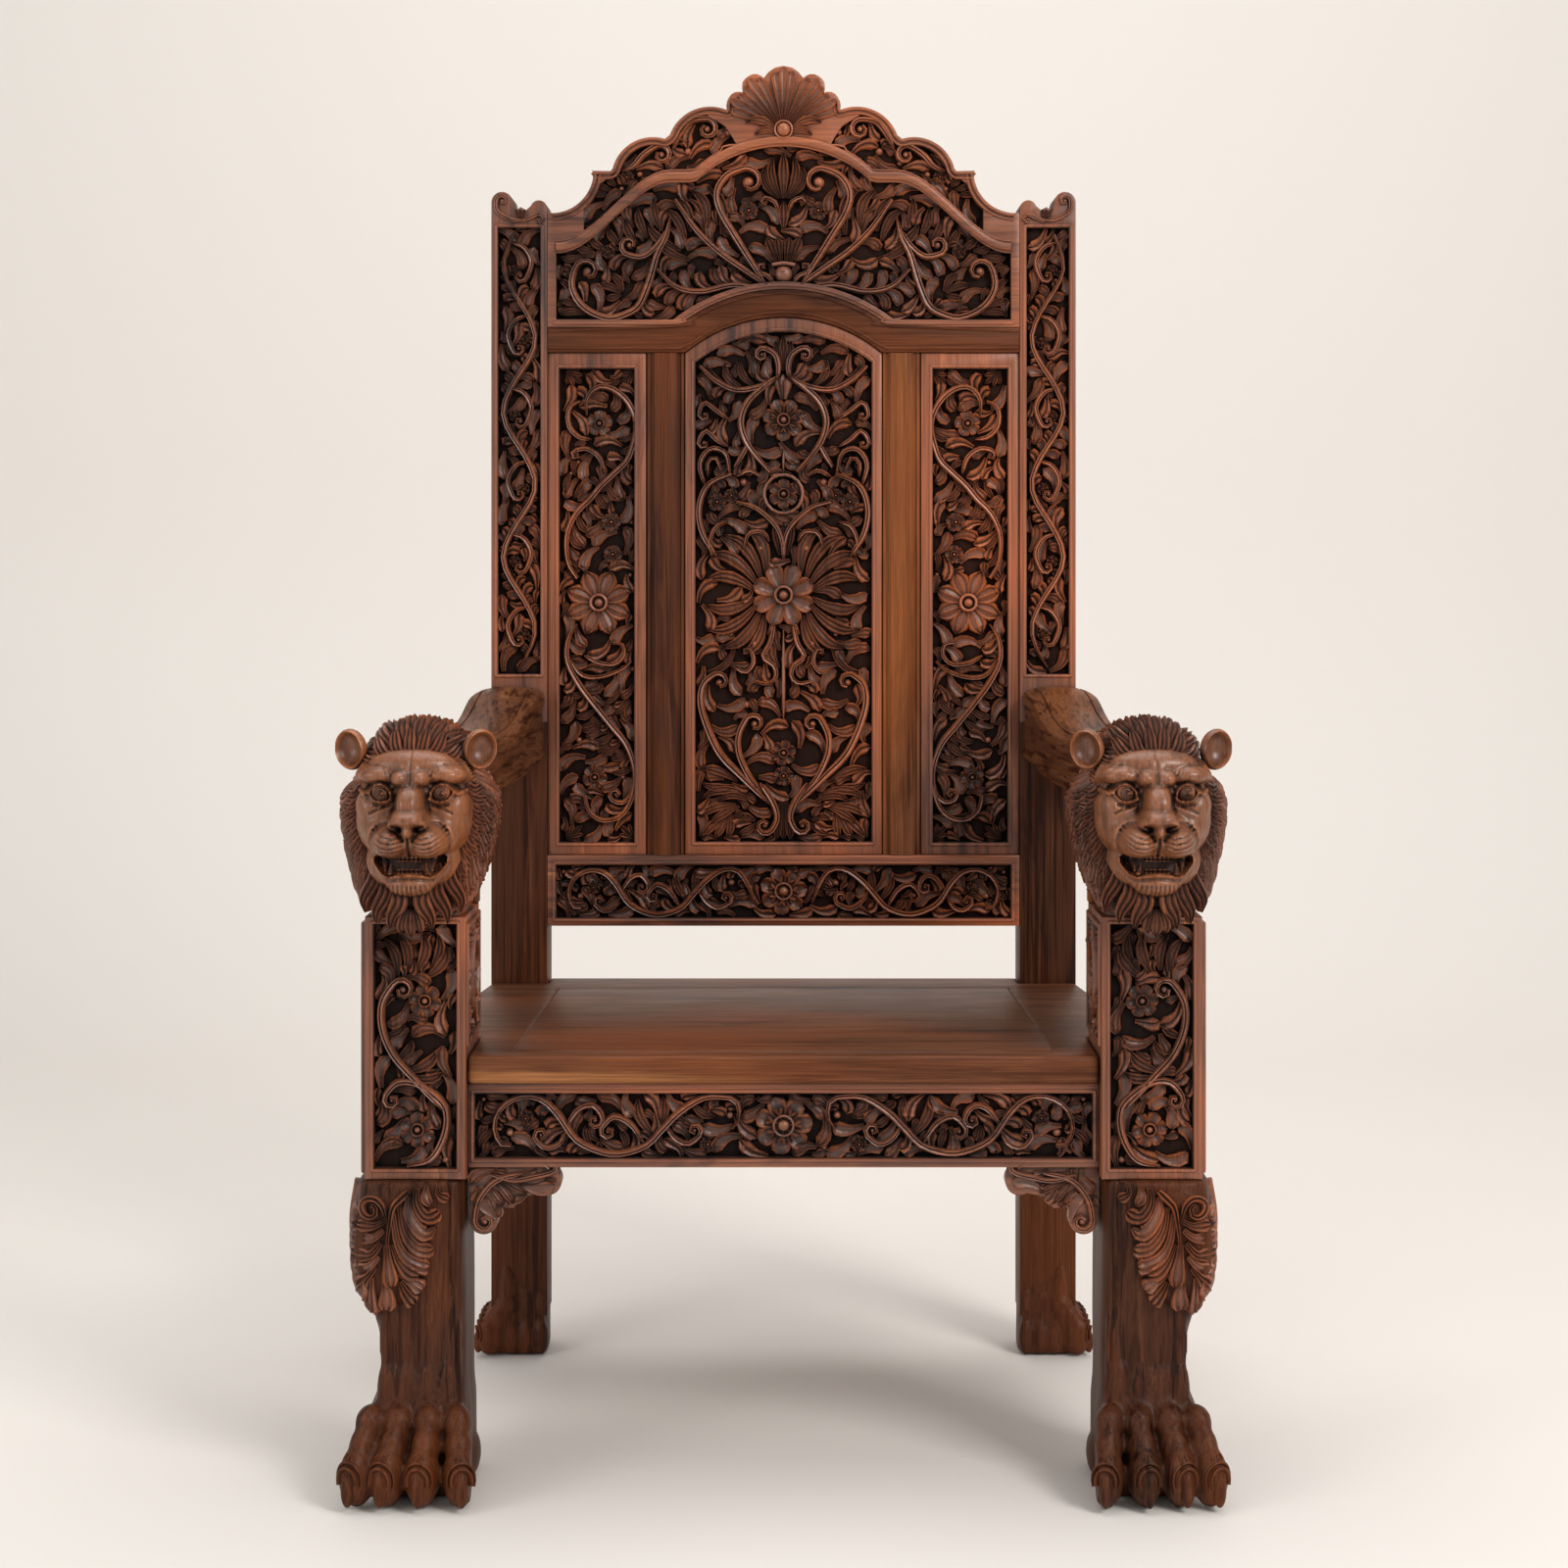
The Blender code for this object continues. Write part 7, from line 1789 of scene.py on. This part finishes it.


# Materials

# carved sets how much painted shade and painted ridge light the wood takes, and how much duller its hollows
# are.
def rosewood(name, axis, dark, mid, light, streak=1.0, rough=0.40, carved=1.0, sheen_level=0.72,
        sapwood=None):
    """Dark polished wood: banded grain along one axis, pores, warm patches, painted shade and ridge light.
    """
    made = bpy.data.materials.new(name)
    made.use_nodes = True
    nodes, links = made.node_tree.nodes, made.node_tree.links
    shader = nodes["Principled BSDF"]

    def node(kind, **values):
        n = nodes.new(kind)
        for key, value in values.items():
            setattr(n, key, value)
        return n

    def mapped(stretch, offset=(0, 0, 0)):
        m = node("ShaderNodeMapping")
        scale = [1.0, 1.0, 1.0]
        scale["XYZ".index(axis)] = stretch
        m.inputs["Scale"].default_value = scale
        m.inputs["Location"].default_value = offset
        links.new(coords.outputs["Object"], m.inputs["Vector"])
        return m.outputs["Vector"]

    def noise(vector, scale, detail=4.0, distortion=0.0):
        n = node("ShaderNodeTexNoise")
        n.inputs["Scale"].default_value = scale
        n.inputs["Detail"].default_value = detail
        n.inputs["Roughness"].default_value = 0.55
        n.inputs["Distortion"].default_value = distortion
        links.new(vector, n.inputs["Vector"])
        return n.outputs["Fac"]

    def ramp(factor, *stops):
        r = node("ShaderNodeValToRGB")
        while len(r.color_ramp.elements) < len(stops):
            r.color_ramp.elements.new(0.5)
        for element, (at, colour) in zip(r.color_ramp.elements, stops):
            element.position = at
            element.color = (*colour, 1)
        links.new(factor, r.inputs["Fac"])
        return r.outputs["Color"]

    def blend(kind, factor, a, b):
        m = node("ShaderNodeMix", data_type="RGBA", blend_type=kind)
        if isinstance(factor, float):
            m.inputs["Factor"].default_value = factor
        else:
            links.new(factor, m.inputs["Factor"])
        for value, socket in ((a, m.inputs[6]), (b, m.inputs[7])):
            if isinstance(value, tuple):
                socket.default_value = (*value, 1)
            else:
                links.new(value, socket)
        return m.outputs[2]

    def limited(value, low, high):
        m = node("ShaderNodeMapRange")
        m.inputs["From Min"].default_value = low
        m.inputs["From Max"].default_value = high
        links.new(value, m.inputs["Value"])
        return m.outputs["Result"]

    def streaked(under, colour):
        """A golden streak of sapwood that runs in from the left end of the front edge."""
        place = node("ShaderNodeSeparateXYZ")
        links.new(coords.outputs["Object"], place.inputs["Vector"])
        ragged = node("ShaderNodeMath", operation="MULTIPLY_ADD")
        links.new(noise(mapped(0.15, (4, 4, 4)), 22.0, 3.0), ragged.inputs[0])
        ragged.inputs[1].default_value = 0.030
        links.new(place.outputs["Z"], ragged.inputs[2])
        above, below = limited(ragged.outputs[0], 0.4475, 0.4505), limited(ragged.outputs[0], 0.4665,
                0.4625)
        leftward, forward = limited(place.outputs["X"], 0.02, -0.22), limited(place.outputs["Y"], -0.20,
                -0.245)
        share = above
        for other in (below, leftward, forward):
            both = node("ShaderNodeMath", operation="MULTIPLY")
            links.new(share, both.inputs[0])
            links.new(other, both.inputs[1])
            share = both.outputs[0]
        return blend("MIX", share, under, tuple(1.25 * c for c in colour))

    coords = node("ShaderNodeTexCoord")
    bands = noise(mapped(0.055), 46.0, 6.0, 0.7)
    base = ramp(bands, (0.32, dark), (0.45, mid), (0.60, mid), (0.76, light))
    lines = noise(mapped(0.024, (3, 1, 7)), 150.0, 3.0, 0.5)
    dark_lines = ramp(lines, (0.53, (0, 0, 0)), (0.62, (streak, streak, streak)))
    base = blend("MULTIPLY", dark_lines, base, (0.36, 0.27, 0.22))
    figure = noise(mapped(0.16, (6, 2, 3)), 16.0, 4.0, 1.6)
    figured = ramp(figure, (0.56, (0, 0, 0)), (0.63, (0.75, 0.75, 0.75)), (0.70, (0, 0, 0)))
    base = blend("MULTIPLY", figured, base, (0.42, 0.33, 0.28))
    patches = noise(mapped(0.30, (9, 4, 2)), 6.0, 3.0)
    warm = ramp(patches, (0.46, (0, 0, 0)), (0.70, (0.7, 0.7, 0.7)))
    base = blend("MIX", warm, base, tuple(min(1, c * k) for c, k in zip(light, (1.25, 0.92, 0.60))))
    if sapwood:
        base = streaked(base, sapwood)
    fibre = noise(mapped(0.02, (1, 8, 5)), 620.0, 2.0)
    fibres = ramp(fibre, (0.36, (0.72, 0.70, 0.68)), (0.62, (1.12, 1.12, 1.12)))
    base = blend("MULTIPLY", 1.0, base, fibres)
    # Painted shade: ambient occlusion darkens the colour in hollows, creases and under overlapping cuts;
    # its top stop pales open tops a little as painted light.
    hollow = node("ShaderNodeAmbientOcclusion", samples=6)
    hollow.inputs["Distance"].default_value = 0.0095
    painted_hollow_shade = ramp(hollow.outputs["AO"], (0.18, (0.06, 0.038, 0.025)), (0.50, (0.50, 0.43, 0.38)),
            (0.80, (1.12, 1.10, 1.08)))
    base = blend("MULTIPLY", carved, base, painted_hollow_shade)
    # Painted light and shade: pointiness darkens concave creases as painted shade, and pales and greys
    # sharp ridges as a painted highlight, partly also as rubbed wear.
    painted_ridge_light_and_wear = ramp(node("ShaderNodeNewGeometry").outputs["Pointiness"], (0.44, (0.50, 0.46, 0.43)),
            (0.50, (1.0, 1.0, 1.0)), (0.56, (1.55, 1.48, 1.40)))
    base = blend("MULTIPLY", carved, base, painted_ridge_light_and_wear)
    links.new(base, shader.inputs["Base Color"])
    sheen = noise(mapped(0.2, (5, 5, 5)), 60.0, 3.0)
    gloss = node("ShaderNodeMapRange")
    gloss.inputs["To Min"].default_value = rough - 0.09
    gloss.inputs["To Max"].default_value = rough + 0.12
    links.new(sheen, gloss.inputs["Value"])
    dull = node("ShaderNodeMath", operation="MULTIPLY_ADD")
    links.new(limited(hollow.outputs["AO"], 0.80, 0.40), dull.inputs[0])
    dull.inputs[1].default_value = 0.30 * carved
    links.new(gloss.outputs["Result"], dull.inputs[2])
    links.new(dull.outputs[0], shader.inputs["Roughness"])
    shader.inputs["Specular IOR Level"].default_value = sheen_level
    bump = node("ShaderNodeBump")
    bump.inputs["Strength"].default_value = 0.28
    bump.inputs["Distance"].default_value = 0.0006
    tool_marks = noise(mapped(0.7, (2, 2, 9)), 90.0, 2.0)
    mixed = node("ShaderNodeMath", operation="ADD")
    scaled = node("ShaderNodeMath", operation="MULTIPLY")
    scaled.inputs[1].default_value = 1.6
    links.new(tool_marks, scaled.inputs[0])
    links.new(scaled.outputs[0], mixed.inputs[0])
    links.new(fibre, mixed.inputs[1])
    links.new(mixed.outputs[0], bump.inputs["Height"])
    links.new(bump.outputs["Normal"], shader.inputs["Normal"])
    return made


def wood(name):
    """The throne's wood by name: what it is for, then which way its grain runs."""
    found = bpy.data.materials.get(name)
    if found:
        return found
    colours = bpy.context.scene.throne_colours
    dark, mid, light, gold = (tuple(c) for c in (colours.dark, colours.middle, colours.light, colours.gold))
    kind, run = name.split("_")[:2]
    axis = {"upright": "Z", "across": "X", "deep": "Y"}[run]
    # Carved wood is painted paler than plain wood by the carving lift: painted light that offsets the shade
    # painted in its hollows.
    if kind == "carved":
        return rosewood(name, axis, *(tuple(c * colours.carved_lift for c in tone) for tone in (dark, mid,
                light)), 0.7, 0.40, 1.0)
    # Sunk grounds take darker, duller wood: painted shade in the recessed fields.
    if kind == "sunk":
        return rosewood(name, axis, *(tuple(c * 0.8 for c in tone) for tone in (dark, dark, mid)), 0.7,
                0.60, 1.0, 0.14)
    if kind == "seat":
        return rosewood(name, axis, mid, tuple(c * 0.8 for c in light), tuple(c * 1.2 for c in light), 0.9,
                0.46, 0.3, 0.20, gold)
    if kind == "lion":
        return rosewood(name, axis, light, tuple(c * 1.5 for c in light), tuple(c * 1.15 for c in gold),
                0.4, 0.36, 1.0, 0.60)
    if kind == "golden":
        return rosewood(name, axis, mid, light, gold, 1.0, 0.44, 0.4, 0.16)
    return rosewood(name, axis, dark, mid, light, 1.0, 0.44, 0.4, 0.16)


# The add-on

class ThroneColours(bpy.types.PropertyGroup):
    """Colours of the wood and of the studio."""
    dark: bpy.props.FloatVectorProperty(name="Dark grain", description="The darkest bands of the rosewood",
                                        default=(0.0200, 0.0062, 0.0026), subtype="COLOR", min=0, max=1)
    middle: bpy.props.FloatVectorProperty(name="Middle grain", description="Most of the rosewood",
                                          default=(0.0620, 0.0200, 0.0085), subtype="COLOR", min=0, max=1)
    light: bpy.props.FloatVectorProperty(name="Light grain",
            description="The lightest bands of the rosewood", default=(0.1300, 0.0480, 0.0200),
            subtype="COLOR", min=0, max=1)
    gold: bpy.props.FloatVectorProperty(name="Golden grain",
            description="Sapwood of the arms, lion heads and seat", default=(0.2300, 0.0930, 0.0330),
            subtype="COLOR", min=0, max=1)
    # The carving lift is painted light: it makes the carving paler than plain wood of the same rosewood,
    # against the shade painted in its hollows.
    carved_lift: bpy.props.FloatProperty(name="Carving lift",
            description="How much paler the light_painted carving is than the plain wood", default=2.1, min=0.5,
            max=4)
    studio: bpy.props.FloatVectorProperty(name="Studio", description="The backdrop and floor",
                                          default=(0.850, 0.808, 0.765), subtype="COLOR", min=0, max=1)


class ThroneSizes(bpy.types.PropertyGroup):
    """Sizes that the dressing may change without leaving the solids."""
    seat_ease: bpy.props.FloatProperty(name="Seat edge", description="How far the seat's edges are rounded",
                                       default=0.0045, subtype="DISTANCE", unit="LENGTH")
    rail_ease: bpy.props.FloatProperty(name="Rail edge",
            description="How far the rear apron's edges are rounded", default=0.0025, subtype="DISTANCE",
            unit="LENGTH")
    eye_height: bpy.props.FloatProperty(name="Camera height",
            description="Height of the camera over the floor", default=1.022, subtype="DISTANCE",
            unit="LENGTH")


SIDES = ((-1, "left"), (1, "right"))

# The photograph's width and height, and in its pixels the focal length, the middle column and the horizon
IMAGE, FOCAL, MIDDLE_COLUMN, HORIZON_ROW = 1600, 2809, 800.5, 557
EYE_AHEAD = 3.246


class THRONE_OT_back(bpy.types.Operator):
    """Carved panels, uprights and rails of the back"""
    bl_idname = "throne.back"
    bl_label = "Back"

    def execute(self, context):
        boards = [finish_piece("carved_centre_panel", centre_panel(), wood("carved_upright_rosewood"),
                "carved_wood", ["centre_panel"]), finish_piece("carved_bottom_rail", bottom_rail(),
                wood("carved_across_rosewood"), "carved_wood", ["bottom_rail"])]
        finish_piece("moulded_mid_rail", mid_rail(), wood("plain_across_rosewood"), "plain_wood",
                ["arched_mid_rail"])
        for side, word in SIDES:
            # The right muntin takes the paler golden wood: partly a lighter board, partly painted light
            # from the key lamp on its side.
            upright = "golden_upright_rosewood" if side > 0 else "plain_upright_rosewood"
            boards.append(finish_piece(f"carved_{word}_panel", side_panel(side),
                    wood("carved_upright_rosewood"), "carved_wood", [f"{word}_panel"]))
            finish_piece(f"moulded_{word}_muntin", muntin(side), wood(upright), "plain_wood",
                    [f"{word}_muntin"])
        for board in boards:
            plain_faces(board, wood("plain_upright_rosewood"), plain_back)
        return {"FINISHED"}


class THRONE_OT_crest(bpy.types.Operator):
    """The scalloped crest with its shell and mouldings"""
    bl_idname = "throne.crest"
    bl_label = "Crest"

    def execute(self, context):
        board = finish_piece("carved_crest", crest(), wood("carved_across_rosewood"), "carved_wood",
                ["crest_rail"])
        plain_faces(board, wood("plain_across_rosewood"), plain_back)
        return {"FINISHED"}


class THRONE_OT_stiles(bpy.types.Operator):
    """Stiles with their carved strips, ears and rear paws"""
    bl_idname = "throne.stiles"
    bl_label = "Stiles"

    def execute(self, context):
        for side, word in SIDES:
            bm = stile(side)
            join_into(bm, rear_paw(side))
            bmesh.ops.bisect_plane(bm, geom=[*bm.verts, *bm.edges, *bm.faces], dist=1e-6,
                    plane_co=(0, 0, PLAIN_BELOW), plane_no=(0, 0, 1))
            plank = finish_piece(f"carved_{word}_stile", bm, wood("carved_upright_rosewood"), "carved_wood",
                                 [f"{word}_stile_and_rear_leg"])
            plain_faces(plank, wood("plain_upright_rosewood"), lambda face: face.center.z < PLAIN_BELOW
                    or face.center.y > STILE_FACE + PLAIN_BEHIND)
        return {"FINISHED"}


class THRONE_OT_front(bpy.types.Operator):
    """Front posts, legs with their paws, and corner brackets"""
    bl_idname = "throne.front"
    bl_label = "Posts and legs"

    def execute(self, context):
        for side, word in SIDES:
            finish_piece(f"carved_{word}_post", post(side), wood("carved_upright_rosewood"), "carved_wood",
                    [f"{word}_front_post"])
            finish_piece(f"carved_{word}_leg", front_leg(side), wood("plain_upright_rosewood"),
                    "carved_wood", [f"{word}_front_leg"], 42, wood("carved_upright_rosewood"))
            finish_piece(f"carved_{word}_bracket", bracket(side), wood("carved_across_rosewood"),
                    "carved_wood", [f"{word}_bracket"])
        return {"FINISHED"}


class THRONE_OT_lions(bpy.types.Operator):
    """The two lion heads"""
    bl_idname = "throne.lions"
    bl_label = "Lion heads"

    def execute(self, context):
        for side, word in SIDES:
            finish_piece(f"carved_{word}_lion", lion_head(side), wood("lion_upright_rosewood"), "lion_wood",
                    [f"{word}_lion_head"], 60, wood("carved_upright_rosewood"))
        return {"FINISHED"}


class THRONE_OT_seat(bpy.types.Operator):
    """Arms, seat and aprons"""
    bl_idname = "throne.seat"
    bl_label = "Arms and seat"

    def execute(self, context):
        sizes = context.scene.throne_sizes
        for side, word in SIDES:
            finish_piece(f"shaped_{word}_arm", arm(side), wood("golden_deep_rosewood"), "plain_wood",
                    [f"{word}_arm"], 30)
            finish_piece(f"carved_{word}_apron", side_apron(side), wood("carved_deep_rosewood"),
                    "carved_wood", [f"{word}_apron"])
        finish_piece("carved_front_apron", front_apron(), wood("carved_across_rosewood"), "carved_wood",
                ["front_apron"])
        for name, node, ease, grain, slot in (
                ("eased_seat_frame", "seat_frame", sizes.seat_ease, "seat_across_rosewood", "seat_wood"),
                ("eased_seat_panel", "seat_panel", 0.0010, "seat_across_rosewood", "seat_wood"),
                ("eased_rear_apron", "rear_apron", sizes.rail_ease, "plain_across_rosewood", "plain_wood")):
            bm = bmesh.new()
            eased_copy(bm, node, ease)
            finish_piece(name, bm, wood(grain), slot, [node], 30)
        return {"FINISHED"}


class THRONE_OT_stage(bpy.types.Operator):
    """Seamless studio floor and backdrop, soft lights and the camera"""
    bl_idname = "throne.stage"
    bl_label = "Studio"

    def execute(self, context):
        scene = context.scene
        scene.view_settings.view_transform = "Standard"
        studio_sweep(tuple(scene.throne_colours.studio))
        for name, place, aim, size, power, tint in LIGHTS:
            soft_light(name, place, aim, size, power, tint)
        world = scene.world or bpy.data.worlds.new("studio")
        scene.world = world
        world.use_nodes = True
        sky = world.node_tree.nodes["Background"]
        sky.inputs["Color"].default_value = (1.0, 0.990, 0.975, 1)
        sky.inputs["Strength"].default_value = 0.50
        camera = bpy.data.cameras.new("camera")
        camera.sensor_width = 36
        camera.lens = FOCAL / IMAGE * 36
        camera.sensor_fit = "HORIZONTAL"
        camera.shift_x = (MIDDLE_COLUMN - IMAGE / 2) / IMAGE
        camera.shift_y = -(IMAGE / 2 - HORIZON_ROW) / IMAGE
        camera.clip_end = 50
        eye = bpy.data.objects.new("camera", camera)
        eye.location = (0, -EYE_AHEAD + SHIFT, scene.throne_sizes.eye_height)
        eye.rotation_euler = (math.pi / 2, 0, 0)
        scene.collection.objects.link(eye)
        scene.camera = eye
        return {"FINISHED"}


LIGHTS = (
    ("key", (2.5, -2.9, 3.0), (0, 0, 0.8), 1.4, 99, (1.0, 0.978, 0.950)),
    ("fill", (-3.0, -2.4, 1.6), (0, 0, 0.7), 1.6, 30, (1.0, 0.990, 0.975)),
    ("top", (0.0, 0.1, 4.2), (0, 0.1, 0.0), 3.0, 44, (1.0, 0.990, 0.975)),
    ("wash", (0.0, 0.9, 4.4), (0, 3.4, 1.4), 3.2, 34, (1.0, 0.990, 0.975)),
)


def soft_light(name, place, aim, size, power, tint):
    lamp = bpy.data.lights.new(name, "AREA")
    lamp.shape = "SQUARE"
    lamp.size = size
    lamp.energy = power
    lamp.color = tint
    made = bpy.data.objects.new(name, lamp)
    made.location = place
    made.rotation_euler = (Vector(aim) - Vector(place)).to_track_quat("-Z", "Y").to_euler()
    bpy.context.scene.collection.objects.link(made)


def studio_sweep(colour):
    """A floor that bends up into a backdrop, far wider than the view."""
    bm = bmesh.new()
    profile_points = [(-7.0, 0.0), (2.2, 0.0)] + [(2.2 + 1.2 * math.sin(a), 1.2 - 1.2 * math.cos(a))
            for a in np.radians(np.linspace(8, 90, 12))] + [(3.4, 7.0)]
    verts = [bm.verts.new((-9.0, y, z)) for y, z in profile_points]
    edges = [bm.edges.new(pair) for pair in zip(verts, verts[1:])]
    grown = bmesh.ops.extrude_edge_only(bm, edges=edges)["geom"]
    bmesh.ops.translate(bm, vec=(18.0, 0, 0), verts=[v for v in grown if isinstance(v, bmesh.types.BMVert)])
    bmesh.ops.recalc_face_normals(bm, faces=bm.faces)
    if sum(f.normal.z for f in bm.faces) < 0:
        bmesh.ops.reverse_faces(bm, faces=bm.faces)
    for face in bm.faces:
        face.smooth = True
    mesh = bpy.data.meshes.new("studio_sweep")
    bm.to_mesh(mesh)
    bm.free()
    paper = bpy.data.materials.new("studio_paper")
    paper.use_nodes = True
    shader = paper.node_tree.nodes["Principled BSDF"]
    shader.inputs["Roughness"].default_value = 0.75
    shader.inputs["Specular IOR Level"].default_value = 0.2
    tone = paper.node_tree.nodes.new("ShaderNodeTexNoise")
    tone.inputs["Scale"].default_value = 0.35
    mixer = paper.node_tree.nodes.new("ShaderNodeMix")
    mixer.data_type = "RGBA"
    mixer.inputs[6].default_value = (*colour, 1)
    mixer.inputs[7].default_value = (*(c * 0.97 for c in colour), 1)
    paper.node_tree.links.new(tone.outputs["Fac"], mixer.inputs["Factor"])
    paper.node_tree.links.new(mixer.outputs[2], shader.inputs["Base Color"])
    mesh.materials.append(paper)
    sweep = bpy.data.objects.new("studio_sweep", mesh)
    bpy.context.scene.collection.objects.link(sweep)


OPERATORS = (THRONE_OT_back, THRONE_OT_crest, THRONE_OT_stiles, THRONE_OT_front, THRONE_OT_lions,
        THRONE_OT_seat, THRONE_OT_stage)


class THRONE_PT_panel(bpy.types.Panel):
    """Buttons that build the throne's looks"""
    bl_idname = "THRONE_PT_panel"
    bl_label = "Carved throne"
    bl_space_type = "VIEW_3D"
    bl_region_type = "UI"
    bl_category = "Throne"

    def draw(self, context):
        for group in (context.scene.throne_colours, context.scene.throne_sizes):
            for key in group.bl_rna.properties.keys():
                if key not in ("rna_type", "name"):
                    self.layout.prop(group, key)
        for operator in OPERATORS:
            self.layout.operator(operator.bl_idname)


CLASSES = (ThroneColours, ThroneSizes, *OPERATORS, THRONE_PT_panel)


def register():
    for cls in CLASSES:
        bpy.utils.register_class(cls)
    bpy.types.Scene.throne_colours = bpy.props.PointerProperty(type=ThroneColours)
    bpy.types.Scene.throne_sizes = bpy.props.PointerProperty(type=ThroneSizes)


def unregister():
    del bpy.types.Scene.throne_colours
    del bpy.types.Scene.throne_sizes
    for cls in reversed(CLASSES):
        bpy.utils.unregister_class(cls)


def main():
    register()
    for operator in OPERATORS:
        family, name = operator.bl_idname.split(".")
        getattr(getattr(bpy.ops, family), name)()
    for mesh, *_ in (*TEMPLATES.values(), *DOMES.values()):
        bpy.data.meshes.remove(mesh)
    TEMPLATES.clear()
    DOMES.clear()
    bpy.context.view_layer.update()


if __name__ == "__main__":
    main()
